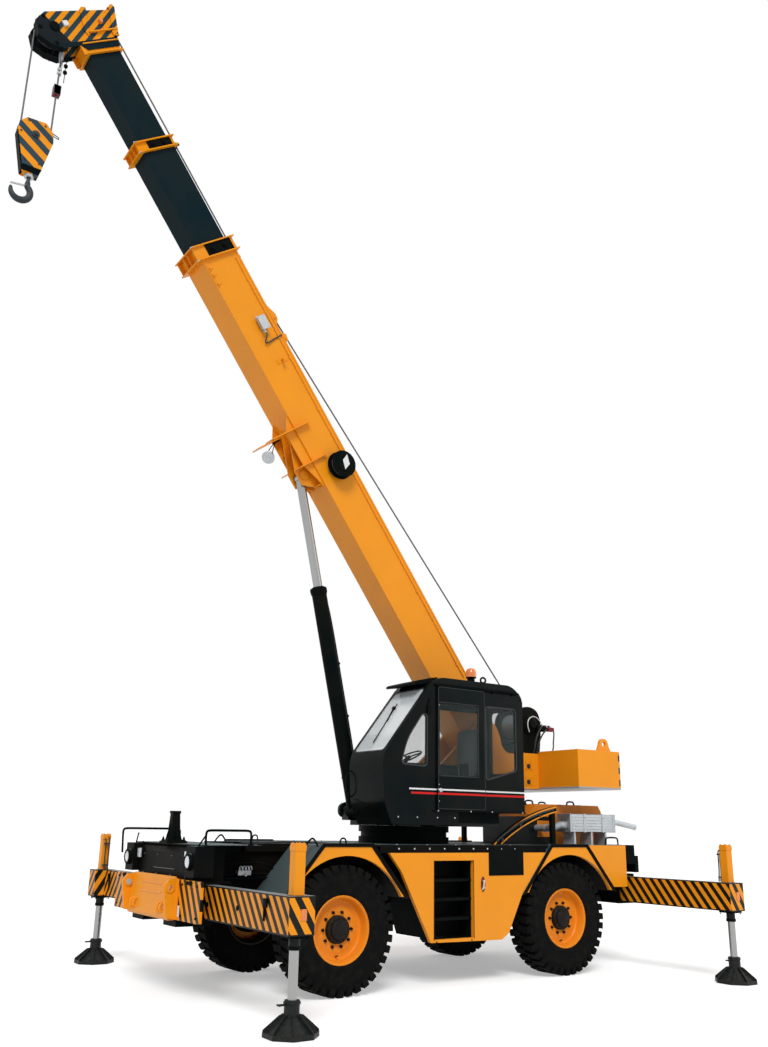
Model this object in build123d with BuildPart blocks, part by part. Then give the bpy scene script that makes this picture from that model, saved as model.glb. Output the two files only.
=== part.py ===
"""Rough-terrain mobile crane on two axles, parked on its tyres with four outriggers set down.

Millimetres, +Z up. The ground is z = 0, the front of the crane faces -X and the
operator's cab is on the -Y side. The boom stands raised over the front.
"""
import math
import os

from build123d import *

os.makedirs("parts", exist_ok=True)

# Running gear
WHEELBASE = 3412
AXLE_F = -493                       # x of the front axle
AXLE_R = AXLE_F + WHEELBASE
TYRE_R = 685
TYRE_W = 370
WHEEL_Y = 1074                      # middle plane of a wheel
KINGPIN_Y = 905
KINGPIN_R = 45
RIM_R = 361
RIM_FLANGE = 16
HUB_R = 150
RIM_DISC_OUT = 40                   # disc face, measured out from the wheel's middle plane

# Carrier
BODY_Y = 1250                       # half of the body's width
PANEL_T = 50
DECK_Z = 1585
DECK_T = 90
PLATE_T = 20
RAIL_Y0 = 380
RAIL_Y1 = 500
AXLE_TUBE_R = 110
RAIL_Z0 = TYRE_R + AXLE_TUBE_R + 75
ARCH_R = TYRE_R + 150
ARCH_Z = TYRE_R - 55
BAND_T = 62

# Outriggers: two narrow beams pass each other in one box
LEG_F = AXLE_F - 1405               # x of the front jacks
LEG_R = AXLE_R + 1468
LEG_Y = 2680                        # jacks, beams run out
BEAM_W = 130
BEAM_H = 338
BEAM_Z0 = 834
BEAM_GAP = 6
BOX_WALL = 20
BOX_Y = 980
END_L = 240                         # end box, along Y
END_OUT = 120                       # end box beyond the jack
BEAM_TAIL_Y = 600                   # inner end, beams run out
JACK_TUBE = 106
JACK_TOP = 1620
JACK_COLLAR_Z = 715
JACK_R = 45
JACK_CLEAR = 1
PAD_R = 256
PAD_H = 165
SOCKET_R = 71
SOCKET_Z = 300

# Superstructure
SLEW_X = AXLE_F + WHEELBASE / 2
RING_R = 600
RING_Z = DECK_Z + 215
SEAT_GAP = 0.3                      # bearing faces that turn on each other
FLOOR_T = 60
EAR_Y0 = 254
EAR_T = 50
PIVOT_X = SLEW_X + 1224
PIVOT_Z = RING_Z + 1190
PIVOT_R = 60
FOOT_X = SLEW_X - 776
FOOT_Z = RING_Z + 185
CYL_PIN_R = 38
CW_Y = 1100
CW_X0 = SLEW_X + 2194
CW_X1 = SLEW_X + 3094
CW_Z0 = RING_Z + 540
CW_Z1 = RING_Z + 1070
WINCH_X = SLEW_X + 2084
WINCH_Z = RING_Z + 1455
WINCH_R = 270

# Cab
CAB_Y0 = -1090
CAB_Y1 = -335
CAB_WALL = 40
CAB_ROUND = 200
CAB_Z0 = RING_Z + 175
SKIRT_Z = RING_Z + 12
ROOF_Z = RING_Z + 1720
DOOR_X0 = SLEW_X - 283
DOOR_X1 = SLEW_X + 488
DOOR_T = 30
DOOR_GAP = 5

# Boom, measured along s from its pivot and across n
ELEVATION = 53.63
BASE_H = 580
BASE_W = 444
MID_H = BASE_H - 78                 # each section nests in the one before
MID_W = BASE_W - 112
TIP_H = MID_H - 44
TIP_W = MID_W - 48
BOOM_WALL = 12
BASE_END = 7840
JIB_S = 6200                        # bracket on top of the base
MID_TAIL = 2500
MID_END = 9385
TIP_TAIL = 4400
TIP_END = 10800
COLLAR_L = 200
PAD_GAP = 0.4
EYE_S = 4500                        # rod eye's pin along the boom
EYE_N = -BASE_H / 2 - 160
BARREL_R = 100
EYE_R = 64
EYE_HALF = 100                      # half width of the barrel's foot eye
ROD_R = 62
ROD_OUT = 1545                      # chrome showing between barrel and eye

# Head and hook
SHEAVE_S = 11080
SHEAVE_N = -530
SHEAVE_R = 200
ROPE_R = 11
HEAD_Y = 170                        # half width over the head's plates
HEAD_T = 20
DROP = 1600                         # head sheave centre to block sheave centre
BLOCK_R = 183


def save(part, label):
    """Name a finished piece and write it to its own file."""
    part.label = label
    export_step(part, f"parts/{label}.step")


def block(x, y, z, mode=Mode.ADD):
    """Box between two values on each axis."""
    middle = ((x[0] + x[1]) / 2, (y[0] + y[1]) / 2, (z[0] + z[1]) / 2)
    with Locations(middle):
        Box(abs(x[1] - x[0]), abs(y[1] - y[0]), abs(z[1] - z[0]), mode=mode)


def side_slab(outline, y, mode=Mode.ADD):
    """Outline in (x, z), between two y values."""
    with BuildSketch(Plane.XZ.offset(-y[1])) as profile:
        with BuildLine():
            Polyline(*outline, close=True)
        make_face()
    extrude(profile.sketch, amount=y[1] - y[0], mode=mode)


def plan_slab(outline, z, mode=Mode.ADD):
    """Outline in (x, y), between two z values."""
    with BuildSketch(Plane.XY.offset(z[0])) as profile:
        with BuildLine():
            Polyline(*outline, close=True)
        make_face()
    extrude(profile.sketch, amount=z[1] - z[0], mode=mode)


def cross_pin(x, z, y, radius, mode=Mode.ADD):
    """Round bar along Y."""
    with Locations((x, (y[0] + y[1]) / 2, z)):
        Cylinder(radius, abs(y[1] - y[0]), rotation=(90, 0, 0), mode=mode)


def upright(x, y, z, radius, mode=Mode.ADD):
    """Round bar along Z."""
    with Locations((x, y, (z[0] + z[1]) / 2)):
        Cylinder(radius, z[1] - z[0], mode=mode)


# Boom directions: ALONG runs up the boom, ACROSS to its upper side
LIFT = math.radians(ELEVATION)
ALONG = Vector(-math.cos(LIFT), 0, math.sin(LIFT))
ACROSS = Vector(math.sin(LIFT), 0, math.cos(LIFT))
PIVOT = Vector(PIVOT_X, 0, PIVOT_Z)


def on_boom(s, n, y=0):
    """Point on the boom from its own measures."""
    return PIVOT + ALONG * s + ACROSS * n + Vector(0, y, 0)


def boom_section(s):
    """Plane across the boom: local x is -Y, local y is its upper side."""
    return Plane(origin=on_boom(s, 0), x_dir=(0, -1, 0), z_dir=ALONG)


def boom_side(y):
    """Plane along the boom: local x runs up it, local y to its upper side."""
    return Plane(origin=on_boom(0, 0, y), x_dir=ALONG, z_dir=(0, 1, 0))


def boom_box(s, width, height, mode=Mode.ADD, n=0):
    """Box section between two stations."""
    with BuildSketch(boom_section(s[0])) as profile:
        with Locations((0, n)):
            Rectangle(width, height)
    extrude(profile.sketch, amount=s[1] - s[0], mode=mode)


def boom_slab(outline, y, mode=Mode.ADD):
    """Outline in (s, n), between two y values."""
    with BuildSketch(boom_side(y[0])) as profile:
        with BuildLine():
            Polyline(*outline, close=True)
        make_face()
    extrude(profile.sketch, amount=y[1] - y[0], mode=mode)


def boom_pin(s, n, y, radius, mode=Mode.ADD):
    """Round bar across the boom."""
    with BuildSketch(boom_side(y[0])) as profile:
        with Locations((s, n)):
            Circle(radius)
    extrude(profile.sketch, amount=y[1] - y[0], mode=mode)


def at(offset):
    """x that lies this far behind the front axle."""
    return AXLE_F + offset


def aft(offset):
    """x that lies this far behind the rear axle."""
    return AXLE_R + offset


def over(offset):
    """x that lies this far behind the slewing axis."""
    return SLEW_X + offset


# Chassis: two rails, cross members and the pedestal under the slewing ring
RAIL_TOP = DECK_Z - DECK_T
BOX_HALF = BEAM_W + 5 + BEAM_GAP + BOX_WALL
RAIL_X0 = LEG_F + BOX_HALF
RAIL_X1 = LEG_R - BOX_HALF
AXLE_Z = TYRE_R
AXLE_PAD_X = 150

with BuildPart() as chassis:
    for side in (-1, 1):
        block((RAIL_X0, RAIL_X1), (side * RAIL_Y0, side * RAIL_Y1), (RAIL_Z0, RAIL_TOP))
        for axle in (AXLE_F, AXLE_R):
            block((axle - AXLE_PAD_X, axle + AXLE_PAD_X), (side * RAIL_Y0, side * RAIL_Y1),
                  (AXLE_Z + AXLE_TUBE_R, RAIL_Z0))
    for x in (at(-1100), at(650), aft(-662), aft(1088)):
        block((x - 60, x + 60), (-RAIL_Y0, RAIL_Y0), (RAIL_Z0 + 60, RAIL_Z0 + 380))
    block((SLEW_X - 640, SLEW_X + 640), (-RAIL_Y0, RAIL_Y0), (RAIL_Z0 + 160, RAIL_TOP))
save(chassis.part, "chassis_frame")

# Outrigger boxes, open at both ends
BOX_Z0 = BEAM_Z0 - BEAM_GAP - BOX_WALL
BOX_Z1 = BEAM_Z0 + BEAM_H + BEAM_GAP + BOX_WALL

with BuildPart() as boxes:
    for x in (LEG_F, LEG_R):
        block((x - BOX_HALF, x + BOX_HALF), (-BOX_Y, BOX_Y), (BOX_Z0, BOX_Z1))
        block((x - BOX_HALF + BOX_WALL, x + BOX_HALF - BOX_WALL), (-BOX_Y, BOX_Y),
              (BOX_Z0 + BOX_WALL, BOX_Z1 - BOX_WALL), mode=Mode.SUBTRACT)
save(boxes.part, "outrigger_boxes")

# Beams and jacks. Left beams run in the front half of a box, right ones in the rear half
SLIDE_GAP = 0.3
LEGS = (("fl", LEG_F, -1), ("fr", LEG_F, 1), ("rl", LEG_R, -1), ("rr", LEG_R, 1))

for name, x, side in LEGS:
    mid = x + side * (BEAM_W / 2 + 5)
    wide = BEAM_W + 5
    with BuildPart() as beam:
        block((mid - BEAM_W / 2, mid + BEAM_W / 2), (side * BEAM_TAIL_Y, side * LEG_Y),
              (BEAM_Z0, BEAM_Z0 + BEAM_H))
        block((x - wide, x + wide), (side * (LEG_Y + END_OUT - END_L), side * (LEG_Y + END_OUT)),
              (BEAM_Z0, BEAM_Z0 + BEAM_H))
        for y in (BEAM_TAIL_Y + 60, BOX_Y - 60):
            block((mid - BEAM_W / 2 + 10, mid + BEAM_W / 2 - 10), (side * (y - 50), side * (y + 50)),
                  (BEAM_Z0 - BEAM_GAP + SLIDE_GAP, BEAM_Z0))
        block((x - JACK_TUBE / 2, x + JACK_TUBE / 2),
              (side * LEG_Y - JACK_TUBE / 2, side * LEG_Y + JACK_TUBE / 2),
              (BEAM_Z0 + BEAM_H, JACK_TOP))
        upright(x, side * LEG_Y, (JACK_COLLAR_Z, BEAM_Z0), JACK_TUBE / 2)
        upright(x, side * LEG_Y, (JACK_COLLAR_Z, JACK_TOP - PLATE_T), JACK_R + JACK_CLEAR / 2,
                mode=Mode.SUBTRACT)
    save(beam.part, f"outrigger_beam_{name}")

    with BuildPart() as jack:
        upright(x, side * LEG_Y, (PAD_H, 1150), JACK_R)
        upright(x, side * LEG_Y, (PAD_H, SOCKET_Z), SOCKET_R)
        with BuildSketch():
            with Locations((x, side * LEG_Y)):
                RegularPolygon(PAD_R, 8, rotation=22.5)
        with BuildSketch(Plane.XY.offset(40)):
            with Locations((x, side * LEG_Y)):
                RegularPolygon(PAD_R, 8, rotation=22.5)
        with BuildSketch(Plane.XY.offset(PAD_H)):
            with Locations((x, side * LEG_Y)):
                RegularPolygon(SOCKET_R + 20, 8, rotation=22.5)
        loft(ruled=True)
        upright(x, side * LEG_Y, (SOCKET_Z - 32, SOCKET_Z - 16), SOCKET_R + 8)
        for k in range(4):
            turn = math.radians(22.5 + 45 * k)
            across = Plane(origin=(x, side * LEG_Y, 0), x_dir=(math.cos(turn), math.sin(turn), 0),
                           z_dir=(math.sin(turn), -math.cos(turn), 0))
            with BuildSketch(across) as web:
                with BuildLine():
                    Polyline((-PAD_R, 10), (-PAD_R, 60), (-SOCKET_R - 24, PAD_H + 20), (SOCKET_R + 24, PAD_H + 20),
                             (PAD_R, 60), (PAD_R, 10), close=True)
                make_face()
            extrude(web.sketch, amount=6, both=True)
    save(jack.part, f"jack_{name}")

# Front bumper: striped cross plate, sloping yellow face and two pinned lugs
PLATE_X = at(-1710)
LUG_PIN_Z = 1130
LUG_PIN_X = at(-1795)
LUG_Y = 625
with BuildPart() as bumper:
    block((PLATE_X, PLATE_X + 30), (-BODY_Y, BODY_Y), (810, 1215))
    side_slab([(PLATE_X, 1240), (PLATE_X - 15, 1240), (PLATE_X - 80, 830), (PLATE_X - 60, 800), (PLATE_X, 800)],
              (-600, 600))
    for side in (-1, 1):
        side_slab([(PLATE_X, 1225), (PLATE_X - 95, 1215), (PLATE_X - 150, 1150), (PLATE_X - 150, 1100),
                   (PLATE_X - 110, 830), (PLATE_X, 810)], (side * LUG_Y - 25, side * LUG_Y + 25))
        block((PLATE_X + 30, LEG_F - BOX_HALF), (side * 500 - 60, side * 500 + 60), (BOX_Z0, BOX_Z1))
    for side in (-1, 1):
        cross_pin(LUG_PIN_X, LUG_PIN_Z, (side * LUG_Y - 25, side * LUG_Y + 25), 25, mode=Mode.SUBTRACT)
save(bumper.part, "front_bumper")

# Front cowl: black housing over the front box with two headlamp pods
COWL_X1 = at(-900)
COWL_TOP = DECK_Z - 15
LAMP_Z = COWL_TOP - 170
LAMP_R = 75
with BuildPart() as cowl:
    side_slab([(at(-1620), BOX_Z1), (at(-1620), COWL_TOP - 90), (at(-1560), COWL_TOP - 12), (RAIL_X0, COWL_TOP - 12),
               (RAIL_X0, BOX_Z1)], (-780, 780))
    block((at(-1590), COWL_X1), (-1020, 1020), (COWL_TOP - 12, COWL_TOP))
    for side in (-1, 1):
        block((RAIL_X0, COWL_X1), (side * RAIL_Y0, side * RAIL_Y1), (RAIL_TOP, COWL_TOP - 12))
        block((at(-1700), at(-1480)), (side * 780, side * 1020), (COWL_TOP - 325, COWL_TOP - 12))
        with Locations((at(-1700), side * 900, LAMP_Z)):
            Cylinder(LAMP_R + 15, 60, rotation=(0, 90, 0))
        with Locations((at(-1700) - 30, side * 900, LAMP_Z)):
            Cylinder(LAMP_R, 50, rotation=(0, 90, 0), mode=Mode.SUBTRACT)
save(cowl.part, "front_cowl")

# Side panels: fender, mid panel, rear fender and quarter panel on each side
ARCH_F = at(55)
ARCH_RX = aft(108)
LOW_X0, LOW_X1 = at(1225), aft(-1097)    # ends of the mid panel's lower edge
STEP_X0 = LOW_X0 + 50
STEP_X1 = STEP_X0 + (LOW_X1 - LOW_X0) * 595 / 1090
STEP_Z0, STEP_Z1 = 525, 1397
ARCH_TOP = 2 * TYRE_R + 190
ARCH_FOOT = ARCH_TOP - 548
QUARTER_Z = ARCH_FOOT + 36          # lower edge of the rear quarter panel
FLAT_HALF = TYRE_R - 373            # half of an arch's flat top
FOOT_HALF = TYRE_R + 93


def arch_half(z, grow=0):
    """Half width of a wheel arch's angular outline at a height."""
    return FLAT_HALF + grow + (ARCH_TOP - z) * (FOOT_HALF - FLAT_HALF) / (ARCH_TOP - ARCH_FOOT)


def arch_outline(centre, foot, top, grow=0):
    """Angular outline over a wheel, flat on top."""
    return [(centre - arch_half(foot, grow), foot), (centre - arch_half(top, grow), top),
            (centre + arch_half(top, grow), top), (centre + arch_half(foot, grow), foot)]


MID_PANEL = [(at(620), 1495), (at(797), 1285), (LOW_X0, 495), (LOW_X1, 480), (aft(-982), 550),
             (ARCH_RX - arch_half(ARCH_FOOT - 20, BAND_T), ARCH_FOOT - 20),
             (ARCH_RX - arch_half(1495, BAND_T), 1495)]
with BuildPart() as panels:
    for side in (-1, 1):
        y = sorted((side * (BODY_Y - PANEL_T), side * BODY_Y))
        for centre in (ARCH_F, ARCH_RX):
            side_slab(arch_outline(centre, ARCH_FOOT, ARCH_TOP), y)
        side_slab(MID_PANEL, y)
        side_slab([(ARCH_RX + arch_half(DECK_Z, BAND_T), DECK_Z), (aft(1188), DECK_Z), (aft(1188), QUARTER_Z),
                   (ARCH_RX + arch_half(QUARTER_Z, BAND_T), QUARTER_Z)], y)
        block((STEP_X0, STEP_X1), y, (STEP_Z0, STEP_Z1), mode=Mode.SUBTRACT)
        for centre in (ARCH_F, ARCH_RX):
            cross_pin(centre, ARCH_Z, y, ARCH_R, mode=Mode.SUBTRACT)
save(panels.part, "side_panels")

# Wheel housings: angular mudguards, thick at the outer edge where they frame the panels
INNER_Y = 560
STEER_ROOM = 38                     # inner mudguard further out than the band, for the steered tyre
with BuildPart() as housings:
    for side in (-1, 1):
        for centre in (ARCH_F, ARCH_RX):
            outer = arch_outline(centre, ARCH_FOOT - 20, ARCH_TOP + 40, BAND_T)
            thin = arch_outline(centre, ARCH_FOOT - 20, ARCH_TOP + 18, STEER_ROOM + 24)
            room = arch_outline(centre, ARCH_FOOT - 20, ARCH_TOP, STEER_ROOM)
            inner = arch_outline(centre, ARCH_FOOT - 20, ARCH_TOP)
            side_slab(outer, sorted((side * (BODY_Y - PANEL_T), side * (BODY_Y + 10))))
            side_slab(thin, sorted((side * INNER_Y, side * (BODY_Y - PANEL_T))))
            side_slab(room, sorted((side * INNER_Y, side * (BODY_Y - PANEL_T))), mode=Mode.SUBTRACT)
            side_slab(inner, sorted((side * (BODY_Y - PANEL_T), side * (BODY_Y + 10))), mode=Mode.SUBTRACT)
save(housings.part, "wheel_housings")

# Deck: plate round the ring, edge strips, plates behind the rear wheels
DECK_X0 = ARCH_F + FLAT_HALF + BAND_T
DECK_X1 = ARCH_RX - FLAT_HALF - BAND_T
with BuildPart() as deck:
    block((DECK_X0, DECK_X1), (-BODY_Y, BODY_Y), (DECK_Z - PLATE_T, DECK_Z))
    for side in (-1, 1):
        block((DECK_X0 + 60, DECK_X1 - 60), (side * (BODY_Y - PANEL_T), side * BODY_Y), (DECK_Z - DECK_T, DECK_Z))
        block((COWL_X1, RAIL_X1), (side * RAIL_Y0, side * INNER_Y), (RAIL_TOP, DECK_Z))
        block((ARCH_RX + FLAT_HALF + BAND_T, RAIL_X1), (side * INNER_Y, side * (BODY_Y - PANEL_T)),
              (DECK_Z - PLATE_T, DECK_Z))
    block((SLEW_X - 640, SLEW_X + 640), (-RAIL_Y0, RAIL_Y0), (RAIL_TOP, DECK_Z))
save(deck.part, "deck")

# Side tanks with recessed steps between the wheels
TANK = [(at(900), 1440), (at(1255), 530), (aft(-1112), 510), (aft(-992), 580), (aft(-735), 1050), (aft(-632), 1440)]
with BuildPart() as tanks:
    for side in (-1, 1):
        side_slab(TANK, sorted((side * RAIL_Y1, side * (BODY_Y - PANEL_T))))
        block((STEP_X0, STEP_X1), (side * 980, side * (BODY_Y - PANEL_T)), (STEP_Z0, STEP_Z1), mode=Mode.SUBTRACT)
        for k in range(1, 4):
            z = STEP_Z0 + k * (STEP_Z1 - STEP_Z0) / 4
            block((STEP_X0, STEP_X1), (side * 980, side * (BODY_Y - PANEL_T)), (z - 14, z + 14))
save(tanks.part, "side_tanks")

# Engine hood, hollow and open below, and the engine inside
HOOD_X0, HOOD_X1 = aft(88), aft(1528)
HOOD_Y = 500
HOOD_TOP = 2125
GRILLE_Y = 340
GRILLE_Z0, GRILLE_Z1 = DECK_Z + 90, HOOD_TOP - 150
GRILLE_N = 8
with BuildPart() as hood:
    side_slab([(HOOD_X0, DECK_Z), (HOOD_X0, HOOD_TOP - 140), (HOOD_X0 + 140, HOOD_TOP), (HOOD_X1 - 60, HOOD_TOP),
               (HOOD_X1, HOOD_TOP - 90), (HOOD_X1, DECK_Z)], (-HOOD_Y, HOOD_Y))
    side_slab([(HOOD_X0 + 15, DECK_Z), (HOOD_X0 + 15, HOOD_TOP - 150), (HOOD_X0 + 150, HOOD_TOP - 15),
               (HOOD_X1 - 70, HOOD_TOP - 15), (HOOD_X1 - 15, HOOD_TOP - 95), (HOOD_X1 - 15, DECK_Z)],
              (15 - HOOD_Y, HOOD_Y - 15), mode=Mode.SUBTRACT)
    # radiator grille in the rear wall
    block((HOOD_X1 - 20, HOOD_X1 + 1), (-GRILLE_Y, GRILLE_Y), (GRILLE_Z0, GRILLE_Z1), mode=Mode.SUBTRACT)
    for k in range(1, GRILLE_N):
        z = GRILLE_Z0 + k * (GRILLE_Z1 - GRILLE_Z0) / GRILLE_N
        side_slab([(HOOD_X1 - 15, z + 12), (HOOD_X1, z - 6), (HOOD_X1, z - 12), (HOOD_X1 - 15, z + 6)],
                  (-GRILLE_Y, GRILLE_Y))
save(hood.part, "engine_hood")

with BuildPart() as engine:
    block((aft(208), aft(978)), (-RAIL_Y0, RAIL_Y0), (RAIL_Z0 + 90, 1930))
save(engine.part, "engine")

# Exhaust: silencer box on feet, elbow and tail pipe
SIL_Y0, SIL_Y1 = -950, -700
SIL_Z0 = ARCH_TOP + 200
SIL_H = 230
SIL_MID = (SIL_Y0 + SIL_Y1) / 2
with BuildPart() as exhaust:
    block((aft(438), aft(1328)), (SIL_Y0, SIL_Y1), (SIL_Z0, SIL_Z0 + SIL_H))
    for x in (aft(538), aft(868), aft(1148)):
        block((x - 15, x + 15), (SIL_Y0 + 20, SIL_Y1 - 20), (DECK_Z, SIL_Z0))
    with BuildLine() as tail:
        Polyline((aft(1328), SIL_MID, SIL_Z0 + 130), (aft(1488), SIL_MID, SIL_Z0 + 130),
                 (aft(1878), SIL_MID, SIL_Z0 + 70))
    with BuildSketch(Plane(origin=(aft(1328), SIL_MID, SIL_Z0 + 130), z_dir=(1, 0, 0))):
        Circle(38)
    sweep(path=tail.line, transition=Transition.RIGHT)
    with BuildLine() as feed:
        Polyline((aft(438), SIL_MID, SIL_Z0 + 80), (aft(348), SIL_MID, SIL_Z0 + 80),
                 (aft(228), SIL_MID, SIL_Z0 + 40), (aft(228), -HOOD_Y, SIL_Z0 + 40))
    with BuildSketch(Plane(origin=(aft(438), SIL_MID, SIL_Z0 + 80), z_dir=(-1, 0, 0))):
        Circle(45)
    sweep(path=feed.line, transition=Transition.RIGHT)
save(exhaust.part, "exhaust")

# Curved guards beside the hood
GUARD_Y = 980
GUARD_W = 60
with BuildPart() as guards:
    for side in (-1, 1):
        with BuildSketch(Plane.XZ.offset(-max(side * GUARD_Y, side * (GUARD_Y - GUARD_W)))):
            with BuildLine():
                ThreePointArc((over(724), DECK_Z), (over(1194), 1880), (aft(148), 2085))
                Line((aft(148), 2085), (aft(163), 2010))
                ThreePointArc((aft(163), 2010), (over(1254), 1815), (over(854), DECK_Z))
                Line((over(854), DECK_Z), (over(724), DECK_Z))
            make_face()
        extrude(amount=GUARD_W)
        block((aft(68), aft(128)), (side * (GUARD_Y - GUARD_W), side * GUARD_Y), (ARCH_TOP + 18, 2030))
save(guards.part, "hood_guards")

# Boom rest, rails, rear bumper
REST_X = at(-1530)
with BuildPart() as rest:
    block((REST_X - 150, REST_X + 150), (-130, 130), (COWL_TOP, COWL_TOP + 40))
    side_slab([(REST_X - 90, COWL_TOP + 40), (REST_X - 60, COWL_TOP + 230), (REST_X - 60, COWL_TOP + 355),
               (REST_X + 60, COWL_TOP + 355), (REST_X + 60, COWL_TOP + 230), (REST_X + 90, COWL_TOP + 40)], (-70, 70))
save(rest.part, "boom_rest")

RAIL_TUBE_R = 14
with BuildPart() as rails:
    for side in (-1, 1):
        for x0, x1, top in ((at(-1575), at(-1040), COWL_TOP + 130),):
            y = side * 985
            upright(x0, y, (COWL_TOP, top), RAIL_TUBE_R)
            upright(x1, y, (COWL_TOP, top), RAIL_TUBE_R)
            with Locations(((x0 + x1) / 2, y, top)):
                Cylinder(RAIL_TUBE_R, x1 - x0 + 2 * RAIL_TUBE_R, rotation=(0, 90, 0))
save(rails.part, "grab_rails")

with BuildPart() as rear:
    block((RAIL_X1, aft(1648)), (-1000, 1000), (1330, DECK_Z))
    block((aft(1648), aft(1718)), (-1000, 1000), (1215, 1440))
    block((LEG_R - BOX_HALF, LEG_R + BOX_HALF), (-780, 780), (BOX_Z1, 1330))
save(rear.part, "rear_bumper")

# Axles
with BuildPart() as axles:
    for x in (AXLE_F, AXLE_R):
        cross_pin(x, AXLE_Z, (-KINGPIN_Y + 75, KINGPIN_Y - 75), AXLE_TUBE_R)
        with Locations((x, 0, AXLE_Z)):
            Sphere(225)
        for side in (-1, 1):
            block((x - 60, x + 60), (side * (KINGPIN_Y - 120), side * (KINGPIN_Y - 70)),
                  (AXLE_Z - 190, AXLE_Z + 190))
            for z0, z1 in ((AXLE_Z - 190, AXLE_Z - 140), (AXLE_Z + 140, AXLE_Z + 190)):
                block((x - 60, x + 60), (side * (KINGPIN_Y - 120), side * KINGPIN_Y), (z0, z1))
                upright(x, side * KINGPIN_Y, (z0, z1), 60)
                upright(x, side * KINGPIN_Y, (z0, z1), KINGPIN_R + 0.1, mode=Mode.SUBTRACT)
save(axles.part, "axles")

# One tyre: a carcass with lugs that wrap over its shoulders, each side half a step behind the other
LUG_N = 24
LUG_DEPTH = 34
LUG_L = 120                         # lug's length round the tyre
BEAD = TYRE_W / 2 - 28
WIDE = TYRE_W / 2
SIDEWALL = TYRE_R - RIM_R
CARCASS = [(BEAD, RIM_R - RIM_FLANGE), (BEAD, RIM_R), (BEAD + 14, RIM_R + 6), (WIDE, RIM_R + SIDEWALL / 3),
           (WIDE, TYRE_R - SIDEWALL * 0.39), (WIDE - 12, TYRE_R - SIDEWALL * 0.216),
           (WIDE - 62, TYRE_R - LUG_DEPTH)]
LUG_LIMIT = [(WIDE - 1, TYRE_R - SIDEWALL * 0.293), (WIDE - 8, TYRE_R - SIDEWALL * 0.148), (WIDE - 38, TYRE_R)]


def ring_of(half_section):
    """Ring about Y turned from half a section in (y, radius) and its mirror."""
    with BuildPart() as ring:
        with BuildSketch(Plane.YZ):
            with BuildLine():
                Polyline(*half_section, *[(-y, r) for y, r in reversed(half_section)], close=True)
            make_face()
        revolve(axis=Axis((0, 0, 0), (0, 1, 0)))
    return ring.part


with BuildPart() as lugged:
    for side in (-1, 1):
        with BuildSketch(Plane.XZ) as cuts:
            with PolarLocations(TYRE_R - 45, LUG_N, start_angle=90 * (side + 1) / LUG_N):
                Rectangle(110, LUG_L)
        extrude(cuts.sketch, amount=-side * WIDE)
    add(ring_of(LUG_LIMIT), mode=Mode.INTERSECT)
    add(ring_of(CARCASS))
TYRE = lugged.part

# Knuckles, rims and tyres
WHEELS = (("fl", AXLE_F, -1), ("fr", AXLE_F, 1), ("rl", AXLE_R, -1), ("rr", AXLE_R, 1))
STUB_R = 60
DISC_IN = RIM_DISC_OUT - 30
for name, x, side in WHEELS:
    with BuildPart() as knuckle:
        upright(x, side * KINGPIN_Y, (AXLE_Z - 185, AXLE_Z + 185), KINGPIN_R)
        upright(x, side * KINGPIN_Y, (AXLE_Z - 134, AXLE_Z + 134), 66)
        cross_pin(x, AXLE_Z, sorted((side * KINGPIN_Y, side * (WHEEL_Y + RIM_DISC_OUT + 60))), STUB_R)
    save(knuckle.part, f"knuckle_{name}")

    with BuildPart() as rim:
        with BuildSketch(Plane.YZ.offset(x)):
            with BuildLine():
                half = TYRE_W / 2 - 28
                outer_r = RIM_R - RIM_FLANGE
                Polyline((half + 12, RIM_R), (half + 12, outer_r - 14), (half - 30, outer_r - 30),
                         (RIM_DISC_OUT, outer_r - 30), (RIM_DISC_OUT, HUB_R), (RIM_DISC_OUT + 110, HUB_R),
                         (RIM_DISC_OUT + 110, 0), (RIM_DISC_OUT + 62, 0), (RIM_DISC_OUT + 62, STUB_R + 0.1),
                         (DISC_IN, STUB_R + 0.1), (DISC_IN, outer_r - 45), (-half + 10, outer_r - 45),
                         (-half - 12, outer_r - 20), (-half - 12, RIM_R), (-half, RIM_R), (-half, outer_r),
                         (half, outer_r), (half, RIM_R), close=True)
            make_face()
        revolve(axis=Axis((x, 0, 0), (0, 1, 0)))
    turned = rim.part if side > 0 else mirror(rim.part, about=Plane.XZ)
    save(turned.moved(Location((0, side * WHEEL_Y, AXLE_Z))), f"rim_{name}")

    save(TYRE.moved(Location((x, side * WHEEL_Y, AXLE_Z))), f"tyre_{name}")

# Slewing ring
with BuildPart() as ring:
    upright(SLEW_X, 0, (DECK_Z, RING_Z), RING_R)
    with BuildSketch(Plane.XZ):
        with Locations((SLEW_X + RING_R, (DECK_Z + RING_Z) / 2)):
            Rectangle(60, 60)
    revolve(axis=Axis((SLEW_X, 0, 0), (0, 0, 1)), mode=Mode.SUBTRACT)
save(ring.part, "slewing_ring")

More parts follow.
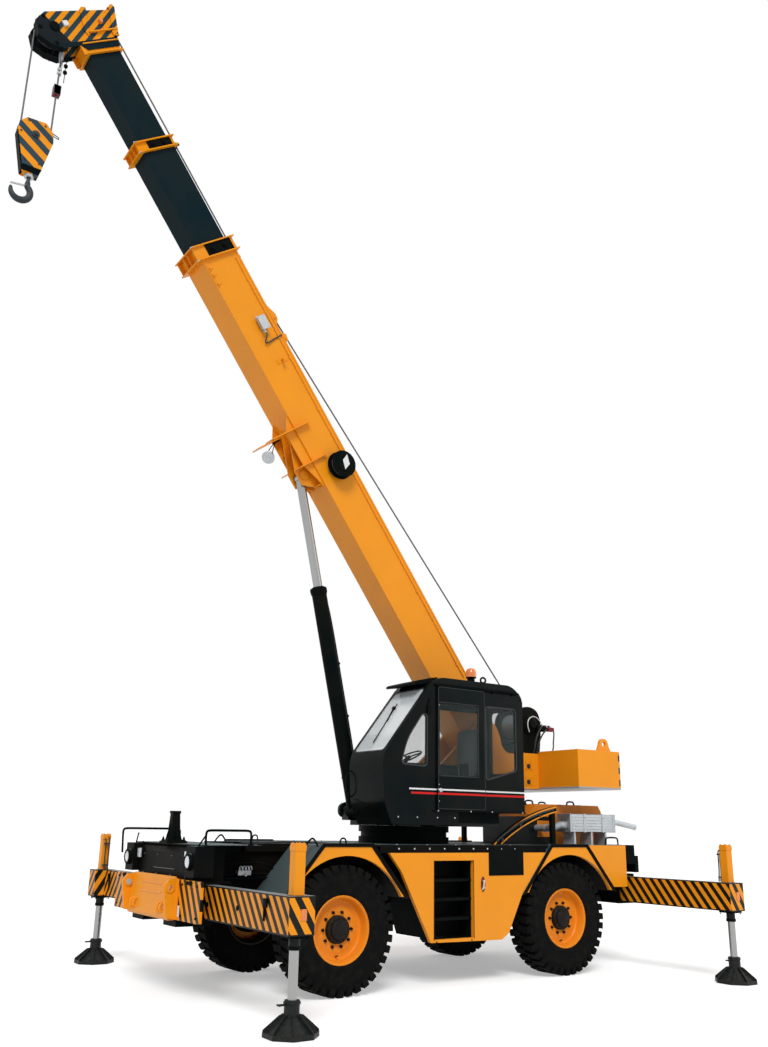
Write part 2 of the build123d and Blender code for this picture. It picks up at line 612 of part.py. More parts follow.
# Turntable: floor on the ring, two cheek plates with the boom pivot, rear frame
FLOOR_Z0 = RING_Z + SEAT_GAP
FLOOR_Z1 = FLOOR_Z0 + FLOOR_T
CHEEK = [(over(-1006), FLOOR_Z1), (over(-1006), RING_Z + 220), (over(-886), RING_Z + 330), (over(-646), RING_Z + 330), (over(194), RING_Z + 620), (over(914), RING_Z + 1280),
         (over(1054), RING_Z + 1430), (over(1334), RING_Z + 1460), (over(1444), RING_Z + 1300), (over(1514), RING_Z + 1030), (CW_X0 + 100, RING_Z + 1000),
         (CW_X0 + 100, CW_Z0), (over(1674), CW_Z0), (over(1044), FLOOR_Z1)]
with BuildPart() as turntable:
    block((over(-1006), over(1044)), (-EAR_Y0 - EAR_T, EAR_Y0 + EAR_T), (FLOOR_Z0, FLOOR_Z1))
    for side in (-1, 1):
        side_slab(CHEEK, sorted((side * EAR_Y0, side * (EAR_Y0 + EAR_T))))
    block((over(64), over(794)), (-1000, -EAR_Y0 - EAR_T), (FLOOR_Z0, CAB_Z0))
    block((over(1674), CW_X0), (-EAR_Y0, EAR_Y0), (CW_Z0, CW_Z0 + 40))
    block((WINCH_X - 230, CW_X0 + 100), (-EAR_Y0 - EAR_T, EAR_Y0 + EAR_T), (RING_Z + 1000, RING_Z + 1040))
    for side in (-1, 1):
        block((over(-866), over(-676)), (side * (EYE_HALF + 3), side * EAR_Y0), (FLOOR_Z1, RING_Z + 320))
    cross_pin(FOOT_X, FOOT_Z, (-EAR_Y0 - EAR_T, EAR_Y0 + EAR_T), CYL_PIN_R + 0.05, mode=Mode.SUBTRACT)
    cross_pin(PIVOT_X, PIVOT_Z, (-EAR_Y0 - EAR_T, EAR_Y0 + EAR_T), PIVOT_R + 0.05, mode=Mode.SUBTRACT)
save(turntable.part, "turntable")

# Counterweight
with BuildPart() as weight:
    plan_slab([(CW_X0, -CW_Y), (CW_X1 - 60, -CW_Y), (CW_X1, -CW_Y + 80), (CW_X1, CW_Y - 80), (CW_X1 - 60, CW_Y),
               (CW_X0, CW_Y)], (CW_Z0, CW_Z1))
    block((CW_X0, CW_X0 + 100.5), (-EAR_Y0 - EAR_T - 0.5, EAR_Y0 + EAR_T + 0.5), (CW_Z0, CW_Z1), mode=Mode.SUBTRACT)
    for side in (-1, 1):
        with BuildSketch(Plane.XZ.offset(-(max(side * 1010, side * 1050)))):
            with Locations((over(2749), CW_Z1)):
                Trapezoid(140, 100, 60, align=(Align.CENTER, Align.MIN))
        extrude(amount=40)
        cross_pin(over(2749), CW_Z1 + 55, (side * 1010, side * 1050), 22, mode=Mode.SUBTRACT)
save(weight.part, "counterweight")

# Winch: drum between two end plates, gearbox outside
with BuildPart() as winch:
    cross_pin(WINCH_X, WINCH_Z, (-200, 200), 150)
    for side in (-1, 1):
        cross_pin(WINCH_X, WINCH_Z, (side * 200, side * 215), 240)
        cross_pin(WINCH_X, WINCH_Z, (side * 215, side * 235), WINCH_R)
        side_slab([(WINCH_X - WINCH_R + 10, RING_Z + 1040), (WINCH_X - WINCH_R + 10, WINCH_Z), (WINCH_X + WINCH_R - 60, WINCH_Z),
                   (WINCH_X + WINCH_R - 60, RING_Z + 1040)], sorted((side * 215, side * 235)))
    cross_pin(WINCH_X, WINCH_Z, (-340, -235), 110)
    with Locations((WINCH_X + 205, -300, WINCH_Z - 45)):
        Cylinder(52, 260, rotation=(0, 90, 0))
    block((WINCH_X + 325, WINCH_X + 425), (-350, -255), (WINCH_Z - 95, WINCH_Z - 5))
save(winch.part, "winch")

# Cab, split into body, roof, door and glass
CAB_PROFILE = [(over(64), SKIRT_Z), (over(-946), SKIRT_Z), (over(-1061), CAB_Z0 + 85), (over(-1096), CAB_Z0 + 585), (over(-1084), CAB_Z0 + 675), (over(-406), ROOF_Z),
               (over(1144), ROOF_Z), (over(1184), ROOF_Z - 120), (over(1184), CAB_Z0), (over(64), CAB_Z0)]
CAB_INNER = [(over(-896), CAB_Z0 + 30), (over(-1016), CAB_Z0 + 105), (over(-1051), CAB_Z0 + 585), (over(-1041), CAB_Z0 + 665), (over(-386), ROOF_Z + 5),
             (over(1104), ROOF_Z + 5), (over(1144), ROOF_Z - 120), (over(1144), CAB_Z0 + 30)]



def cab_shape(outline, inset=0):
    """Side outline in (x, z), rounded along its near front and rear edges, walls moved in by inset."""
    with BuildPart() as shape:
        side_slab(outline, (CAB_Y0 + inset, CAB_Y1 - inset))
        near = shape.faces().sort_by(Axis.Y)[0].edges()
        fillet([e for e in near if e.center().X < over(-426) and e.bounding_box().size.Z > 30
                and e.center().Z < ROOF_Z - 10], CAB_ROUND - inset)
        rear = shape.faces().sort_by(Axis.X)[-1].edges().filter_by(Axis.Z)
        fillet(rear, 2 * CAB_WALL - inset)
    return shape.part


with BuildPart() as cab:
    add(cab_shape(CAB_PROFILE))
    add(cab_shape(CAB_INNER, CAB_WALL), mode=Mode.SUBTRACT)
    # windscreen, quarter light, door, rear side, rear and far-side openings
    side_slab([(over(-1306), CAB_Z0 + 690), (over(-1006), CAB_Z0 + 690), (over(-376), CAB_Z0 + 1515), (over(-806), CAB_Z0 + 1515)], (CAB_Y0 + 55, CAB_Y1 - 50),
              mode=Mode.SUBTRACT)
    side_slab([(over(-813), CAB_Z0 + 585), (over(-813), CAB_Z0 + 670), (over(-493), CAB_Z0 + 1145), (over(-416), CAB_Z0 + 1145), (over(-416), CAB_Z0 + 545), (over(-786), CAB_Z0 + 545)],
              (CAB_Y0, CAB_Y0 + CAB_WALL), mode=Mode.SUBTRACT)
    block((DOOR_X0 + 40, DOOR_X1 - 40), (CAB_Y0, CAB_Y0 + CAB_WALL), (CAB_Z0 + 60, ROOF_Z - 90), mode=Mode.SUBTRACT)
    side_slab([(over(534), CAB_Z0 + 1342), (over(1043), CAB_Z0 + 1342), (over(1043), CAB_Z0 + 548), (over(534), CAB_Z0 + 412)], (CAB_Y0, CAB_Y0 + CAB_WALL),
              mode=Mode.SUBTRACT)
    side_slab([(over(-406), CAB_Z0 + 1355), (over(1043), CAB_Z0 + 1355), (over(1043), CAB_Z0 + 625), (over(-706), CAB_Z0 + 625), (over(-806), CAB_Z0 + 725)],
              (CAB_Y1 - CAB_WALL, CAB_Y1), mode=Mode.SUBTRACT)
    block((over(1134), over(1194)), (CAB_Y0 + 120, CAB_Y1 - 120), (CAB_Z0 + 525, CAB_Z0 + 1355), mode=Mode.SUBTRACT)
save(cab.part, "cab_body")

with BuildPart() as roof:
    side_slab([(over(-406), ROOF_Z), (over(-456), ROOF_Z + 40), (over(-226), ROOF_Z + 120), (over(894), ROOF_Z + 120),
               (over(1074), ROOF_Z + 60), (over(1144), ROOF_Z)], (CAB_Y0, CAB_Y1))
    block((over(-316), over(1104)), (CAB_Y0 - DOOR_GAP - DOOR_T - 6, CAB_Y0), (ROOF_Z, ROOF_Z + 45))
    # sun visor ahead of the windscreen
    side_slab([(over(-380), ROOF_Z + 66), (over(-600), ROOF_Z + 14), (over(-597), ROOF_Z + 2),
               (over(-450), ROOF_Z + 34)], (CAB_Y0 + 70, CAB_Y1 - 60))
save(roof.part, "cab_roof")

GLASS_T = 6
with BuildPart() as glass:
    side_slab([(over(-1054), CAB_Z0 + 690), (over(-1048), CAB_Z0 + 690), (over(-404), CAB_Z0 + 1515), (over(-412), CAB_Z0 + 1515)], (CAB_Y0 + 55, CAB_Y1 - 50))
    side_slab([(over(-813), CAB_Z0 + 585), (over(-813), CAB_Z0 + 670), (over(-493), CAB_Z0 + 1145), (over(-416), CAB_Z0 + 1145), (over(-416), CAB_Z0 + 545), (over(-786), CAB_Z0 + 545)],
              (CAB_Y0 + 10, CAB_Y0 + 10 + GLASS_T))
    side_slab([(over(534), CAB_Z0 + 1342), (over(1043), CAB_Z0 + 1342), (over(1043), CAB_Z0 + 548), (over(534), CAB_Z0 + 412)],
              (CAB_Y0 + 10, CAB_Y0 + 10 + GLASS_T))
    side_slab([(over(-406), CAB_Z0 + 1355), (over(1043), CAB_Z0 + 1355), (over(1043), CAB_Z0 + 625), (over(-706), CAB_Z0 + 625), (over(-806), CAB_Z0 + 725)],
              (CAB_Y1 - 20, CAB_Y1 - 20 + GLASS_T))
    block((over(1154), over(1160)), (CAB_Y0 + 120, CAB_Y1 - 120), (CAB_Z0 + 525, CAB_Z0 + 1355))
save(glass.part, "cab_glass")

with BuildPart() as door:
    y = (CAB_Y0 - DOOR_GAP - DOOR_T, CAB_Y0 - DOOR_GAP)
    block((DOOR_X0, DOOR_X1), y, (CAB_Z0 + 25, ROOF_Z - SEAT_GAP))
    block((over(-256), over(394)), y, (CAB_Z0 + 425, CAB_Z0 + 1345), mode=Mode.SUBTRACT)
    block((over(-256), over(394)), (y[0] + 12, y[0] + 18), (CAB_Z0 + 425, CAB_Z0 + 1345))
save(door.part, "cab_door")

with BuildPart() as inside:
    block((over(44), over(544)), (-940, -480), (CAB_Z0 + 30, CAB_Z0 + 445))
    block((over(494), over(614)), (-930, -490), (CAB_Z0 + 445, CAB_Z0 + 1075))
    block((over(-806), over(-606)), (-900, -500), (CAB_Z0 + 30, CAB_Z0 + 575))
save(inside.part, "cab_seat")

FRAME_T = 16
FRAME_OUT = 30


def collar_frames(start, end, width, height, deep):
    """Two flat frames round a section's end, with ribs between them below."""
    for s in (start, end - FRAME_T):
        boom_box((s, s + FRAME_T), width + 2 * FRAME_OUT, height + 2 * FRAME_OUT + deep, n=-deep / 2)
    for y in (-width / 2, -60, 48, width / 2 - 12):
        boom_slab([(start, -height / 2), (start, -height / 2 - FRAME_OUT - deep + 12),
                   (end, -height / 2 - FRAME_OUT - deep + 12), (end, -height / 2)], (y, y + 12))


# Boom base
with BuildPart() as base:
    boom_box((0, BASE_END), BASE_W, BASE_H)
    boom_pin(0, 0, (-BASE_W / 2, BASE_W / 2), BASE_H / 2)
    boom_box((600, BASE_END), BASE_W - 2 * BOOM_WALL, BASE_H - 2 * BOOM_WALL, mode=Mode.SUBTRACT)
    # front collar carries the middle section on its pads
    boom_box((BASE_END - COLLAR_L, BASE_END), BASE_W + 40, BASE_H + 40)
    collar_frames(BASE_END - COLLAR_L, BASE_END, BASE_W + 40, BASE_H + 40, 45)
    boom_box((BASE_END - COLLAR_L, BASE_END), MID_W + 2 * PAD_GAP, MID_H + 2 * PAD_GAP, mode=Mode.SUBTRACT)
    # trunnions in the turntable's cheeks
    boom_pin(0, 0, (-EAR_Y0 - EAR_T, EAR_Y0 + EAR_T), PIVOT_R)
    # lift bracket under the boom
    for side in (-1, 1):
        y = sorted((side * 80, side * 105))
        boom_slab([(EYE_S - 260, -BASE_H / 2), (EYE_S - 110, EYE_N - 90), (EYE_S + 90, EYE_N - 90),
                   (EYE_S + 700, -BASE_H / 2)], y)
        boom_pin(EYE_S, EYE_N, sorted((side * 105, side * 125)), CYL_PIN_R + 22)
    # two wide ribs round the underside, and the bracket for a jib on top
    for s, reach, low in ((EYE_S + 600, BASE_W / 2 + 75, 440), (EYE_S + 105, BASE_W / 2 + 48, 250)):
        boom_box((s, s + FRAME_T), 2 * reach, BASE_H / 2 - 50 + low, n=-(BASE_H / 2 + 50 + low) / 2)
        boom_box((s, s + FRAME_T), BASE_W - 2 * BOOM_WALL, BASE_H - 2 * BOOM_WALL, mode=Mode.SUBTRACT)
        # open between the bracket's plates, where the rod passes
        boom_box((s, s + FRAME_T), 160, low, n=-(BASE_H + low) / 2, mode=Mode.SUBTRACT)
    for side in (-1, 1):
        boom_slab([(JIB_S, BASE_H / 2), (JIB_S + 60, BASE_H / 2 + 115), (JIB_S + 140, BASE_H / 2 + 135),
                   (JIB_S + 200, BASE_H / 2 + 70), (JIB_S + 320, BASE_H / 2 + 70), (JIB_S + 380, BASE_H / 2 + 130),
                   (JIB_S + 460, BASE_H / 2 + 140), (JIB_S + 600, BASE_H / 2 + 80), (JIB_S + 680, BASE_H / 2)],
                  sorted((side * 120, side * 135)))
save(base.part, "boom_base")

# Fittings on the boom's side: cable reel and junction box
BOOM_SIDE = -BASE_W / 2
REEL_S, REEL_N = 4380, 50
REEL = ((0, 40, 85), (40, 54, 192), (54, 146, 146), (146, 160, 186), (160, 184, 118))
with BuildPart() as fittings:
    for near, far, radius in REEL:
        boom_pin(REEL_S, REEL_N, (BOOM_SIDE - far, BOOM_SIDE - near), radius)
    boom_slab([(6482, -8), (6678, -8), (6678, 123), (6482, 123)], (BOOM_SIDE - 86, BOOM_SIDE))
save(fittings.part, "boom_fittings")

with BuildPart() as mid:
    boom_box((MID_TAIL, MID_END), MID_W, MID_H)
    boom_box((MID_TAIL, MID_TAIL + 150), BASE_W - 2 * BOOM_WALL - 2 * PAD_GAP, BASE_H - 2 * BOOM_WALL - 2 * PAD_GAP)
    boom_box((MID_TAIL, MID_END), MID_W - 2 * BOOM_WALL, MID_H - 2 * BOOM_WALL, mode=Mode.SUBTRACT)
    boom_box((MID_END - 150, MID_END), MID_W + 36, MID_H + 36)
    collar_frames(MID_END - 150, MID_END, MID_W + 36, MID_H + 36, 32)
    boom_box((MID_END - 150, MID_END), TIP_W + 2 * PAD_GAP, TIP_H + 2 * PAD_GAP, mode=Mode.SUBTRACT)
save(mid.part, "boom_mid")

# Tip section with the head welded to its end
SHEAVE_T = 50
GROOVE = ROPE_R + 0.3
HEAD_PLATE = [(10710, -240), (10710, 250), (11220, 380), (11290, -560), (11200, -740), (11020, -800), (10880, -700),
              (10790, -560), (10790, -300)]
with BuildPart() as tip:
    boom_box((TIP_TAIL, TIP_END), TIP_W, TIP_H)
    boom_box((TIP_TAIL, TIP_TAIL + 150), MID_W - 2 * BOOM_WALL - 2 * PAD_GAP, MID_H - 2 * BOOM_WALL - 2 * PAD_GAP)
    boom_box((TIP_END - 140, TIP_END), TIP_W + 40, TIP_H + 40)
    boom_box((TIP_TAIL, TIP_END), TIP_W - 2 * BOOM_WALL, TIP_H - 2 * BOOM_WALL, mode=Mode.SUBTRACT)
    for side in (-1, 1):
        boom_slab(HEAD_PLATE, sorted((side * (HEAD_Y - HEAD_T), side * HEAD_Y)))
        # guide roller frames and the nose that covers the sheave
        frame_y = sorted((side * HEAD_Y, side * (HEAD_Y + 22)))
        boom_slab([(10900, -130), (10965, -100), (11275, 35), (11290, -20), (11262, -65), (10975, -155)], frame_y)
        boom_slab([(10830, 245), (10840, 300), (11235, 462), (11283, 445), (11262, 395), (10900, 235)], frame_y)
        cover_y = sorted((side * 60, side * (HEAD_Y - HEAD_T)))
        boom_slab([(11262, -640), (11195, -738), (11188, -731), (11254, -636)], cover_y)
        boom_slab([(10885, -700), (10800, -560), (10808, -556), (10892, -694)], cover_y)
    for s, n in ((11255, -15), (11255, 420)):
        boom_pin(s, n, (-HEAD_Y - 22, HEAD_Y + 22), 24)
    boom_box((11190, 11220), 2 * HEAD_Y, 560, n=60)
save(tip.part, "boom_tip")

with BuildPart() as head_sheave:
    boom_pin(SHEAVE_S, SHEAVE_N, (-HEAD_Y + HEAD_T, HEAD_Y - HEAD_T), 35)
    boom_pin(SHEAVE_S, SHEAVE_N, (-SHEAVE_T / 2, SHEAVE_T / 2), SHEAVE_R)
    with Locations(Location(on_boom(SHEAVE_S, SHEAVE_N), (90, 0, 0))):
        Torus(SHEAVE_R, GROOVE, mode=Mode.SUBTRACT)
save(head_sheave.part, "head_sheave")

# Lift cylinder: barrel pinned in the cheeks, rod up to the bracket under the boom
FOOT = Vector(FOOT_X, 0, FOOT_Z)
EYE = on_boom(EYE_S, EYE_N)
THRUST = (EYE - FOOT).normalized()
BARREL_L = (EYE - FOOT).length - ROD_OUT


def thrust_plane(distance):
    """Plane across the lift cylinder at a distance from its foot pin."""
    return Plane(origin=FOOT + THRUST * distance, x_dir=(0, -1, 0), z_dir=THRUST)


def thrust_bar(start, end, radius, mode=Mode.ADD):
    """Round bar along the lift cylinder."""
    with BuildSketch(thrust_plane(start)) as profile:
        Circle(radius)
    extrude(profile.sketch, amount=end - start, mode=mode)


with BuildPart() as barrel:
    cross_pin(FOOT_X, FOOT_Z, (-EYE_HALF, EYE_HALF), 95)
    thrust_bar(40, BARREL_L - 80, BARREL_R)
    thrust_bar(BARREL_L - 90, BARREL_L, BARREL_R + 8)
    thrust_bar(220, BARREL_L + 10, ROD_R + 0.5, mode=Mode.SUBTRACT)
    cross_pin(FOOT_X, FOOT_Z, (-EAR_Y0 - EAR_T, EAR_Y0 + EAR_T), CYL_PIN_R)
save(barrel.part, "lift_barrel")

with BuildPart() as rod:
    thrust_bar(BARREL_L - 1200, BARREL_L + ROD_OUT - 50, ROD_R)
    cross_pin(EYE.X, EYE.Z, (-72, 72), EYE_R)
    cross_pin(EYE.X, EYE.Z, (-72, 72), CYL_PIN_R, mode=Mode.SUBTRACT)
save(rod.part, "lift_rod")

# Hook block: falls, sheave between cheeks, crosshead, swivelling hook
HEAD = on_boom(SHEAVE_S, SHEAVE_N)
FALL_X0 = HEAD.X - SHEAVE_R
BLOCK_X = FALL_X0 + BLOCK_R
FALL_X1 = BLOCK_X + BLOCK_R
BLOCK_Z = HEAD.Z - DROP
CHEEK_Y = (42, 60)
BLOCK_CHEEK = [(-120, 200), (110, 215), (205, 110), (220, -30), (100, -570), (-100, -570), (-220, -30), (-205, 110)]
SHANK_R = 30
with BuildPart() as hook_block:
    for side in (-1, 1):
        side_slab([(BLOCK_X + x, BLOCK_Z + z) for x, z in BLOCK_CHEEK], sorted((side * CHEEK_Y[0], side * CHEEK_Y[1])))
    cross_pin(BLOCK_X, BLOCK_Z, (-CHEEK_Y[0], CHEEK_Y[0]), 35)
    cross_pin(BLOCK_X, BLOCK_Z, (-SHEAVE_T / 2, SHEAVE_T / 2), BLOCK_R)
    with Locations(Location((BLOCK_X, 0, BLOCK_Z), (90, 0, 0))):
        Torus(BLOCK_R, GROOVE, mode=Mode.SUBTRACT)
    block((BLOCK_X - 85, BLOCK_X + 85), (-CHEEK_Y[0], CHEEK_Y[0]), (BLOCK_Z - 560, BLOCK_Z - 470))
    upright(BLOCK_X, 0, (BLOCK_Z - 560, BLOCK_Z - 470), SHANK_R + 0.5, mode=Mode.SUBTRACT)
save(hook_block.part, "hook_block")

HOOK_DX = -60
BOWL_Z = BLOCK_Z - 840
with BuildPart() as hook:
    upright(BLOCK_X, 0, (BLOCK_Z - 730, BLOCK_Z - 440), SHANK_R)
    upright(BLOCK_X, 0, (BLOCK_Z - 470 + SEAT_GAP, BLOCK_Z - 420), 40)
    with BuildSketch(Plane.XZ.offset(-35)):
        with Locations((BLOCK_X + HOOK_DX, BOWL_Z)):
            Circle(165)
        with Locations((BLOCK_X + HOOK_DX - 12, BOWL_Z + 14)):
            Circle(82, mode=Mode.SUBTRACT)
        with BuildLine():
            Polyline((BLOCK_X + HOOK_DX - 12, BOWL_Z + 14), (BLOCK_X + HOOK_DX - 300, BOWL_Z + 120),
                     (BLOCK_X + HOOK_DX - 300, BOWL_Z + 300), (BLOCK_X + HOOK_DX + 20, BOWL_Z + 300), close=True)
        make_face(mode=Mode.SUBTRACT)
    extrude(amount=70)
    block((BLOCK_X - 35, BLOCK_X + 35), (-35, 35), (BOWL_Z + 90, BLOCK_Z - 700))
save(hook.part, "hook")

SOCKET_DROP = 165                   # dead end's pin below the head sheave's centre
with BuildPart() as falls:
    upright(FALL_X0, 0, (BLOCK_Z, HEAD.Z), ROPE_R)
    upright(FALL_X1, 0, (BLOCK_Z, HEAD.Z - SOCKET_DROP - 60), ROPE_R)
    side_slab([(FALL_X1 - 24, HEAD.Z - SOCKET_DROP - 14), (FALL_X1 + 24, HEAD.Z - SOCKET_DROP - 14),
               (FALL_X1 + 24, HEAD.Z - SOCKET_DROP - 90), (FALL_X1 + 12, HEAD.Z - SOCKET_DROP - 190),
               (FALL_X1 - 12, HEAD.Z - SOCKET_DROP - 190), (FALL_X1 - 24, HEAD.Z - SOCKET_DROP - 90)], (-22, 22))
    cross_pin(FALL_X1, HEAD.Z - SOCKET_DROP, (-HEAD_Y + HEAD_T + SEAT_GAP, HEAD_Y - HEAD_T - SEAT_GAP), 16)
    block((FALL_X1 - 45, FALL_X1 + 45), (-45, 45), (HEAD.Z - 880, HEAD.Z - 740))
save(falls.part, "hoist_falls")
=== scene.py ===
# %% [markdown]
# # A rough-terrain mobile crane, dressed for its picture
# The crane was built as solids first, and packed as a frame: 55 named parts with their joints.
# Here every part gets a real finish, and the small pieces that make it a working machine are added:
# lugs on the tyres, collars and bolts on the boom, lamps, hoses, ropes, handles and the cab's inside.
# Everything is in metres, in the frame's own place, so nothing has to be fitted by eye.

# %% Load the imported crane
import math

import bmesh
import bpy
from mathutils import Matrix, Vector


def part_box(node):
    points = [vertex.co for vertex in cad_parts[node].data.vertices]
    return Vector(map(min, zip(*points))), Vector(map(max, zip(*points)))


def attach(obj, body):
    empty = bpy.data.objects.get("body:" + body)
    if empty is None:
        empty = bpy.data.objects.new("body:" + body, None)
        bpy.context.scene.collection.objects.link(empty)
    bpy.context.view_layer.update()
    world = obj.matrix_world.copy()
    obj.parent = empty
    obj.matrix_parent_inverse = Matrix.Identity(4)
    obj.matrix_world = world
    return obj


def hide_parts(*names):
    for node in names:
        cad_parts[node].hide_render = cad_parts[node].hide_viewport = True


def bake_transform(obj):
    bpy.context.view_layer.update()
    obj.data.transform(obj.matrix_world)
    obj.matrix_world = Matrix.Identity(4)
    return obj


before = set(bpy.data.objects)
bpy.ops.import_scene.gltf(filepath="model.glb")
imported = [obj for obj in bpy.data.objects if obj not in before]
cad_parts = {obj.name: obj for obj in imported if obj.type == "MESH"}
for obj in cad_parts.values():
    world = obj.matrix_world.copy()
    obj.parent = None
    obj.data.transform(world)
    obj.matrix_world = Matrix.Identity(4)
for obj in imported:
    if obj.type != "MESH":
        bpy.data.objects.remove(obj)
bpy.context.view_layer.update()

# %% [markdown]
# ## Camera
# The camera stands where the photographer stood: low, to the left of the crane's front, looking up.
# Its place and lens were worked out from points of the photograph whose real positions are known.
# A small shift keeps the picture's centre where the photograph has it.

# %% Place the camera
camera = bpy.data.cameras.new("photographer")
camera.sensor_width = 36
camera.lens = 32.85
CAMERA_AT = (-6.5162, -10.8439, 1.7984)
camera.shift_x, camera.shift_y = -0.005, 0.0154
camera.clip_end = 300
photographer = bpy.data.objects.new("photographer", camera)
bpy.context.scene.collection.objects.link(photographer)
look = Vector((0.54114, 0.79051, 0.28681))
right = Vector((0.82249, -0.56857, 0.01525))
up = right.cross(look)
photographer.matrix_world = Matrix.Translation(CAMERA_AT) @ Matrix((right, up, -look)).transposed().to_4x4()
bpy.context.scene.camera = photographer
print("camera looks", [round(v, 3) for v in look])

# %% [markdown]
# ## Words for materials
# A material is a small recipe, so it should read like one. `Value` wraps one output of a node,
# and sums on it add Math nodes. `Finish` holds one material, and its `node` method adds any other node:
# the settings are made first, then the inputs take numbers, colours or other values.

# %% A value in a material
class Value:
    """One output of a node, on which arithmetic adds Math nodes."""

    def __init__(self, finish, socket):
        self.finish = finish
        self.socket = socket

    def math(self, operation, other=None):
        inputs = {0: self} if other is None else {0: self, 1: other}
        return self.finish.node("ShaderNodeMath", {"operation": operation}, inputs)

    def __add__(self, other):
        return self.math("ADD", other)

    def __mul__(self, other):
        return self.math("MULTIPLY", other)

    def __sub__(self, other):
        return self.math("SUBTRACT", other)

    def __truediv__(self, other):
        return self.math("DIVIDE", other)

    def __rsub__(self, other):
        return self.finish.node("ShaderNodeMath", {"operation": "SUBTRACT"}, {0: other, 1: self})

    def __rtruediv__(self, other):
        return self.finish.node("ShaderNodeMath", {"operation": "DIVIDE"}, {0: other, 1: self})

    __radd__ = __add__
    __rmul__ = __mul__

    def above(self, limit):
        return self.math("GREATER_THAN", limit)

    def below(self, limit):
        return self.math("LESS_THAN", limit)

    def between(self, low, high):
        return self.above(low) * self.below(high)

    def size(self):
        return self.math("ABSOLUTE")

    def ramp(self, low, high):
        """0 below low, 1 above high, straight between."""
        return self.finish.node("ShaderNodeMapRange", {}, {0: self, 1: low, 2: high, 3: 0.0, 4: 1.0})


class Finish:
    """One material and the nodes that make it."""

    def __init__(self, name, **constants):
        self.material = bpy.data.materials.new(name)
        self.material.use_nodes = True
        self.tree = self.material.node_tree
        self.shader = self.tree.nodes["Principled BSDF"]
        for socket, value in constants.items():
            self.feed(self.shader.inputs[socket.replace("_", " ")], value)

    def feed(self, socket, value):
        if isinstance(value, Value):
            self.tree.links.new(value.socket, socket)
        elif hasattr(socket.default_value, "__len__") and len(socket.default_value) == 4:
            socket.default_value = (*value[:3], 1.0)
        else:
            socket.default_value = value

    def node(self, kind, settings, inputs, output=0):
        made = self.tree.nodes.new(kind)
        for name, value in settings.items():
            setattr(made, name, value)
        for name, value in inputs.items():
            self.feed(made.inputs[name], value)
        return Value(self, made.outputs[output])

    def place(self):
        return self.node("ShaderNodeTexCoord", {}, {}, "Object")

    def split(self, vector):
        parts = self.node("ShaderNodeSeparateXYZ", {}, {0: vector})
        outputs = parts.socket.node.outputs
        return tuple(Value(self, outputs[k]) for k in range(3))

    def facing(self):
        """The surface's own direction, as three values."""
        return self.split(self.node("ShaderNodeTexCoord", {}, {}, "Normal"))

    def cloud(self, scale, detail=3.0, stretch=(1, 1, 1)):
        """Soft random shading between 0 and 1, at a scale in steps per metre."""
        where = self.node("ShaderNodeMapping", {}, {0: self.place(), "Scale": stretch})
        return self.node("ShaderNodeTexNoise", {}, {"Vector": where, "Scale": scale, "Detail": detail,
                                                    "Roughness": 0.6})

    def blend(self, amount, first, second):
        """First colour where amount is 0, second where it is 1."""
        return self.node("ShaderNodeMix", {"data_type": "RGBA"}, {0: amount, 6: first, 7: second}, 2)

    def bump(self, height, strength, distance):
        normal = self.node("ShaderNodeBump", {}, {"Height": height, "Strength": strength,
                                                  "Distance": distance})
        self.feed(self.shader.inputs["Normal"], normal)

    def set(self, **values):
        for socket, value in values.items():
            self.feed(self.shader.inputs[socket.replace("_", " ")], value)
        return self.material


print("material words ready")

# %% [markdown]
# ## Paint
# Machine paint is sprayed on thick: it is glossy, slightly wavy like orange peel, and a little uneven in
# colour. Dust settles on what faces up and splashes low on the machine. One recipe gives every paint on
# the crane, and takes a colour, or a pattern of colours, worked out beforehand.

# %% The paint recipe
DUST = (0.3, 0.26, 0.2)


def sprayed(finish, colour, roughness=0.32, dust=0.1, peel=0.25):
    """Finish a paint: colour drift, dust, scuffed gloss and orange peel."""
    drift = finish.cloud(1.7, 2.0)
    worn = finish.blend(drift.ramp(0.35, 0.85) * 0.1, colour, (0.08, 0.05, 0.02))
    height = finish.split(finish.place())[2]
    up_facing = finish.facing()[2].ramp(0.3, 1.0)
    splash = 1.0 - height.ramp(0.25, 1.3)
    speckle = finish.cloud(26.0, 5.0).ramp(0.38, 0.75)
    dirt = (up_facing * 0.55 + splash * 0.45) * speckle * (2.0 * dust)
    tint = finish.blend(dirt, worn, DUST)
    scuffs = finish.cloud(9.0, 4.0, (1, 1, 3)).ramp(0.45, 0.8)
    gloss = roughness + scuffs * 0.1 + dirt * 0.9
    finish.bump(finish.cloud(420.0, 1.0), peel, 0.0006)
    return finish.set(Base_Color=tint, Roughness=gloss)


def paint(name, colour, roughness=0.32, dust=0.1, coat=0.05, shine=0.2):
    finish = Finish(name, Coat_Weight=coat, Coat_Roughness=0.12, Specular_IOR_Level=shine)
    return sprayed(finish, colour, roughness, dust)


YELLOW = (0.84, 0.295, 0.008)
BLACK = (0.0013, 0.004, 0.0045)
yellow_paint = paint("yellow_paint", YELLOW)
hood_paint = paint("hood_paint", (0.66, 0.195, 0.006), 0.36, 0.16)
black_paint = paint("black_paint", BLACK, 0.42, 0.006, 0.0, 0.02)
chassis_paint = paint("chassis_paint", (0.0026, 0.0032, 0.0035), 0.55, 0.015, 0.0, 0.02)
red_paint = paint("red_paint", (0.16, 0.012, 0.02), 0.45, 0.08)
white_paint = paint("white_paint", (0.74, 0.75, 0.74), 0.4, 0.05)
print("plain paints:", 6)

# %% [markdown]
# ## Warning stripes
# The outriggers, the bumper, the boom's head and the hook block wear slanting stripes. A stripe is a
# sawtooth: add two directions, divide by the pitch, and keep the first half of each turn. The stripes
# lean away from the crane's middle on both sides, so the side's sign turns the slope.

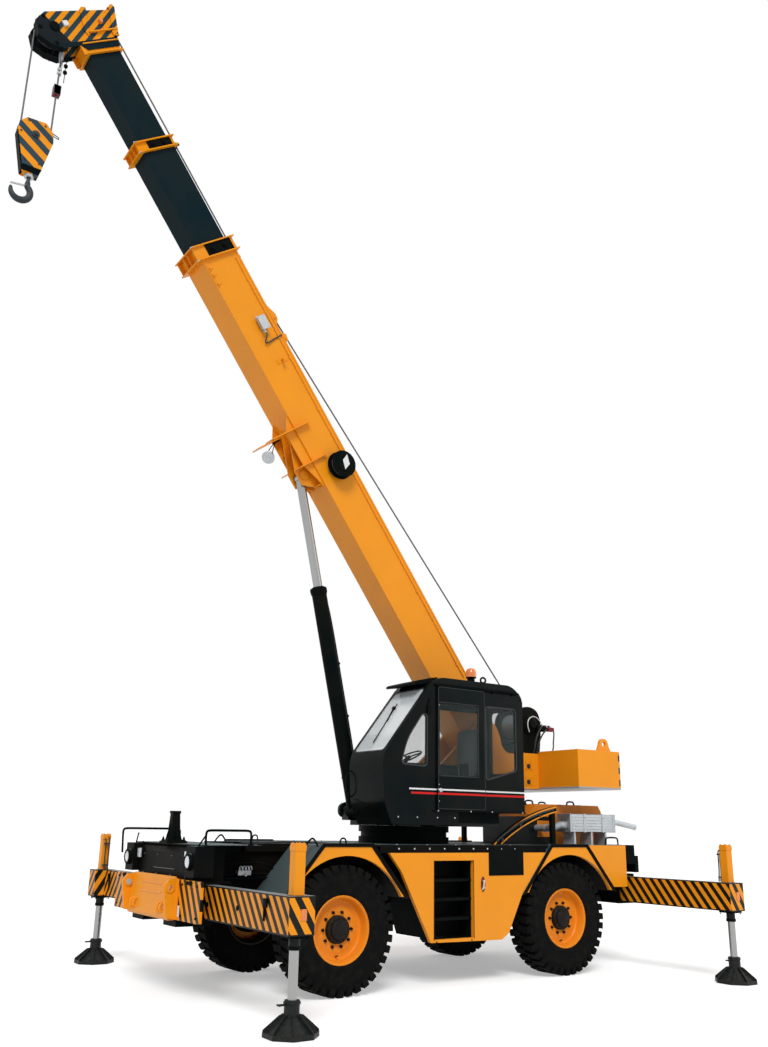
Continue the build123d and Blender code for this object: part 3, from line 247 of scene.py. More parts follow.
# %% Striped paints
def striped(name, slope, pitch, dark=BLACK, share=0.5):
    """Paint with slanting stripes; slope(x, y, z, facing) gives the distance across them."""
    finish = Finish(name, Coat_Weight=0.02, Coat_Roughness=0.15, Specular_IOR_Level=0.16)
    x, y, z = finish.split(finish.place())
    turn = (slope(finish, x, y, z) / pitch).math("FRACT")
    dark_band = turn.below(share)
    colour = finish.blend(dark_band, YELLOW, dark)
    return sprayed(finish, colour, 0.38, 0.03)


def beam_slope(finish, x, y, z):
    """Across the machine on the beams' long faces, along it on their end faces."""
    side = y.math("SIGN")
    end_face = finish.facing()[1].size().above(0.7)
    long_way = y * side + z * 0.8 + 3.0
    end_way = x - z * side * 0.62 + 9.0
    return long_way * (1.0 - end_face) + end_way * end_face


BEAM_FOOT, BEAM_TOP = 0.834, 1.172
BEAM_EDGE = (BEAM_FOOT + 0.014, BEAM_TOP - 0.012)
print("beams painted between", BEAM_EDGE)

# %% [markdown]
# The head and the block are painted in wider bands of yellow and a dark blue. Their plates stand
# upright, so the stripes run in x and z, leaning one way on the head and the other on the block.

# %% Head and block stripes
NAVY = (0.02, 0.048, 0.066)
block_stripes = striped("block_stripes", lambda f, x, y, z: x * 0.75 + z + 20.0, 0.215, dark=NAVY)
print("block bands painted")

# %% [markdown]
# ## Metals
# Bare steel differs by how it was worked. A ground piston rod is a mirror with fine rings round it,
# zinc plate has faint crystals, forged parts are dull and dark, and rope is greasy wire.

# %% Steel finishes
chrome = Finish("chrome_rod", Metallic=1.0, Coat_Weight=0.0)
chrome_rings = chrome.cloud(900.0, 1.0, (0.02, 0.02, 1))
chrome_tone = chrome.blend(chrome_rings * 0.25, (0.36, 0.365, 0.36), (0.2, 0.21, 0.215))
chrome_rod = chrome.set(Base_Color=chrome_tone, Roughness=0.2 + chrome.cloud(30.0) * 0.14)

zinc = Finish("galvanised", Metallic=0.55)
crystals = zinc.node("ShaderNodeTexVoronoi", {}, {"Vector": zinc.place(), "Scale": 55.0}, "Color")
zinc_tone = zinc.split(crystals)[0]
galvanised = zinc.set(Base_Color=zinc.blend(zinc_tone * 0.5, (0.52, 0.55, 0.57), (0.36, 0.39, 0.41)),
                      Roughness=0.38 + zinc_tone * 0.14)
zinc.bump(zinc.cloud(60.0), 0.15, 0.001)

forged = Finish("forged_steel", Metallic=0.35, Specular_IOR_Level=0.4)
forged.bump(forged.cloud(90.0, 4.0), 0.5, 0.0015)
cast_steel = forged.set(Base_Color=forged.blend(forged.cloud(14.0, 4.0).ramp(0.4, 0.75) * 0.6,
                                                (0.02, 0.026, 0.03), (0.055, 0.058, 0.06)),
                        Roughness=0.48 + forged.cloud(40.0) * 0.2)

bolt = Finish("bolt_steel", Metallic=0.8)
bolt_steel = bolt.set(Base_Color=bolt.blend(bolt.cloud(60.0), (0.3, 0.3, 0.29), (0.14, 0.13, 0.12)),
                      Roughness=0.38 + bolt.cloud(80.0) * 0.2)
print("steel finishes made")

# %% [markdown]
# Rope is laid from strands that cross it on a slant. On a hanging rope the strands can be drawn by a
# sawtooth of height and angle; bump makes each strand round.

# %% Wire rope
def rope_finish(name, along):
    """Wire rope whose strands slant across; along(x, y, z) is the distance down the rope."""
    rope = Finish(name, Metallic=0.7, Specular_IOR_Level=0.5)
    x, y, z = rope.split(rope.place())
    strand = ((along(x, y, z) * 46.0 + y * 30.0).math("FRACT") - 0.5).size() * 2.0
    rope.bump(strand, 0.9, 0.003)
    # The grooves between strands are painted darker than the crowns: painted shade.
    return rope.set(Base_Color=rope.blend(strand, (0.045, 0.045, 0.05), (0.2, 0.2, 0.21)),
                    Roughness=0.42 + strand * 0.1)


fall_rope = rope_finish("fall_rope", lambda x, y, z: z)
boom_rope = rope_finish("boom_rope", lambda x, y, z: z * 0.8052 - x * 0.593)
print("rope finishes made")

# %% [markdown]
# ## Rubber, plastic, glass and cloth
# Tyre rubber is matt and dusty in its hollows. Window glass is faintly green and mostly clear, with a
# sharp shine. The seat's cloth is a plain weave, drawn by two crossed waves.

# %% Soft and clear finishes
tread = Finish("tyre_rubber", Specular_IOR_Level=0.03)
mud = tread.cloud(11.0, 5.0).ramp(0.45, 0.8)
tread.bump(tread.cloud(160.0, 3.0), 0.35, 0.0012)
tyre_rubber = tread.set(Base_Color=tread.blend(mud * 0.42, (0.005, 0.0054, 0.0056), (0.026, 0.022, 0.016)),
                        Roughness=0.72 + mud * 0.2)

seal = Finish("rubber_seal", Specular_IOR_Level=0.35)
seal.bump(seal.cloud(300.0), 0.2, 0.0005)
rubber_seal = seal.set(Base_Color=seal.blend(seal.cloud(20.0) * 0.4, (0.018, 0.021, 0.022),
                                             (0.05, 0.052, 0.052)), Roughness=0.5 + seal.cloud(40.0) * 0.2)

pane = Finish("window_glass", Roughness=0.04, IOR=1.45, Specular_IOR_Level=0.6)
streaks = pane.cloud(5.0, 3.0, (1, 1, 0.4)).ramp(0.4, 0.9)
# The windscreen, which faces forward, is painted pale grey and made less clear: a painted reflection of the
# sky.
windscreen_sky_reflection = pane.facing()[0].below(-0.45) * pane.split(pane.place())[0].below(1.0)
side_tone = pane.blend(streaks * 0.3, (0.035, 0.06, 0.055), (0.11, 0.14, 0.13))
window_glass = pane.set(Base_Color=pane.blend(windscreen_sky_reflection, side_tone, (0.66, 0.71, 0.72)),
                        Alpha=0.15 + streaks * 0.06 + windscreen_sky_reflection * 0.45)
window_glass.surface_render_method = "BLENDED"

lens = Finish("lamp_lens", Roughness=0.06, Specular_IOR_Level=0.8, Coat_Weight=0.6)
flutes = (lens.split(lens.place())[1] * 90.0).math("FRACT")
lens.bump((flutes - 0.5).size(), 0.5, 0.002)
# Each flute is painted from darker to lighter across its width: a painted highlight on every flute.
lamp_lens = lens.set(Base_Color=lens.blend(flutes.ramp(0.2, 0.9) * 0.7, (0.52, 0.58, 0.62),
                                           (0.8, 0.84, 0.86)), Metallic=0.35)

amber = Finish("amber_lens", Roughness=0.12, Specular_IOR_Level=0.7, Coat_Weight=0.5)
ribs = (amber.split(amber.place())[2] * 120.0).math("FRACT")
amber.bump((ribs - 0.5).size(), 0.4, 0.002)
# Each rib is painted from a darker to a lighter amber across it: painted shade and highlight on every rib.
amber_lens = amber.set(Base_Color=amber.blend(ribs.ramp(0.3, 0.8), (0.62, 0.105, 0.006), (0.9, 0.27, 0.02)))

cloth = Finish("seat_fabric", Specular_IOR_Level=0.2)
cx, cy, cz = cloth.split(cloth.place())
warp = ((cy * 420.0).math("FRACT") - 0.5).size()
weft = (((cx + cz) * 420.0).math("FRACT") - 0.5).size()
cloth.bump(warp + weft, 0.5, 0.001)
seat_fabric = cloth.set(Base_Color=cloth.blend(cloth.cloud(25.0) * 0.6 + warp * weft, (0.055, 0.058, 0.062),
                                               (0.16, 0.165, 0.17)),
                        Roughness=0.9 - cloth.cloud(60.0) * 0.12)
print("soft and clear finishes made")

# %% [markdown]
# ## The studio
# The photograph was cut out on white, with a soft shadow under the machine. A pale floor and a pale
# world give that. The camera, mirrors and glass see them brighter than they light the crane, so colours
# stay as they are written. One broad lamp stands for the open sky on the camera's side, and a weak one fills.

# %% Floor, backdrop and lamps
floor_shape = bmesh.new()
bmesh.ops.create_circle(floor_shape, cap_ends=True, segments=96, radius=140)
floor_mesh = bpy.data.meshes.new("studio_floor")
floor_shape.to_mesh(floor_mesh)
floor_shape.free()
studio_floor = bpy.data.objects.new("studio_floor", floor_mesh)
bpy.context.scene.collection.objects.link(studio_floor)

ground = Finish("studio_paper", Roughness=0.95, Specular_IOR_Level=0.0)
seen = ground.node("ShaderNodeLightPath", {}, {}, "Is Camera Ray")
mirrored = ground.node("ShaderNodeLightPath", {}, {}, "Is Glossy Ray")
through = ground.node("ShaderNodeLightPath", {}, {}, "Is Transmission Ray")
ground.set(Base_Color=ground.blend(ground.cloud(0.6), (0.86, 0.86, 0.86), (0.88, 0.88, 0.88)),
           Emission_Strength=(seen + mirrored + through).math("MINIMUM", 1.0) * 0.36,
           Emission_Color=(1, 1, 1))
floor_mesh.materials.append(ground.material)

world = bpy.data.worlds.new("studio_world")
bpy.context.scene.world = world
world.use_nodes = True
sky = world.node_tree
rays = sky.nodes.new("ShaderNodeLightPath")
direct = sky.nodes.new("ShaderNodeMath")
either = sky.nodes.new("ShaderNodeMath")
direct.operation = either.operation = "MAXIMUM"
sky.links.new(rays.outputs["Is Camera Ray"], direct.inputs[0])
sky.links.new(rays.outputs["Is Transmission Ray"], direct.inputs[1])
sky.links.new(direct.outputs[0], either.inputs[0])
sky.links.new(rays.outputs["Is Glossy Ray"], either.inputs[1])
level = sky.nodes.new("ShaderNodeMapRange")
level.inputs[3].default_value = 0.46
level.inputs[4].default_value = 1.0
sky.links.new(either.outputs[0], level.inputs[0])
sky.nodes["Background"].inputs[0].default_value = (1, 1, 1, 1)
sky.links.new(level.outputs[0], sky.nodes["Background"].inputs[1])


def lamp(name, aim, strength, angle):
    """A far soft lamp that shines along aim."""
    sun = bpy.data.lights.new(name, "SUN")
    sun.energy, sun.angle = strength, math.radians(angle)
    holder = bpy.data.objects.new(name, sun)
    holder.matrix_world = Vector(aim).to_track_quat("-Z", "Y").to_matrix().to_4x4()
    bpy.context.scene.collection.objects.link(holder)


lamp("key_light", (0.42, 0.62, -0.7), 2.0, 22)
lamp("fill_light", (-0.75, 0.35, -0.35), 0.45, 60)
bpy.context.scene.view_settings.view_transform = "Standard"
print("studio ready")

# %% [markdown]
# ## The cab's paint
# The cab is glossy black with two thin lines along its side, white above red, which start behind the
# nose and run to the rear corner. Lines that run level are two bands of height, kept to the side that
# carries them. The same paint goes on the door, so the lines meet across the gap.

# %% Cab paint with its two lines
cab_low, cab_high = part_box("cab_body")
LINE_START = 0.515
WHITE_LINE, RED_LINE = (2.229, 2.248), (2.178, 2.202)


def lined(name):
    finish = Finish(name, Coat_Weight=0.1, Coat_Roughness=0.06, Specular_IOR_Level=0.025)
    x, y, z = finish.split(finish.place())
    side = y.below(cab_low.y + 0.1) * finish.facing()[1].below(-0.6)
    white_line = z.between(*WHITE_LINE) * side * x.above(LINE_START)
    red_line = z.between(*RED_LINE) * side * x.above(LINE_START + 0.03)
    colour = finish.blend(white_line, (0.0009, 0.0042, 0.0048), (0.74, 0.75, 0.75))
    colour = finish.blend(red_line, colour, (0.62, 0.018, 0.016))
    return sprayed(finish, colour, 0.22, 0.015, 0.15)


cab_lined = lined("cab_lined")
print("lines at heights", WHITE_LINE[0], "and", RED_LINE[0], "from x", LINE_START)

# %% [markdown]
# ## The counterweight's paint
# The counterweight is yellow, with warning stripes only on its slanting rear corners and its back, and
# a thin grey line along its foot. The corner is found by its facing, the line by its height.

# %% Counterweight paint
weight_low, weight_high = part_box("counterweight")
weight = Finish("counterweight_paint", Coat_Weight=0.03, Coat_Roughness=0.12, Specular_IOR_Level=0.18)
wx, wy, wz = weight.split(weight.place())
wfx, wfy, _ = weight.facing()
corner = wfx.above(0.25) * wfx.below(0.95)
rear_band = wfx.above(0.95) * wy.size().above(0.78)
turns = ((wy * wy.math("SIGN") + wz * 1.1 + 9.0) / 0.19).math("FRACT").below(0.5)
end_strip = wx.above(4.215) * wfy.size().above(0.7)
weight_colour = weight.blend((corner + rear_band + end_strip).math("MINIMUM", 1.0) * turns, YELLOW, BLACK)
foot_line = wz.below(weight_low.z + 0.022)
weight_colour = weight.blend(foot_line, weight_colour, (0.36, 0.37, 0.37))
counterweight_paint = sprayed(weight, weight_colour, 0.32, 0.05)
print("counterweight from", round(weight_low.x, 3), "to", round(weight_high.x, 3))

# %% [markdown]
# ## Housings, deck and steps
# The wheel housings and the deck's edge are black outside. Their tops and the sloping mudguards in
# front get a painted reflection of the sky in pale grey, so the paint is chosen by facing: what looks up is
# grey.

# %% Black plates with a painted reflection on top
PLATE_BLACK = (0.0024, 0.0034, 0.0036)
COWL_BLACK = (0.0022, 0.0036, 0.004)
PAINTED_REFLECTION_GREY = (0.062, 0.088, 0.094)


def top_reflection_paint(name, side_colour, limit):
    finish = Finish(name, Specular_IOR_Level=0.025)
    # What faces up is painted pale grey: a painted reflection of the sky.
    top = finish.facing()[2].above(limit)
    return sprayed(finish, finish.blend(top, side_colour, PAINTED_REFLECTION_GREY), 0.42, 0.04)


housing_paint = top_reflection_paint("housing_paint", PLATE_BLACK, 0.3)
deck_edge_paint = top_reflection_paint("deck_edge_paint", PLATE_BLACK, 0.8)
cowl_paint = top_reflection_paint("cowl_paint", COWL_BLACK, 0.8)
print("two-tone plates:", 3)

# %% [markdown]
# ## Yellow and black in one part
# Some solids carry two colours: a beam and its yellow jack tube, a tip section and its yellow end
# collar, a bumper and its striped ends. Each gets one material that chooses by place.

# %% Parts with two colours
beam = Finish("outrigger_paint", Coat_Weight=0.02, Coat_Roughness=0.15, Specular_IOR_Level=0.16)
bx, by, bz = beam.split(beam.place())
across = beam_slope(beam, bx, by, bz)
pitch = 0.136 + beam.facing()[1].size().above(0.7) * 0.01
stripe = (across / pitch).math("FRACT").below(0.5)
rim_band = bz.below(BEAM_EDGE[0]) + bz.above(BEAM_EDGE[1])
flat = beam.facing()[2].size().above(0.7)
dark = (stripe + rim_band + flat).math("MINIMUM", 1.0) * bz.below(BEAM_TOP + 0.004)
dark = (dark + bz.below(BEAM_FOOT - 0.002)).math("MINIMUM", 1.0)
beam_colour = beam.blend(dark, YELLOW, BLACK)
beam_top = beam.facing()[2].above(0.7) * bz.below(BEAM_TOP + 0.008) * bz.above(BEAM_TOP - 0.012)
beam_colour = beam.blend(beam_top, beam_colour, (0.19, 0.215, 0.215))
outrigger_paint = sprayed(beam, beam_colour, 0.38, 0.03)

STRIPED_END = 0.68
bump_low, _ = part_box("front_bumper")
front = Finish("bumper_paint", Coat_Weight=0.02, Coat_Roughness=0.15, Specular_IOR_Level=0.16)
px, py, pz = front.split(front.place())
slant = ((py * py.math("SIGN") + pz * 0.62 + 3.0) / 0.142).math("FRACT").below(0.5)
outer_end = py.size().above(STRIPED_END)
front_colour = front.blend(slant * outer_end, YELLOW, BLACK)
front_colour = front.blend(px.above(bump_low.x + 0.19), front_colour, BLACK)
bumper_paint = sprayed(front, front_colour, 0.36, 0.03)
print("bumper stripes outside y", STRIPED_END)

# %% [markdown]
# The wheel's disc is yellow outside; behind it the rim is painted dark as painted shade. The turntable is
# black round the boom's foot and yellow on the cheeks that stand behind the cab, and the hood is black
# low down in front. Place tells them apart.

# %% Rims, hood and turntable
DISC_BACK = 1.085
HOOD_DARK_TOP, HOOD_DARK_END = 1.955, 3.4
CHEEK_START, CHEEK_FOOT = 1.3, 2.02
wheel = Finish("rim_paint", Coat_Weight=0.03, Coat_Roughness=0.12, Specular_IOR_Level=0.18)
# Behind the disc the rim is painted near black: painted shade.
painted_shade_inside = wheel.split(wheel.place())[1].size().below(DISC_BACK)
rim_paint = sprayed(wheel, wheel.blend(painted_shade_inside, (0.8, 0.245, 0.01), (0.01, 0.008, 0.007)), 0.36, 0.05)

cover = Finish("hood_by_place", Coat_Weight=0.02, Coat_Roughness=0.15, Specular_IOR_Level=0.18)
hx, _, hz = cover.split(cover.place())
low_front = hz.below(HOOD_DARK_TOP) * hx.below(HOOD_DARK_END)
hood_by_place = sprayed(cover, cover.blend(low_front, (0.66, 0.195, 0.006), BLACK), 0.36, 0.08)

table = Finish("turntable_paint", Coat_Weight=0.02, Coat_Roughness=0.15, Specular_IOR_Level=0.16)
tx, _, tz = table.split(table.place())
rear_cheek = tx.above(CHEEK_START) * tz.above(CHEEK_FOOT)
turntable_paint = sprayed(table, table.blend(rear_cheek, BLACK, YELLOW), 0.38, 0.03)
print("rims dark inside y", DISC_BACK, "and turntable yellow behind x", CHEEK_START)

# %% [markdown]
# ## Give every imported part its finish
# Each node keeps its mesh. Only its material slot changes, and a list says which paint goes where.

# %% Assign the finishes
def dress(names, material):
    for name in names:
        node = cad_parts[name]
        if not node.material_slots:
            node.data.materials.append(material)
        for place in node.material_slots:
            place.material = material


def each(stem):
    return [f"{stem}_{corner}" for corner in CORNERS]


CORNERS = ("fl", "fr", "rl", "rr")
dress(["chassis_frame", "outrigger_boxes", "axles", "engine", *each("knuckle")], chassis_paint)
dress(each("outrigger_beam"), outrigger_paint)
dress(["front_bumper"], bumper_paint)
dress(["front_cowl"], cowl_paint)
dress(["side_panels", "boom_base"], yellow_paint)
dress(["wheel_housings"], housing_paint)
dress(["deck"], deck_edge_paint)
dress(["side_tanks", "boom_rest", "grab_rails", "rear_bumper", "hood_guards", "winch", "slewing_ring"],
      black_paint)
dress(["boom_fittings", "lift_barrel"], black_paint)
dress(["engine_hood"], hood_by_place)
dress(["exhaust"], galvanised)
dress(each("rim"), rim_paint)
dress(["turntable"], turntable_paint)
dress(each("tyre"), tyre_rubber)
dress([*each("jack"), "lift_rod"], chrome_rod)
dress(["counterweight"], counterweight_paint)
dress(["cab_body", "cab_door", "cab_roof"], cab_lined)
dress(["cab_glass"], window_glass)
dress(["cab_seat"], seat_fabric)
dress(["head_sheave", "hook"], cast_steel)
dress(["hook_block"], block_stripes)
dress(["hoist_falls"], fall_rope)
print("dressed parts:", sum(bool(n.material_slots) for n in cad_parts.values()))

# %% [markdown]
# ## Words for shapes
# New pieces are made with Blender's own mesh operators. These helpers each add one shape to a mesh in
# the making: a block between two corners, a bar between two points, a plate cut from an outline and a
# ring turned from a profile. `piece` rounds the edges, gives the finish and lets the piece ride a body.

# %% Shape helpers
def turn_to(direction):
    """Matrix that turns +Z to a direction."""
    return Vector(direction).to_track_quat("Z", "Y").to_matrix().to_4x4()


def block(shape, low, high):
    """Block between two corners."""
    low, high = Vector(low), Vector(high)
    middle, size = (low + high) / 2, high - low
    matrix = Matrix.Translation(middle) @ Matrix.Diagonal((*size, 1))
    return bmesh.ops.create_cube(shape, size=1, matrix=matrix)["verts"]


def bar(shape, start, end, radius, sides=20, end_radius=None):
    """Round bar, or cone, between two points."""
    start, end = Vector(start), Vector(end)
    along = end - start
    matrix = Matrix.Translation((start + end) / 2) @ turn_to(along)
    return bmesh.ops.create_cone(shape, cap_ends=True, segments=sides, radius1=radius, radius2=radius
                                 if end_radius is None else end_radius, depth=along.length,
                                 matrix=matrix)["verts"]


def plate(shape, outline, thick):
    """Plate from an outline of points, pushed through by a vector."""
    corners = [shape.verts.new(p) for p in outline]
    face = shape.faces.new(corners)
    pushed = bmesh.ops.extrude_face_region(shape, geom=[face])
    moved = [g for g in pushed["geom"] if isinstance(g, bmesh.types.BMVert)]
    bmesh.ops.translate(shape, verts=moved, vec=Vector(thick))
    return corners + moved


def turned(shape, profile, centre, axis, steps=48):
    """Ring turned from a profile of (radius, along) pairs round an axis."""
    matrix = Matrix.Translation(centre) @ turn_to(axis)
    line = [shape.verts.new(matrix @ Vector((r, 0, a))) for r, a in profile]
    edges = [shape.edges.new(pair) for pair in zip(line, line[1:])]
    made = bmesh.ops.spin(shape, geom=line + edges, cent=centre, axis=Vector(axis).normalized(),
                          angle=math.tau, steps=steps, use_merge=True, use_duplicate=False)
    found = {v for g in made["geom_last"] for v in (g.verts if hasattr(g, "verts") else [g])}
    return line + list(found)


def tube(shape, points, radius, sides=10, closed=False):
    """Bent pipe whose middle runs smoothly through points."""
    route = bpy.data.curves.new("route", "CURVE")
    route.dimensions = "3D"
    route.bevel_depth, route.bevel_resolution, route.use_fill_caps = radius, max(1, sides // 4 - 1), True
    route.resolution_u = 6
    line = route.splines.new("NURBS")
    line.points.add(len(points) - 1)
    for spot, p in zip(line.points, points):
        spot.co = (*p, 1.0)
    line.order_u = 3
    line.use_endpoint_u = not closed
    line.use_cyclic_u = closed
    holder = bpy.data.objects.new("route", route)
    bpy.context.scene.collection.objects.link(holder)
    bpy.context.view_layer.update()
    made = bpy.data.meshes.new_from_object(holder.evaluated_get(bpy.context.evaluated_depsgraph_get()))
    before = len(shape.verts)
    shape.from_mesh(made)
    bpy.data.objects.remove(holder)
    bpy.data.curves.remove(route)
    bpy.data.meshes.remove(made)
    shape.verts.ensure_lookup_table()
    return shape.verts[before:]


def hexagon(shape, centre, axis, across, high):
    """Bolt head, standing out from centre along axis."""
    axis = Vector(axis).normalized()
    return bar(shape, centre, Vector(centre) + axis * high, across / 2, 6)


def button(shape, spot, axis, flat=0.007, radius=0.01, high=0.006):
    """Low round screw head."""
    turned(shape, [(0.001, high), (flat, high - 0.001), (radius, 0.001), (0.001, 0.0)], spot, axis, 14)


def ring_spots(count, radius, axis="Y", lead=0.0):
    """Steps from the middle of a circle to places round it."""
    turns = [Matrix.Rotation(math.tau * k / count + lead, 3, axis) for k in range(count)]
    return [turn @ Vector((0, 0, radius)) for turn in turns]


def piece(shape, name, body, finish, edge=0.0, bend=35, clean=True, closed=True):
    """Finish a mesh in the making as a piece that rides a body, or none when no body is given."""
    if clean:
        bmesh.ops.remove_doubles(shape, verts=shape.verts, dist=1e-5)
    if closed:
        bmesh.ops.recalc_face_normals(shape, faces=shape.faces)
    for face in shape.faces:
        face.smooth = True
    for line in shape.edges:
        line.smooth = len(line.link_faces) == 2 and line.calc_face_angle(0.0) < math.radians(bend)
    mesh = bpy.data.meshes.new(name)
    shape.to_mesh(mesh)
    shape.free()
    mesh.materials.append(finish)
    made = bpy.data.objects.new(name, mesh)
    bpy.context.scene.collection.objects.link(made)
    if edge:
        rounding = made.modifiers.new("edges", "BEVEL")
        rounding.width, rounding.segments, rounding.limit_method = edge, 2, "ANGLE"
        rounding.angle_limit = math.radians(bend)
        rounding.harden_normals = True
    if body:
        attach(made, body)
    return made


print("shape words ready")

# %% [markdown]
# ## Tyres
# An earth-mover tyre is a thick ring with deep lugs that wrap over its shoulders, so it claws in mud.
# The ring is turned from half a profile and its mirror. One lug is cut as two plates, one on the tread
# and one down the side, and copied round, each side half a step behind the other.

# %% Tyre measures
WHEELS = {}
for corner in CORNERS:
    low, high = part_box(f"tyre_{corner}")
    WHEELS[corner] = ((low + high) / 2, 1 if low.y > 0 else -1)
TYRE_R = (high.z - low.z) / 2
TYRE_HALF = (high.y - low.y) / 2
LUGS = 36
SIDE = [(0.3455, 0.157), (0.361, 0.1575), (0.369, 0.17), (0.395, 0.176), (0.402, 0.1805), (0.41, 0.177),
        (0.47, 0.1815), (0.53, 0.1825), (0.538, 0.1845), (0.546, 0.1825), (0.6, 0.176), (0.636, 0.16),
        (0.651, 0.135), (0.655, 0.08)]
print("tyre radius", round(TYRE_R, 3), "half width", round(TYRE_HALF, 3))

# %% [markdown]
# Deep lugs can't be painted on, because they show in the tyre's outline. All 72 are cut from the same
# two plates, so one function makes a lug at the top of the tyre and turns it round to its place.

# %% One tyre at the origin
def lug(shape, side, turn):
    """One lug on one side of the tyre, turned to its place."""
    base = TYRE_R - 0.038
    tread_cut = [(0.006, -0.02), (0.095, -0.04), (0.176, -0.044), (0.182, 0.038), (0.095, 0.038),
                 (0.006, 0.046)]
    side_cut = [(0.585, -0.026), (0.655, -0.043), (0.655, 0.036), (0.585, 0.02)]
    made = plate(shape, [(t, side * a, base) for a, t in tread_cut], (0, 0, 0.0365))
    made += plate(shape, [(t, side * 0.16, r) for r, t in side_cut], (0, side * 0.0235, 0))
    for v in made:
        if v.co.z > base + 0.03:
            v.co.x *= 0.94
    bmesh.ops.rotate(shape, verts=made, cent=(0, 0, 0), matrix=Matrix.Rotation(turn, 3, "Y"))


tyre_shape = bmesh.new()
profile = SIDE + [(r, -a) for r, a in reversed(SIDE)] + [SIDE[0]]
turned(tyre_shape, profile, (0, 0, 0), (0, 1, 0), 72)
for k in range(LUGS):
    lug(tyre_shape, 1, math.tau * (k + 0.5) / LUGS)
    lug(tyre_shape, -1, math.tau * k / LUGS)
bmesh.ops.remove_doubles(tyre_shape, verts=tyre_shape.verts, dist=1e-5)
bmesh.ops.recalc_face_normals(tyre_shape, faces=tyre_shape.faces)
print("tyre faces", len(tyre_shape.faces))

# %% [markdown]
# The four tyres are alike, so one mesh is built at the origin, copied, and moved to each wheel. Each
# copy rides its own wheel and takes the place of the plain ring that came packed.

# %% Four tyres
for corner, (centre, side) in WHEELS.items():
    copy = tyre_shape.copy()
    bmesh.ops.translate(copy, verts=copy.verts, vec=centre)
    tyre = piece(copy, f"lugged_tyre_{corner}", f"wheel_{corner}", tyre_rubber, edge=0.005, bend=40)
    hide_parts(f"tyre_{corner}")
tyre_shape.free()
print("tyres fitted:", len(WHEELS))

# %% [markdown]
# ## Rims, hubs and nuts
# The rim is a pressed and welded ring with a lock ring at its outer lip and a dished disc inside. The
# planet hub stands out of its middle, black, with a ring of small bolts. Ten dark nuts hold the disc.

# %% Rim and hub profiles
RIM = [(0.3445, 0.157), (0.361, 0.1575), (0.3625, 0.166), (0.358, 0.1715), (0.351, 0.171), (0.346, 0.163),
       (0.338, 0.161), (0.334, 0.152), (0.323, 0.12), (0.317, 0.062), (0.306, 0.05), (0.275, 0.044),
       (0.24, 0.056), (0.215, 0.06), (0.15, 0.06), (0.15, 0.022), (0.23, 0.022), (0.298, 0.03),
       (0.306, -0.1), (0.33, -0.157), (0.346, -0.171), (0.361, -0.17), (0.361, -0.1575), (0.3445, -0.157),
       (0.3445, 0.157)]
HUB = [(0.001, 0.15), (0.06, 0.15), (0.068, 0.146), (0.1, 0.142), (0.106, 0.136), (0.11, 0.112),
       (0.134, 0.11), (0.143, 0.104), (0.148, 0.092), (0.15, 0.06), (0.15, 0.024), (0.063, 0.024),
       (0.001, 0.1)]
print("rim points", len(RIM), "hub points", len(HUB))

# %% [markdown]
# Everything on a wheel stands round its axle, so rings are turned from profiles and bolts are set on
# circles. The axis points outward on both sides, so the same numbers serve left and right.

# %% Four rims with hubs and nuts
hub_paint = paint("hub_paint", (0.0055, 0.005, 0.0048), 0.5, 0.04, 0.0, 0.12)
for corner, (centre, side) in WHEELS.items():
    axis = Vector((0, side, 0))
    rim = bmesh.new()
    turned(rim, RIM, centre, axis, 72)
    rim_piece = piece(rim, f"dished_rim_{corner}", f"wheel_{corner}", rim_paint, bend=30)
    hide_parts(f"rim_{corner}")
    hub = bmesh.new()
    turned(hub, HUB, centre, axis, 48)
    for spot in ring_spots(10, 0.186, lead=math.tau / 20):
        hexagon(hub, centre + spot + axis * 0.058, axis, 0.036, 0.024)
        bar(hub, centre + spot + axis * 0.078, centre + spot + axis * 0.094, 0.01, 10)
    for spot in ring_spots(12, 0.124):
        hexagon(hub, centre + spot + axis * 0.108, axis, 0.016, 0.01)
    for spot in ring_spots(3, 0.083):
        hexagon(hub, centre + spot + axis * 0.143, axis, 0.018, 0.008)
    low_spot = centre + Vector((0, 0, -0.285)) + axis * 0.046
    bar(hub, low_spot, low_spot + axis * 0.05 + Vector((0, 0, 0.02)), 0.007, 10)
    piece(hub, f"hub_{corner}", f"wheel_{corner}", hub_paint, edge=0.0015, clean=False)
    drum = bmesh.new()
    turned(drum, [(0.07, 0.02), (0.215, 0.02), (0.222, 0.012), (0.222, -0.075), (0.2, -0.085),
                  (0.07, -0.085), (0.07, 0.02)], centre, axis, 40)
    piece(drum, f"brake_drum_{corner}", f"wheel_{corner}", chassis_paint)
print("rims fitted:", len(WHEELS))

# %% [markdown]
# ## Under the carrier
# Behind the wheels are the things that steer and drive them: a track rod with its ends, a steering
# cylinder, and the shafts that bring power from the gearbox. They show in the gaps between the tyres.

# %% Track rods and shafts
for name in ("front", "rear"):
    corner = "fl" if name == "front" else "rl"
    x = WHEELS[corner][0].x
    behind = x + (0.3 if name == "front" else -0.3)
    under = bmesh.new()
    bar(under, (behind, -0.55, 0.62), (behind, 0.55, 0.62), 0.022, 16)
    bar(under, (behind, -0.3, 0.71), (behind, 0.2, 0.71), 0.038, 20)
    bar(under, (behind, 0.2, 0.71), (behind, 0.45, 0.71), 0.018, 14)
    for y in (-0.55, 0.55):
        bmesh.ops.create_uvsphere(under, u_segments=14, v_segments=8, radius=0.036,
                                  matrix=Matrix.Translation((behind, y, 0.62)))
    block(under, (min(x, behind), -0.34, 0.66), (max(x, behind), -0.3, 0.76))
    piece(under, f"steering_gear_{name}", "carrier", chassis_paint, edge=0.003, clean=False)
shaft = bmesh.new()
front_x, rear_x = WHEELS["fl"][0].x, WHEELS["rl"][0].x
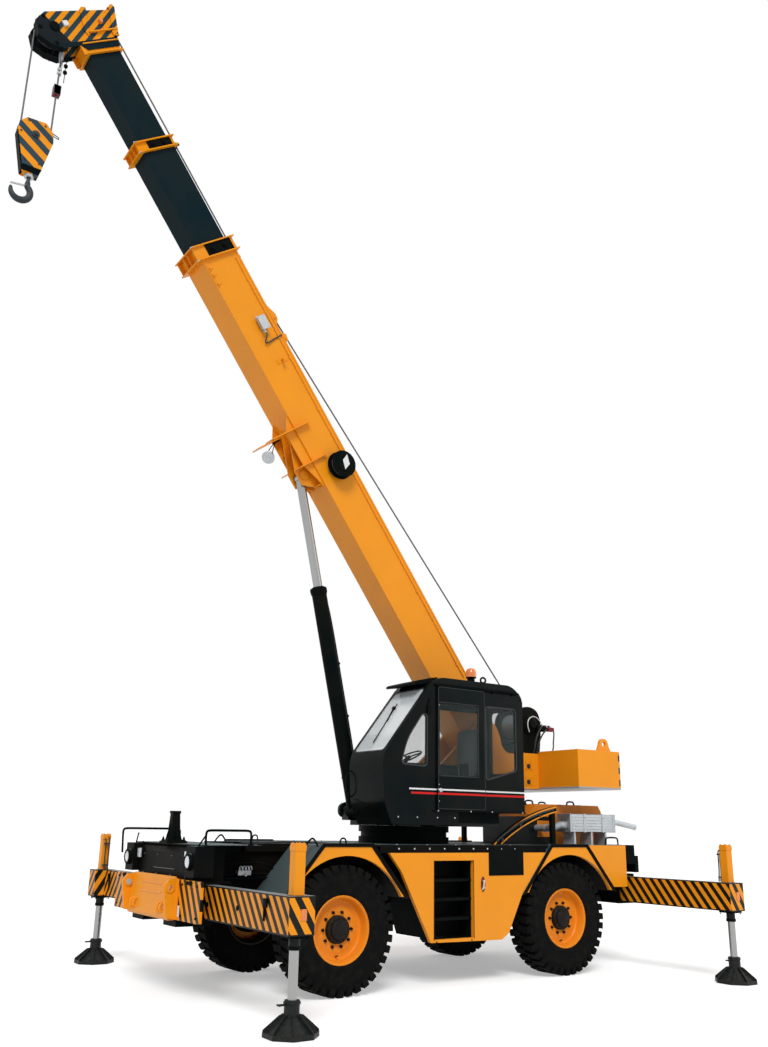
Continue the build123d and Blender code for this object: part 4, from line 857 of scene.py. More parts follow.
for start, end in ((front_x + 0.22, 1.05), (rear_x - 0.22, 1.35)):
    bar(shaft, (start, 0, 0.72), (end, 0, 0.86), 0.038, 18)
    for x, z in ((start, 0.72), (end, 0.86)):
        bar(shaft, (x - 0.035, 0, z), (x + 0.035, 0, z), 0.062, 18)
block(shaft, (1.02, -0.16, 0.76), (1.38, 0.16, 1.12))
piece(shaft, "drive_shafts", "carrier", chassis_paint, edge=0.006, clean=False)
print("steering and shafts added")

# %% [markdown]
# ## Outrigger feet
# Each jack is a ground rod with a wide foot on a ball socket. The foot is an eight-sided dish: a plate,
# a raised edge, a cone of eight flats and a rib along every corner. A pin with a handle locks it.

# %% Four feet
LEGS = {}
foot_paint = paint("foot_paint", (0.0065, 0.0095, 0.0105), 0.46, 0.04, 0.0, 0.16)
for corner in CORNERS:
    low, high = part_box(f"jack_{corner}")
    LEGS[corner] = Vector(((low.x + high.x) / 2, (low.y + high.y) / 2, 0))
for corner, foot in LEGS.items():
    pad = bmesh.new()
    eighth = Matrix.Rotation(math.radians(22.5), 4, "Z")
    for height, wide, narrow, deep in ((0.022, 0.256, 0.256, 0.042), (0.094, 0.236, 0.088, 0.126)):
        there = Matrix.Translation(foot + Vector((0, 0, height))) @ eighth
        bmesh.ops.create_cone(pad, cap_ends=True, segments=8, radius1=wide, radius2=narrow, depth=deep,
                              matrix=there)
    for k in range(8):
        turn = Matrix.Rotation(math.radians(22.5 + 45 * k), 4, "Z")
        rib = plate(pad, [(0.066, -0.006, 0.04), (0.252, -0.006, 0.04), (0.252, -0.006, 0.06),
                          (0.11, -0.006, 0.176), (0.066, -0.006, 0.186)], (0, 0.012, 0))
        bmesh.ops.transform(pad, matrix=Matrix.Translation(foot) @ turn, verts=rib)
    bar(pad, foot + Vector((0, 0, 0.15)), foot + Vector((0, 0, 0.298)), 0.071, 28)
    bar(pad, foot + Vector((0, 0, 0.268)), foot + Vector((0, 0, 0.284)), 0.079, 28)
    bar(pad, foot + Vector((-0.135, 0, 0.262)), foot + Vector((0.085, 0, 0.262)), 0.01, 12)
    bar(pad, foot + Vector((-0.135, -0.028, 0.262)), foot + Vector((-0.135, 0.028, 0.262)), 0.009, 12)
    foot_piece = piece(pad, f"outrigger_foot_{corner}", f"jack_{corner}", foot_paint,
                       edge=0.003, clean=False)
    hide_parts(f"jack_{corner}")
    rod = bmesh.new()
    turned(rod, [(0.001, 0.27), (0.045, 0.27), (0.045, 1.142), (0.04, 1.149), (0.001, 1.149)], foot,
           (0, 0, 1), 36)
    piece(rod, f"jack_rod_{corner}", f"jack_{corner}", chrome_rod)
print("feet fitted:", len(LEGS))

# %% [markdown]
# ## Jack tubes and beam ends
# The yellow jack tube has a bolted cap and a hydraulic pipe down its inner side. The end box under it
# carries an amber reflector, a guide flange for the rod and a black lug for the transport pin.

# %% Jack and beam fittings
SQUARE = ((-1, -1), (-1, 1), (1, -1), (1, 1))
for corner, foot in LEGS.items():
    side = 1 if foot.y > 0 else -1
    front = -1 if corner[0] == "f" else 1
    body = f"outrigger_{corner}"
    x, y = foot.x, foot.y
    cap = bmesh.new()
    block(cap, (x - 0.058, y - 0.058, 1.56), (x + 0.058, y + 0.058, 1.612))
    block(cap, (x - 0.054, y - 0.054, 1.61), (x + 0.054, y + 0.054, 1.628))
    block(cap, (x - 0.057, y - 0.057, 1.174), (x + 0.057, y + 0.057, 1.19))
    for dx, dy in SQUARE:
        hexagon(cap, (x + dx * 0.038, y + dy * 0.038, 1.626), (0, 0, 1), 0.022, 0.01)
    for sign in (-1, 1):
        hexagon(cap, (x + sign * 0.03, y + side * 0.057, 1.586), (0, side, 0), 0.014, 0.007)
    piece(cap, f"jack_cap_{corner}", body, yellow_paint, edge=0.004, clean=False)

    pipe = bmesh.new()
    inner = y - side * 0.1
    tube(pipe, [(x + 0.02, y - side * 0.055, 1.59), (x + 0.02, inner, 1.59),
                (x + 0.02, inner - side * 0.012, 1.45), (x + 0.02, inner - side * 0.004, 1.28),
                (x + 0.02, inner - side * 0.022, 1.178)], 0.0085)
    tube(pipe, [(x - 0.025, y - side * 0.055, 1.568), (x - 0.025, inner, 1.568), (x - 0.025, inner, 1.45),
                (x - 0.025, inner, 1.3), (x - 0.025, inner - side * 0.015, 1.178)], 0.0085)
    for z in (1.22, 1.5):
        block(pipe, (x - 0.038, inner - side * 0.014, z), (x + 0.034, y - side * 0.058, z + 0.018))
    piece(pipe, f"jack_pipes_{corner}", body, rubber_seal, clean=False, edge=0.0)

    fittings = bmesh.new()
    block(fittings, (x - 0.098, y - 0.098, 0.812), (x + 0.098, y + 0.098, 0.834))
    turned(fittings, [(0.047, 0.708), (0.056, 0.708), (0.059, 0.714), (0.059, 0.742), (0.047, 0.742),
                      (0.047, 0.708)], (x, y, 0), (0, 0, 1), 32)
    for dx, dy in SQUARE:
        hexagon(fittings, (x + dx * 0.085, y + dy * 0.085, 0.808), (0, 0, -1), 0.022, 0.012)
    face_x = x + front * (0.137 if (front > 0) == (side > 0) else 0.008)
    for t, z in ((0.92, 1.0), (1.62, 0.985)):
        spot = Vector((face_x - front * 0.006, side * (2.68 - t), z))
        bar(fittings, spot, spot + Vector((front * 0.01, 0, 0)), 0.026, 20)
    pin_y = side * 2.36
    block(fittings, (face_x, pin_y - 0.03, 1.05), (face_x + front * 0.02, pin_y + 0.03, 1.13))
    block(fittings, (face_x, pin_y - side * 0.03, 0.93), (face_x + front * 0.016, pin_y - side * 0.012,
                                                          1.12))
    piece(fittings, f"beam_fittings_{corner}", body, black_paint, edge=0.002, clean=False)

    glow = bmesh.new()
    block(glow, (x - 0.012, side * 2.799, 0.962), (x + 0.048, side * 2.8065, 1.062))
    piece(glow, f"beam_reflector_{corner}", body, amber_lens, edge=0.003, clean=False)
print("beam ends fitted")

# %% [markdown]
# ## The boom's own directions
# The boom stands at 53.6 degrees, so its pieces are measured along it and across it, from the pin it
# turns on. These helpers turn such measures into the frame's place, as the builder of a boom would
# mark them out on its side with a tape.

# %% Measures on the boom
LIFT = math.radians(53.63)
ALONG = Vector((-math.cos(LIFT), 0, math.sin(LIFT)))
ACROSS = Vector((math.sin(LIFT), 0, math.cos(LIFT)))
PIVOT = Vector((2.437, 0, 2.99))
BOOM_TURN = Matrix((ALONG, (0, 1, 0), -ACROSS)).transposed().to_4x4()


def on_boom(s, n, y=0.0):
    return PIVOT + ALONG * s + ACROSS * n + Vector((0, y, 0))


def boom_block(shape, s, n, y):
    """Block along the boom between pairs of measures."""
    middle = on_boom(sum(s) / 2, sum(n) / 2, sum(y) / 2)
    size = (abs(s[1] - s[0]), abs(y[1] - y[0]), abs(n[1] - n[0]), 1)
    return bmesh.ops.create_cube(shape, size=1, matrix=Matrix.Translation(middle) @ BOOM_TURN
                                 @ Matrix.Diagonal(size))["verts"]


def boom_plate(shape, outline, y):
    """Plate cut in (s, n), between two y values."""
    return plate(shape, [on_boom(s, n, y[0]) for s, n in outline], (0, y[1] - y[0], 0))


def boom_bar(shape, s, n, y, radius, sides=20):
    """Round bar across the boom."""
    return bar(shape, on_boom(s, n, y[0]), on_boom(s, n, y[1]), radius, sides)


def boom_flange(shape, s, thick, half_w, half_h, hole_w, hole_h):
    """Flat frame round a section of the boom."""
    for n0, n1 in ((hole_h, half_h), (-half_h, -hole_h)):
        boom_block(shape, (s, s + thick), (n0, n1), (-half_w, half_w))
    for y0, y1 in ((hole_w, half_w), (-half_w, -hole_w)):
        boom_block(shape, (s, s + thick), (-hole_h, hole_h), (y0, y1))


BASE = dict(end=7.84, collar=0.2, w=0.222, h=0.29)
MID = dict(end=9.385, collar=0.15, w=0.166, h=0.251)
TIP = dict(end=10.8, collar=0.14, w=0.142, h=0.229)
print("base end", [round(v, 3) for v in on_boom(BASE["end"], 0)])

# %% [markdown]
# The two inner sections are dark green-black, but their end collars are yellow, and the head plates
# at the tip are striped. Measures along the boom, worked out in the material, tell them apart.

# %% Paint by place on the boom
def boom_measures(finish):
    x, y, z = finish.split(finish.place())
    dx, dz = x - PIVOT.x, z - PIVOT.z
    return dx * ALONG.x + dz * ALONG.z, y, dx * ACROSS.x + dz * ACROSS.z


BOOM_DARK = (0.003, 0.0135, 0.0185)
middle_finish = Finish("mid_section_paint", Coat_Weight=0.01, Coat_Roughness=0.15, Specular_IOR_Level=0.03)
mid_collar = boom_measures(middle_finish)[0].above(MID["end"] - MID["collar"] - 0.001)
mid_paint = sprayed(middle_finish, middle_finish.blend(mid_collar, BOOM_DARK, YELLOW), 0.4, 0.04)

tip_finish = Finish("tip_section_paint", Coat_Weight=0.01, Coat_Roughness=0.15, Specular_IOR_Level=0.03)
ts, ty, tn = boom_measures(tip_finish)
tip_end = ts.between(TIP["end"] - TIP["collar"] - 0.001, TIP["end"] + 0.001)
tip_collar = tip_end * ty.size().below(0.163) * tn.size().below(0.26)
tip_colour = tip_finish.blend(tip_collar, BOOM_DARK, YELLOW)
on_plate = ty.size().above(0.149) * ts.above(10.84)
above_nose = (tn + (ts - 10.77) * 0.42).above(-0.385)
bands = ((ts * 1.0 - tn * 0.62 + 4.0) / 0.138).math("FRACT").below(0.5)
tip_colour = tip_finish.blend(on_plate * above_nose, tip_colour, tip_finish.blend(bands, YELLOW, NAVY))
tip_colour = tip_finish.blend(on_plate * (1.0 - above_nose), tip_colour, (0.01, 0.014, 0.017))
tip_paint = sprayed(tip_finish, tip_colour, 0.4, 0.04)
dress(["boom_mid"], mid_paint)
dress(["boom_tip"], tip_paint)
print("boom painted")

# %% [markdown]
# ## Collars
# Where one section slides out of the next, a collar holds its wear pads. Its frames are in the packed
# solid. On each side a dark plate carries two round screws that press the pads, and two thin guide rods
# stick out below.

# %% Collars
def collar(name, body, section, deep):
    end, long_way, w, h = section["end"], section["collar"], section["w"], section["h"]
    out_w, out_h = w + (0.02 if section is BASE else 0.018), h + (0.02 if section is BASE else 0.018)
    pads = bmesh.new()
    for side in (-1, 1):
        y0 = side * out_w
        boom_block(pads, (end - long_way + 0.014, end - 0.014), (-0.55 * out_h, 0.86 * out_h),
                   (y0 - side * 0.002, y0 + side * 0.008))
        for n in (-0.24 * out_h, 0.42 * out_h):
            boom_bar(pads, end - long_way / 2, n, (y0, y0 + side * 0.026), 0.036, 24)
            boom_bar(pads, end - long_way / 2, n, (y0 + side * 0.024, y0 + side * 0.042), 0.019, 6)
        for s in (end - long_way + 0.03, end - 0.03):
            for n in (-0.48 * out_h, 0.78 * out_h):
                boom_bar(pads, s, n, (y0, y0 + side * 0.016), 0.008, 6)
    piece(pads, f"{name}_pad_plates", body, black_paint, edge=0.002, clean=False)
    rods = bmesh.new()
    for s in (end - long_way + 0.002, end - 0.002):
        bar(rods, on_boom(s, -out_h - deep + 0.03, -out_w - 0.02), on_boom(s - 0.02, -out_h - deep - 0.045,
                                                                           -out_w - 0.07), 0.007, 10)
    boom_block(rods, (end - 0.05, end - 0.03), (out_h + 0.01, out_h + 0.035), (-0.03, 0.03))
    piece(rods, f"{name}_guide_rods", body, galvanised, clean=False)


collar("base", "boom_base", BASE, 0.075)
collar("mid", "boom_mid", MID, 0.06)
frames = bmesh.new()
for s in (TIP["end"] - TIP["collar"] - 0.004, TIP["end"] - 0.006):
    boom_flange(frames, s, 0.014, 0.186, 0.275, 0.16, 0.247)
for side in (-1, 1):
    boom_block(frames, (TIP["end"] - 0.135, TIP["end"] + 0.005), (-0.315, -0.25),
               (side * 0.148, side * 0.16))
piece(frames, "tip_collar", "boom_tip", yellow_paint, edge=0.002, clean=False)
print("collars fitted:", 3)

# %% [markdown]
# ## The base section's fittings
# The base is a bent box: a shallow fold runs the length of its side, with a pipe clipped along it.
# Under it, plates stiffen the lift cylinder's bracket. On its side sit a cable reel, a grey
# junction box with its hose, a bare stub, and on top the bracket that once held a spare jib.

# %% Side pipe, ribs and bracket plates
strap = bmesh.new()
for side in (-1, 1):
    y = side * 0.222
    boom_block(strap, (0.35, 7.62), (0.268, 0.292), (y - side * 0.002, y + side * 0.007))
    boom_block(strap, (0.35, 7.62), (-0.292, -0.272), (y - side * 0.002, y + side * 0.006))
for side in (-1, 1):
    boom_plate(strap, [(4.2, -0.288), (4.62, -0.44), (5.1, -0.44), (5.32, -0.288)],
               (side * 0.19, side * 0.204))
    for s in (4.28, 4.86):
        boom_plate(strap, [(s, -0.288), (s, -0.4), (s + 0.012, -0.4), (s + 0.012, -0.288)],
                   (side * 0.105, side * 0.19))
piece(strap, "base_ribs", "boom_base", yellow_paint, edge=0.002, clean=False)
line = bmesh.new()
tube(line, [on_boom(s, 0.215, -0.234) for s in (0.9, 2.6, 4.6, 6.2, 7.55)], 0.007)
for s in (1.1, 2.3, 3.5, 5.2, 6.0, 7.0):
    boom_block(line, (s, s + 0.025), (0.198, 0.232), (-0.238, -0.221))
piece(line, "side_pipe", "boom_base", yellow_paint, clean=False)
print("ribs and pipe fitted")

# %% [markdown]
# The reel pays out the cable that tells the cab how far the boom has run out. Its drum is one profile
# turned about a pin on the base's side, with five turns of dark cable laid on it as rings.

# %% Cable reel
reel = bmesh.new()
REEL_S, REEL_N = 4.38, 0.05
boom_bar(reel, REEL_S, REEL_N, (-0.222, -0.262), 0.085, 32)
turned(reel, [(0.06, 0.0), (0.192, 0.0), (0.196, 0.006), (0.192, 0.014), (0.15, 0.016), (0.146, 0.04),
              (0.146, 0.086), (0.15, 0.104), (0.184, 0.108), (0.188, 0.114), (0.184, 0.122), (0.12, 0.132),
              (0.118, 0.142), (0.06, 0.146), (0.001, 0.146), (0.001, 0.0), (0.06, 0.0)],
       on_boom(REEL_S, REEL_N, -0.262), (0, -1, 0), 56)
for spot in ring_spots(6, 0.155):
    hexagon(reel, on_boom(REEL_S, REEL_N, -0.386) + spot, (0, -1, 0), 0.018, 0.008)
reel_piece = piece(reel, "cable_reel", "boom_base", black_paint, edge=0.001)
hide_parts("boom_fittings")
wound = bmesh.new()
for k in range(5):
    turned(wound, [(0.148, 0.0), (0.16, 0.0085), (0.148, 0.017)],
           on_boom(REEL_S, REEL_N, -0.306 - 0.0165 * k), (0, -1, 0), 48)
piece(wound, "reel_windings", "boom_base", rubber_seal, closed=False)
label = bmesh.new()
boom_plate(label, [(4.3, -0.005), (4.43, 0.035), (4.47, 0.145), (4.335, 0.105)], (-0.4085, -0.4115))
piece(label, "reel_plate", "boom_base", white_paint, edge=0.002)
print("reel at", [round(v, 2) for v in on_boom(REEL_S, REEL_N, -0.3)])

# %% [markdown]
# The small things on the near side are set by their measures along and across the boom. The work light
# is a turned shell on a bent yoke, and looks down and forward.

# %% Junction box, stub and work light
box = bmesh.new()
boom_block(box, (6.49, 6.67), (0.0, 0.115), (-0.236, -0.3))
boom_block(box, (6.482, 6.678), (-0.008, 0.123), (-0.3, -0.308))
boom_block(box, (6.46, 6.7), (0.02, 0.045), (-0.222, -0.236))
for s in (6.5, 6.66):
    for n in (0.01, 0.105):
        boom_bar(box, s, n, (-0.306, -0.313), 0.006, 10)
bar(box, on_boom(6.5, 0.03, -0.27), on_boom(6.44, 0.03, -0.27), 0.014, 12)
piece(box, "junction_box", "boom_base", galvanised, edge=0.004, clean=False)
feed = bmesh.new()
tube(feed, [on_boom(6.45, 0.03, -0.27), on_boom(6.4, 0.03, -0.275), on_boom(6.33, -0.06, -0.262),
            on_boom(6.3, -0.02, -0.245), on_boom(6.325, 0.12, -0.234), on_boom(6.34, 0.275, -0.232)], 0.01,
     12)
piece(feed, "box_feed", "boom_base", rubber_seal, clean=False)
stub = bmesh.new()
bar(stub, on_boom(6.02, 0.07, -0.222), on_boom(6.02, 0.07, -0.3), 0.02, 20)
bar(stub, on_boom(6.02, 0.07, -0.295), on_boom(6.02, 0.07, -0.305), 0.026, 20)
boom_block(stub, (5.99, 6.05), (-0.01, 0.15), (-0.222, -0.23))
for s in (7.28, 7.41, 7.51):
    boom_plate(stub, [(s - 0.05, -0.285), (s, -0.2), (s + 0.05, -0.285)], (-0.232, -0.222))
    boom_bar(stub, s, -0.262, (-0.232, -0.262), 0.014, 14)
piece(stub, "side_stub", "boom_base", yellow_paint, edge=0.002, clean=False)
shelf = bmesh.new()
for s in (6.3, 6.62):
    boom_bar(shelf, s, 0.375, (-0.15, 0.15), 0.02)
boom_block(shelf, (6.2, 6.88), (0.288, 0.3), (-0.16, 0.16))
piece(shelf, "top_bracket", "boom_base", yellow_paint, edge=0.003, clean=False)
light = bmesh.new()
LIGHT = on_boom(4.93, -0.86, -0.2)
turned(light, [(0.001, -0.05), (0.045, -0.048), (0.072, -0.02), (0.084, 0.03), (0.088, 0.04),
               (0.082, 0.046), (0.001, 0.04)], LIGHT, (-0.55, -0.55, -0.62), 36)
piece(light, "work_light_shell", "boom_base", galvanised)
yoke = bmesh.new()
for middle, end in ((-0.13, -0.1), (-0.27, -0.3)):
    tube(yoke, [on_boom(5.06, -0.66, -0.2), on_boom(5.04, -0.74, middle), on_boom(4.94, -0.86, end)], 0.006)
boom_block(yoke, (5.05, 5.07), (-0.7, -0.6), (-0.225, -0.175))
piece(yoke, "work_light_yoke", "boom_base", black_paint, clean=False)
print("light at", [round(v, 2) for v in LIGHT])

# %% [markdown]
# ## The head
# The rope comes up the boom, passes over guide rollers on two yellow frames, and drops over the head
# sheave inside a dark nose. A rope keeper, a limit switch with its chain, and amber and pale lamps
# finish the head.

# %% Head frames and rollers
head = bmesh.new()
for s, n0, n1 in ((10.93, -0.1, 0.335), (10.84, 0.26, 0.31)):
    for side in (-1, 1):
        boom_block(head, (s, s + 0.016), (n0, n1), (side * 0.17, side * 0.205))
for s, n in ((11.2, 0.3), (11.1, 0.39)):
    boom_bar(head, s, n, (-0.175, 0.175), 0.012, 14)
piece(head, "head_frames", "boom_tip", yellow_paint, edge=0.003, clean=False)
rollers = bmesh.new()
for s, n in ((11.262, -0.018), (11.255, 0.415)):
    for y in (-0.075, 0.0, 0.075):
        turned(rollers, [(0.014, -0.03), (0.032, -0.03), (0.03, -0.02), (0.024, 0.0), (0.03, 0.02),
                         (0.032, 0.03), (0.014, 0.03), (0.014, -0.03)], on_boom(s, n, y), (0, 1, 0), 24)
piece(rollers, "head_rollers", "boom_tip", cast_steel, edge=0.001)
LOOP_S = 11.251
loops = bmesh.new()
for y in (-0.12, 0.12):
    for n in (-0.015, 0.42):
        tube(loops, [on_boom(LOOP_S + s, n + dn, y) for s, dn in ((0.0, -0.028), (0.03, -0.03), (0.036, 0.0),
                                                                 (0.03, 0.024), (0.0, 0.024))], 0.005)
piece(loops, "head_loops", "boom_tip", yellow_paint, clean=False)
print("head frames fitted")

# %% [markdown]
# The shroud keeps the rope in the sheave's groove. Sheet is folded in flats, so a row of short plates
# follows the bent outline, in two halves with a gap for the rope between them.

# %% Nose shroud, lamps and limit switch
nose = bmesh.new()
SHROUD = [(11.262, -0.64), (11.195, -0.738), (11.02, -0.792), (10.885, -0.7), (10.8, -0.56), (10.8, -0.48)]
for (s0, n0), (s1, n1) in zip(SHROUD, SHROUD[1:]):
    cut = [on_boom(s0, n0, -0.15), on_boom(s1, n1, -0.15), on_boom(s1 * 0.9995, n1 + 0.008, -0.15),
           on_boom(s0 * 0.9995, n0 + 0.008, -0.15)]
    if s0 > 11.1 or s1 < 10.9:
        plate(nose, cut, (0, 0.085, 0))
        plate(nose, [c + Vector((0, 0.215, 0)) for c in cut], (0, 0.085, 0))
for s, n in ((11.235, -0.6), (10.86, -0.62), (11.1, -0.72)):
    boom_bar(nose, s, n, (-0.176, 0.176), 0.014, 16)
    for side in (-1, 1):
        boom_bar(nose, s, n, (side * 0.17, side * 0.183), 0.024, 6)
for side in (-1, 1):
    boom_bar(nose, 11.08, -0.53, (side * 0.17, side * 0.19), 0.062, 28)
piece(nose, "nose_shroud", "boom_tip", black_paint, edge=0.002, clean=False)
eyelet = bmesh.new()
tube(eyelet, [on_boom(11.262, -0.52, 0.0), on_boom(11.29, -0.52, 0.0), on_boom(11.298, -0.5, 0.0),
              on_boom(11.29, -0.48, 0.0), on_boom(11.262, -0.48, 0.0)], 0.008)
boom_block(eyelet, (11.255, 11.268), (-0.56, -0.44), (-0.05, 0.05))
piece(eyelet, "head_eyelet", "boom_tip", black_paint, clean=False)
pale = bmesh.new()
boom_block(pale, (11.055, 11.125), (-0.405, -0.335), (-0.172, -0.205))
piece(pale, "head_switch_box", "boom_tip", white_paint, edge=0.005, clean=False)
signal = bmesh.new()
turned(signal, [(0.001, 0.045), (0.026, 0.04), (0.032, 0.024), (0.034, 0.0), (0.001, 0.0)],
       on_boom(11.066, 0.147, -0.172), (0, -1, 0), 24)
piece(signal, "head_lamp", "boom_tip", amber_lens)
chain = bmesh.new()
hang = on_boom(10.8, -0.455, -0.05)
bar(chain, hang, hang - Vector((0, 0, 0.5)), 0.005, 8)
for k in range(3):
    z = 0.14 + 0.1 * k
    turned(chain, [(0.001, 0.022), (0.024, 0.016), (0.028, 0.0), (0.024, -0.016), (0.001, -0.022)],
           hang - Vector((0, 0, z)), (0, 0, 1), 20)
piece(chain, "limit_switch_weights", "boom_tip", black_paint, clean=False)
print("nose fitted")

# %% [markdown]
# ## Hoist rope up the boom
# The rope leaves the top of the drum, runs in a straight line over the boom to the head, and turns
# down over the sheave. It crosses the lift joint and both telescope joints, so it is cut in three
# stretches at its guides, and the stretches ride no body.

# %% Rope over the boom
def rope_run(name, start, end):
    run = bmesh.new()
    bar(run, start, end, 0.011, 12)
    made = piece(run, name, None, boom_rope, clean=False)
    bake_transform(made)


def rope_guide(name, body, s, n, outline):
    """Two cheek plates and a grooved roller that keep the rope off the boom."""
    guide = bmesh.new()
    for y in (-0.04, 0.04):
        boom_plate(guide, outline, (y - 0.004, y + 0.004))
    turned(guide, [(0.006, -0.034), (0.032, -0.034), (0.018, -0.01), (0.018, 0.01), (0.032, 0.034),
                   (0.006, 0.034), (0.006, -0.034)], on_boom(s, n), (0, 1, 0), 24)
    piece(guide, name, body, black_paint, edge=0.001)


WINCH = Vector((3.297, 0, 3.255))
drum_top = WINCH + Vector((-0.06, -0.05, 0.18))
BASE_GUIDE_S, MID_GUIDE_S = 7.6, 9.31
base_guide = on_boom(BASE_GUIDE_S, 0.405)
mid_guide = on_boom(MID_GUIDE_S, 0.4)
head_guide = on_boom(11.12, 0.395)
rope_run("rope_to_collar", drum_top, base_guide)
rope_run("rope_over_mid", base_guide, mid_guide)
rope_run("rope_over_tip", mid_guide, head_guide)
rope_guide("rope_guide_base", "boom_base", BASE_GUIDE_S, 0.385, [(7.55, 0.3), (7.58, 0.44), (7.62, 0.44),
                                                                 (7.65, 0.3)])
rope_guide("rope_guide_mid", "boom_mid", MID_GUIDE_S, 0.38, [(9.26, 0.268), (9.29, 0.435), (9.33, 0.435),
                                                             (9.36, 0.268)])
print("rope runs:", 3, "from", [round(v, 2) for v in drum_top])

# %% [markdown]
# ## Lift cylinder
# The barrel is black with a bolted gland at its top, and a steel pipe with a hose end feeds it. The
# chromed rod comes out of the gland, so only the gland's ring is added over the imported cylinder.

# %% Gland and pipes of the lift cylinder
FOOT = Vector((0.437, 0, 1.985))
EYE = on_boom(4.5, -0.45)
THRUST = (EYE - FOOT).normalized()
BARREL = (EYE - FOOT).length - 1.545
gland = bmesh.new()
turned(gland, [(0.064, -0.07), (0.112, -0.07), (0.114, -0.06), (0.114, -0.016), (0.106, -0.008),
               (0.085, 0.0), (0.078, 0.016), (0.064, 0.018), (0.064, -0.07)], FOOT + THRUST * BARREL,
       THRUST, 48)
turned(gland, [(0.1005, 0.0), (0.106, 0.004), (0.106, 0.02), (0.1005, 0.024)], FOOT + THRUST * 0.42, THRUST,
       48)
for k in range(8):
    spot = Matrix.Rotation(math.tau * k / 8, 3, THRUST) @ Vector((0, 0.095, 0))
    hexagon(gland, FOOT + THRUST * (BARREL - 0.012) + spot, THRUST, 0.016, 0.012)
piece(gland, "lift_gland", "lift_barrel", black_paint, edge=0.001)
SIDEWAYS = Vector((0, -1, 0))
FRONTWARD = THRUST.cross(SIDEWAYS).normalized()
feed = bmesh.new()
tube(feed, [FOOT + THRUST * 0.3 - SIDEWAYS * 0.02 + FRONTWARD * 0.128,
            FOOT + THRUST * 0.8 + FRONTWARD * 0.122,
            FOOT + THRUST * 1.6 + FRONTWARD * 0.122,
            FOOT + THRUST * (BARREL - 0.25) + FRONTWARD * 0.122,
            FOOT + THRUST * (BARREL - 0.13) + FRONTWARD * 0.09], 0.011)
for d in (0.5, 1.2, 1.9):
    bar(feed, FOOT + THRUST * d + FRONTWARD * 0.095, FOOT + THRUST * d + FRONTWARD * 0.14, 0.016, 12)
piece(feed, "lift_pipe", "lift_barrel", black_paint, clean=False)
print("barrel length", round(BARREL, 3))

# %% [markdown]
# ## Hook block and hook
# The block's cheeks are two plates round a sheave, striped and bolted together, with cast weights at
# their feet and a ring at the top corner. The hook is forged from round bar: thick at the bowl, thin
# at the tip, with a spring latch across its mouth. Its body is swept along a bowl-shaped line.

# %% Block fittings
BLOCK = Vector((-4.5772, 0, 9.9974))
fittings = bmesh.new()
for dx, dz in ((-0.1, 0.165), (0.1, 0.165), (0.175, -0.02), (-0.175, -0.02), (0.085, -0.4), (-0.085, -0.4)):
    for side in (-1, 1):
        hexagon(fittings, BLOCK + Vector((dx, side * 0.06, dz)), (0, side, 0), 0.026, 0.01)
    bar(fittings, BLOCK + Vector((dx, -0.042, dz)), BLOCK + Vector((dx, 0.042, dz)), 0.01, 12)
for side in (-1, 1):
    bar(fittings, BLOCK + Vector((0, side * 0.06, 0)), BLOCK + Vector((0, side * 0.074, 0)), 0.048, 28)
    hexagon(fittings, BLOCK + Vector((0, side * 0.074, 0)), (0, side, 0), 0.05, 0.014)
piece(fittings, "block_bolts", "hook_block", cast_steel, edge=0.001, clean=False)
weights = bmesh.new()
for side in (-1, 1):
    plate(weights, [BLOCK + Vector((x, side * 0.06, z)) for x, z in ((-0.126, -0.478), (0.126, -0.478),
                                                                     (0.1, -0.56), (-0.1, -0.56))],
          (0, side * 0.014, 0))
plate(weights, [BLOCK + Vector((x, -0.062, z)) for x, z in ((-0.222, -0.02), (-0.206, -0.02),
                                                            (-0.092, -0.56), (-0.112, -0.56))],
      (0, 0.124, 0))
piece(weights, "block_weights", "hook_block", black_paint, edge=0.004, clean=False)
ring = bmesh.new()
tube(ring, [BLOCK + Vector(p) for p in ((0.085, 0.05, 0.185), (0.16, 0.05, 0.205), (0.262, 0.05, 0.176),
                                        (0.3, 0.05, 0.16), (0.3, 0.05, 0.135), (0.262, 0.05, 0.145),
                                        (0.17, 0.05, 0.17), (0.09, 0.05, 0.16))], 0.006, 10, closed=True)
piece(ring, "block_ring", "hook_block", cast_steel, clean=False)
print("block fitted at", [round(v, 2) for v in BLOCK])

# %% [markdown]
# A forging has no corners, only a bar that swells and thins as it bends. So the hook is pulled from a
# circle: each extrusion moves the open end on, turns it and sets its radius. A subdivision surface then
# rounds the steps away.

# %% Forged hook
BOWL = BLOCK + Vector((-0.072, 0, -0.826))
hook_shape = bmesh.new()
bmesh.ops.create_circle(hook_shape, cap_ends=True, segments=20, radius=0.03,
                        matrix=Matrix.Translation(BLOCK + Vector((0, 0, -0.44))))
end_face = hook_shape.faces[:]


def next_section(face, centre, facing, radius):
    """Pull the open end of the hook on to its next section."""
    pulled = bmesh.ops.extrude_face_region(hook_shape, geom=face)
    fresh = [g for g in pulled["geom"] if isinstance(g, bmesh.types.BMFace)]
    verts = [g for g in pulled["geom"] if isinstance(g, bmesh.types.BMVert)]
    bmesh.ops.delete(hook_shape, geom=face, context="FACES_ONLY")
    middle = sum((v.co for v in verts), Vector()) / len(verts)
    now = fresh[0].normal.copy()
    turn = now.rotation_difference(Vector(facing)).to_matrix()
    size = (verts[0].co - middle).length
    for v in verts:
        v.co = Vector(centre) + turn @ (v.co - middle) * (radius / size)
    return fresh


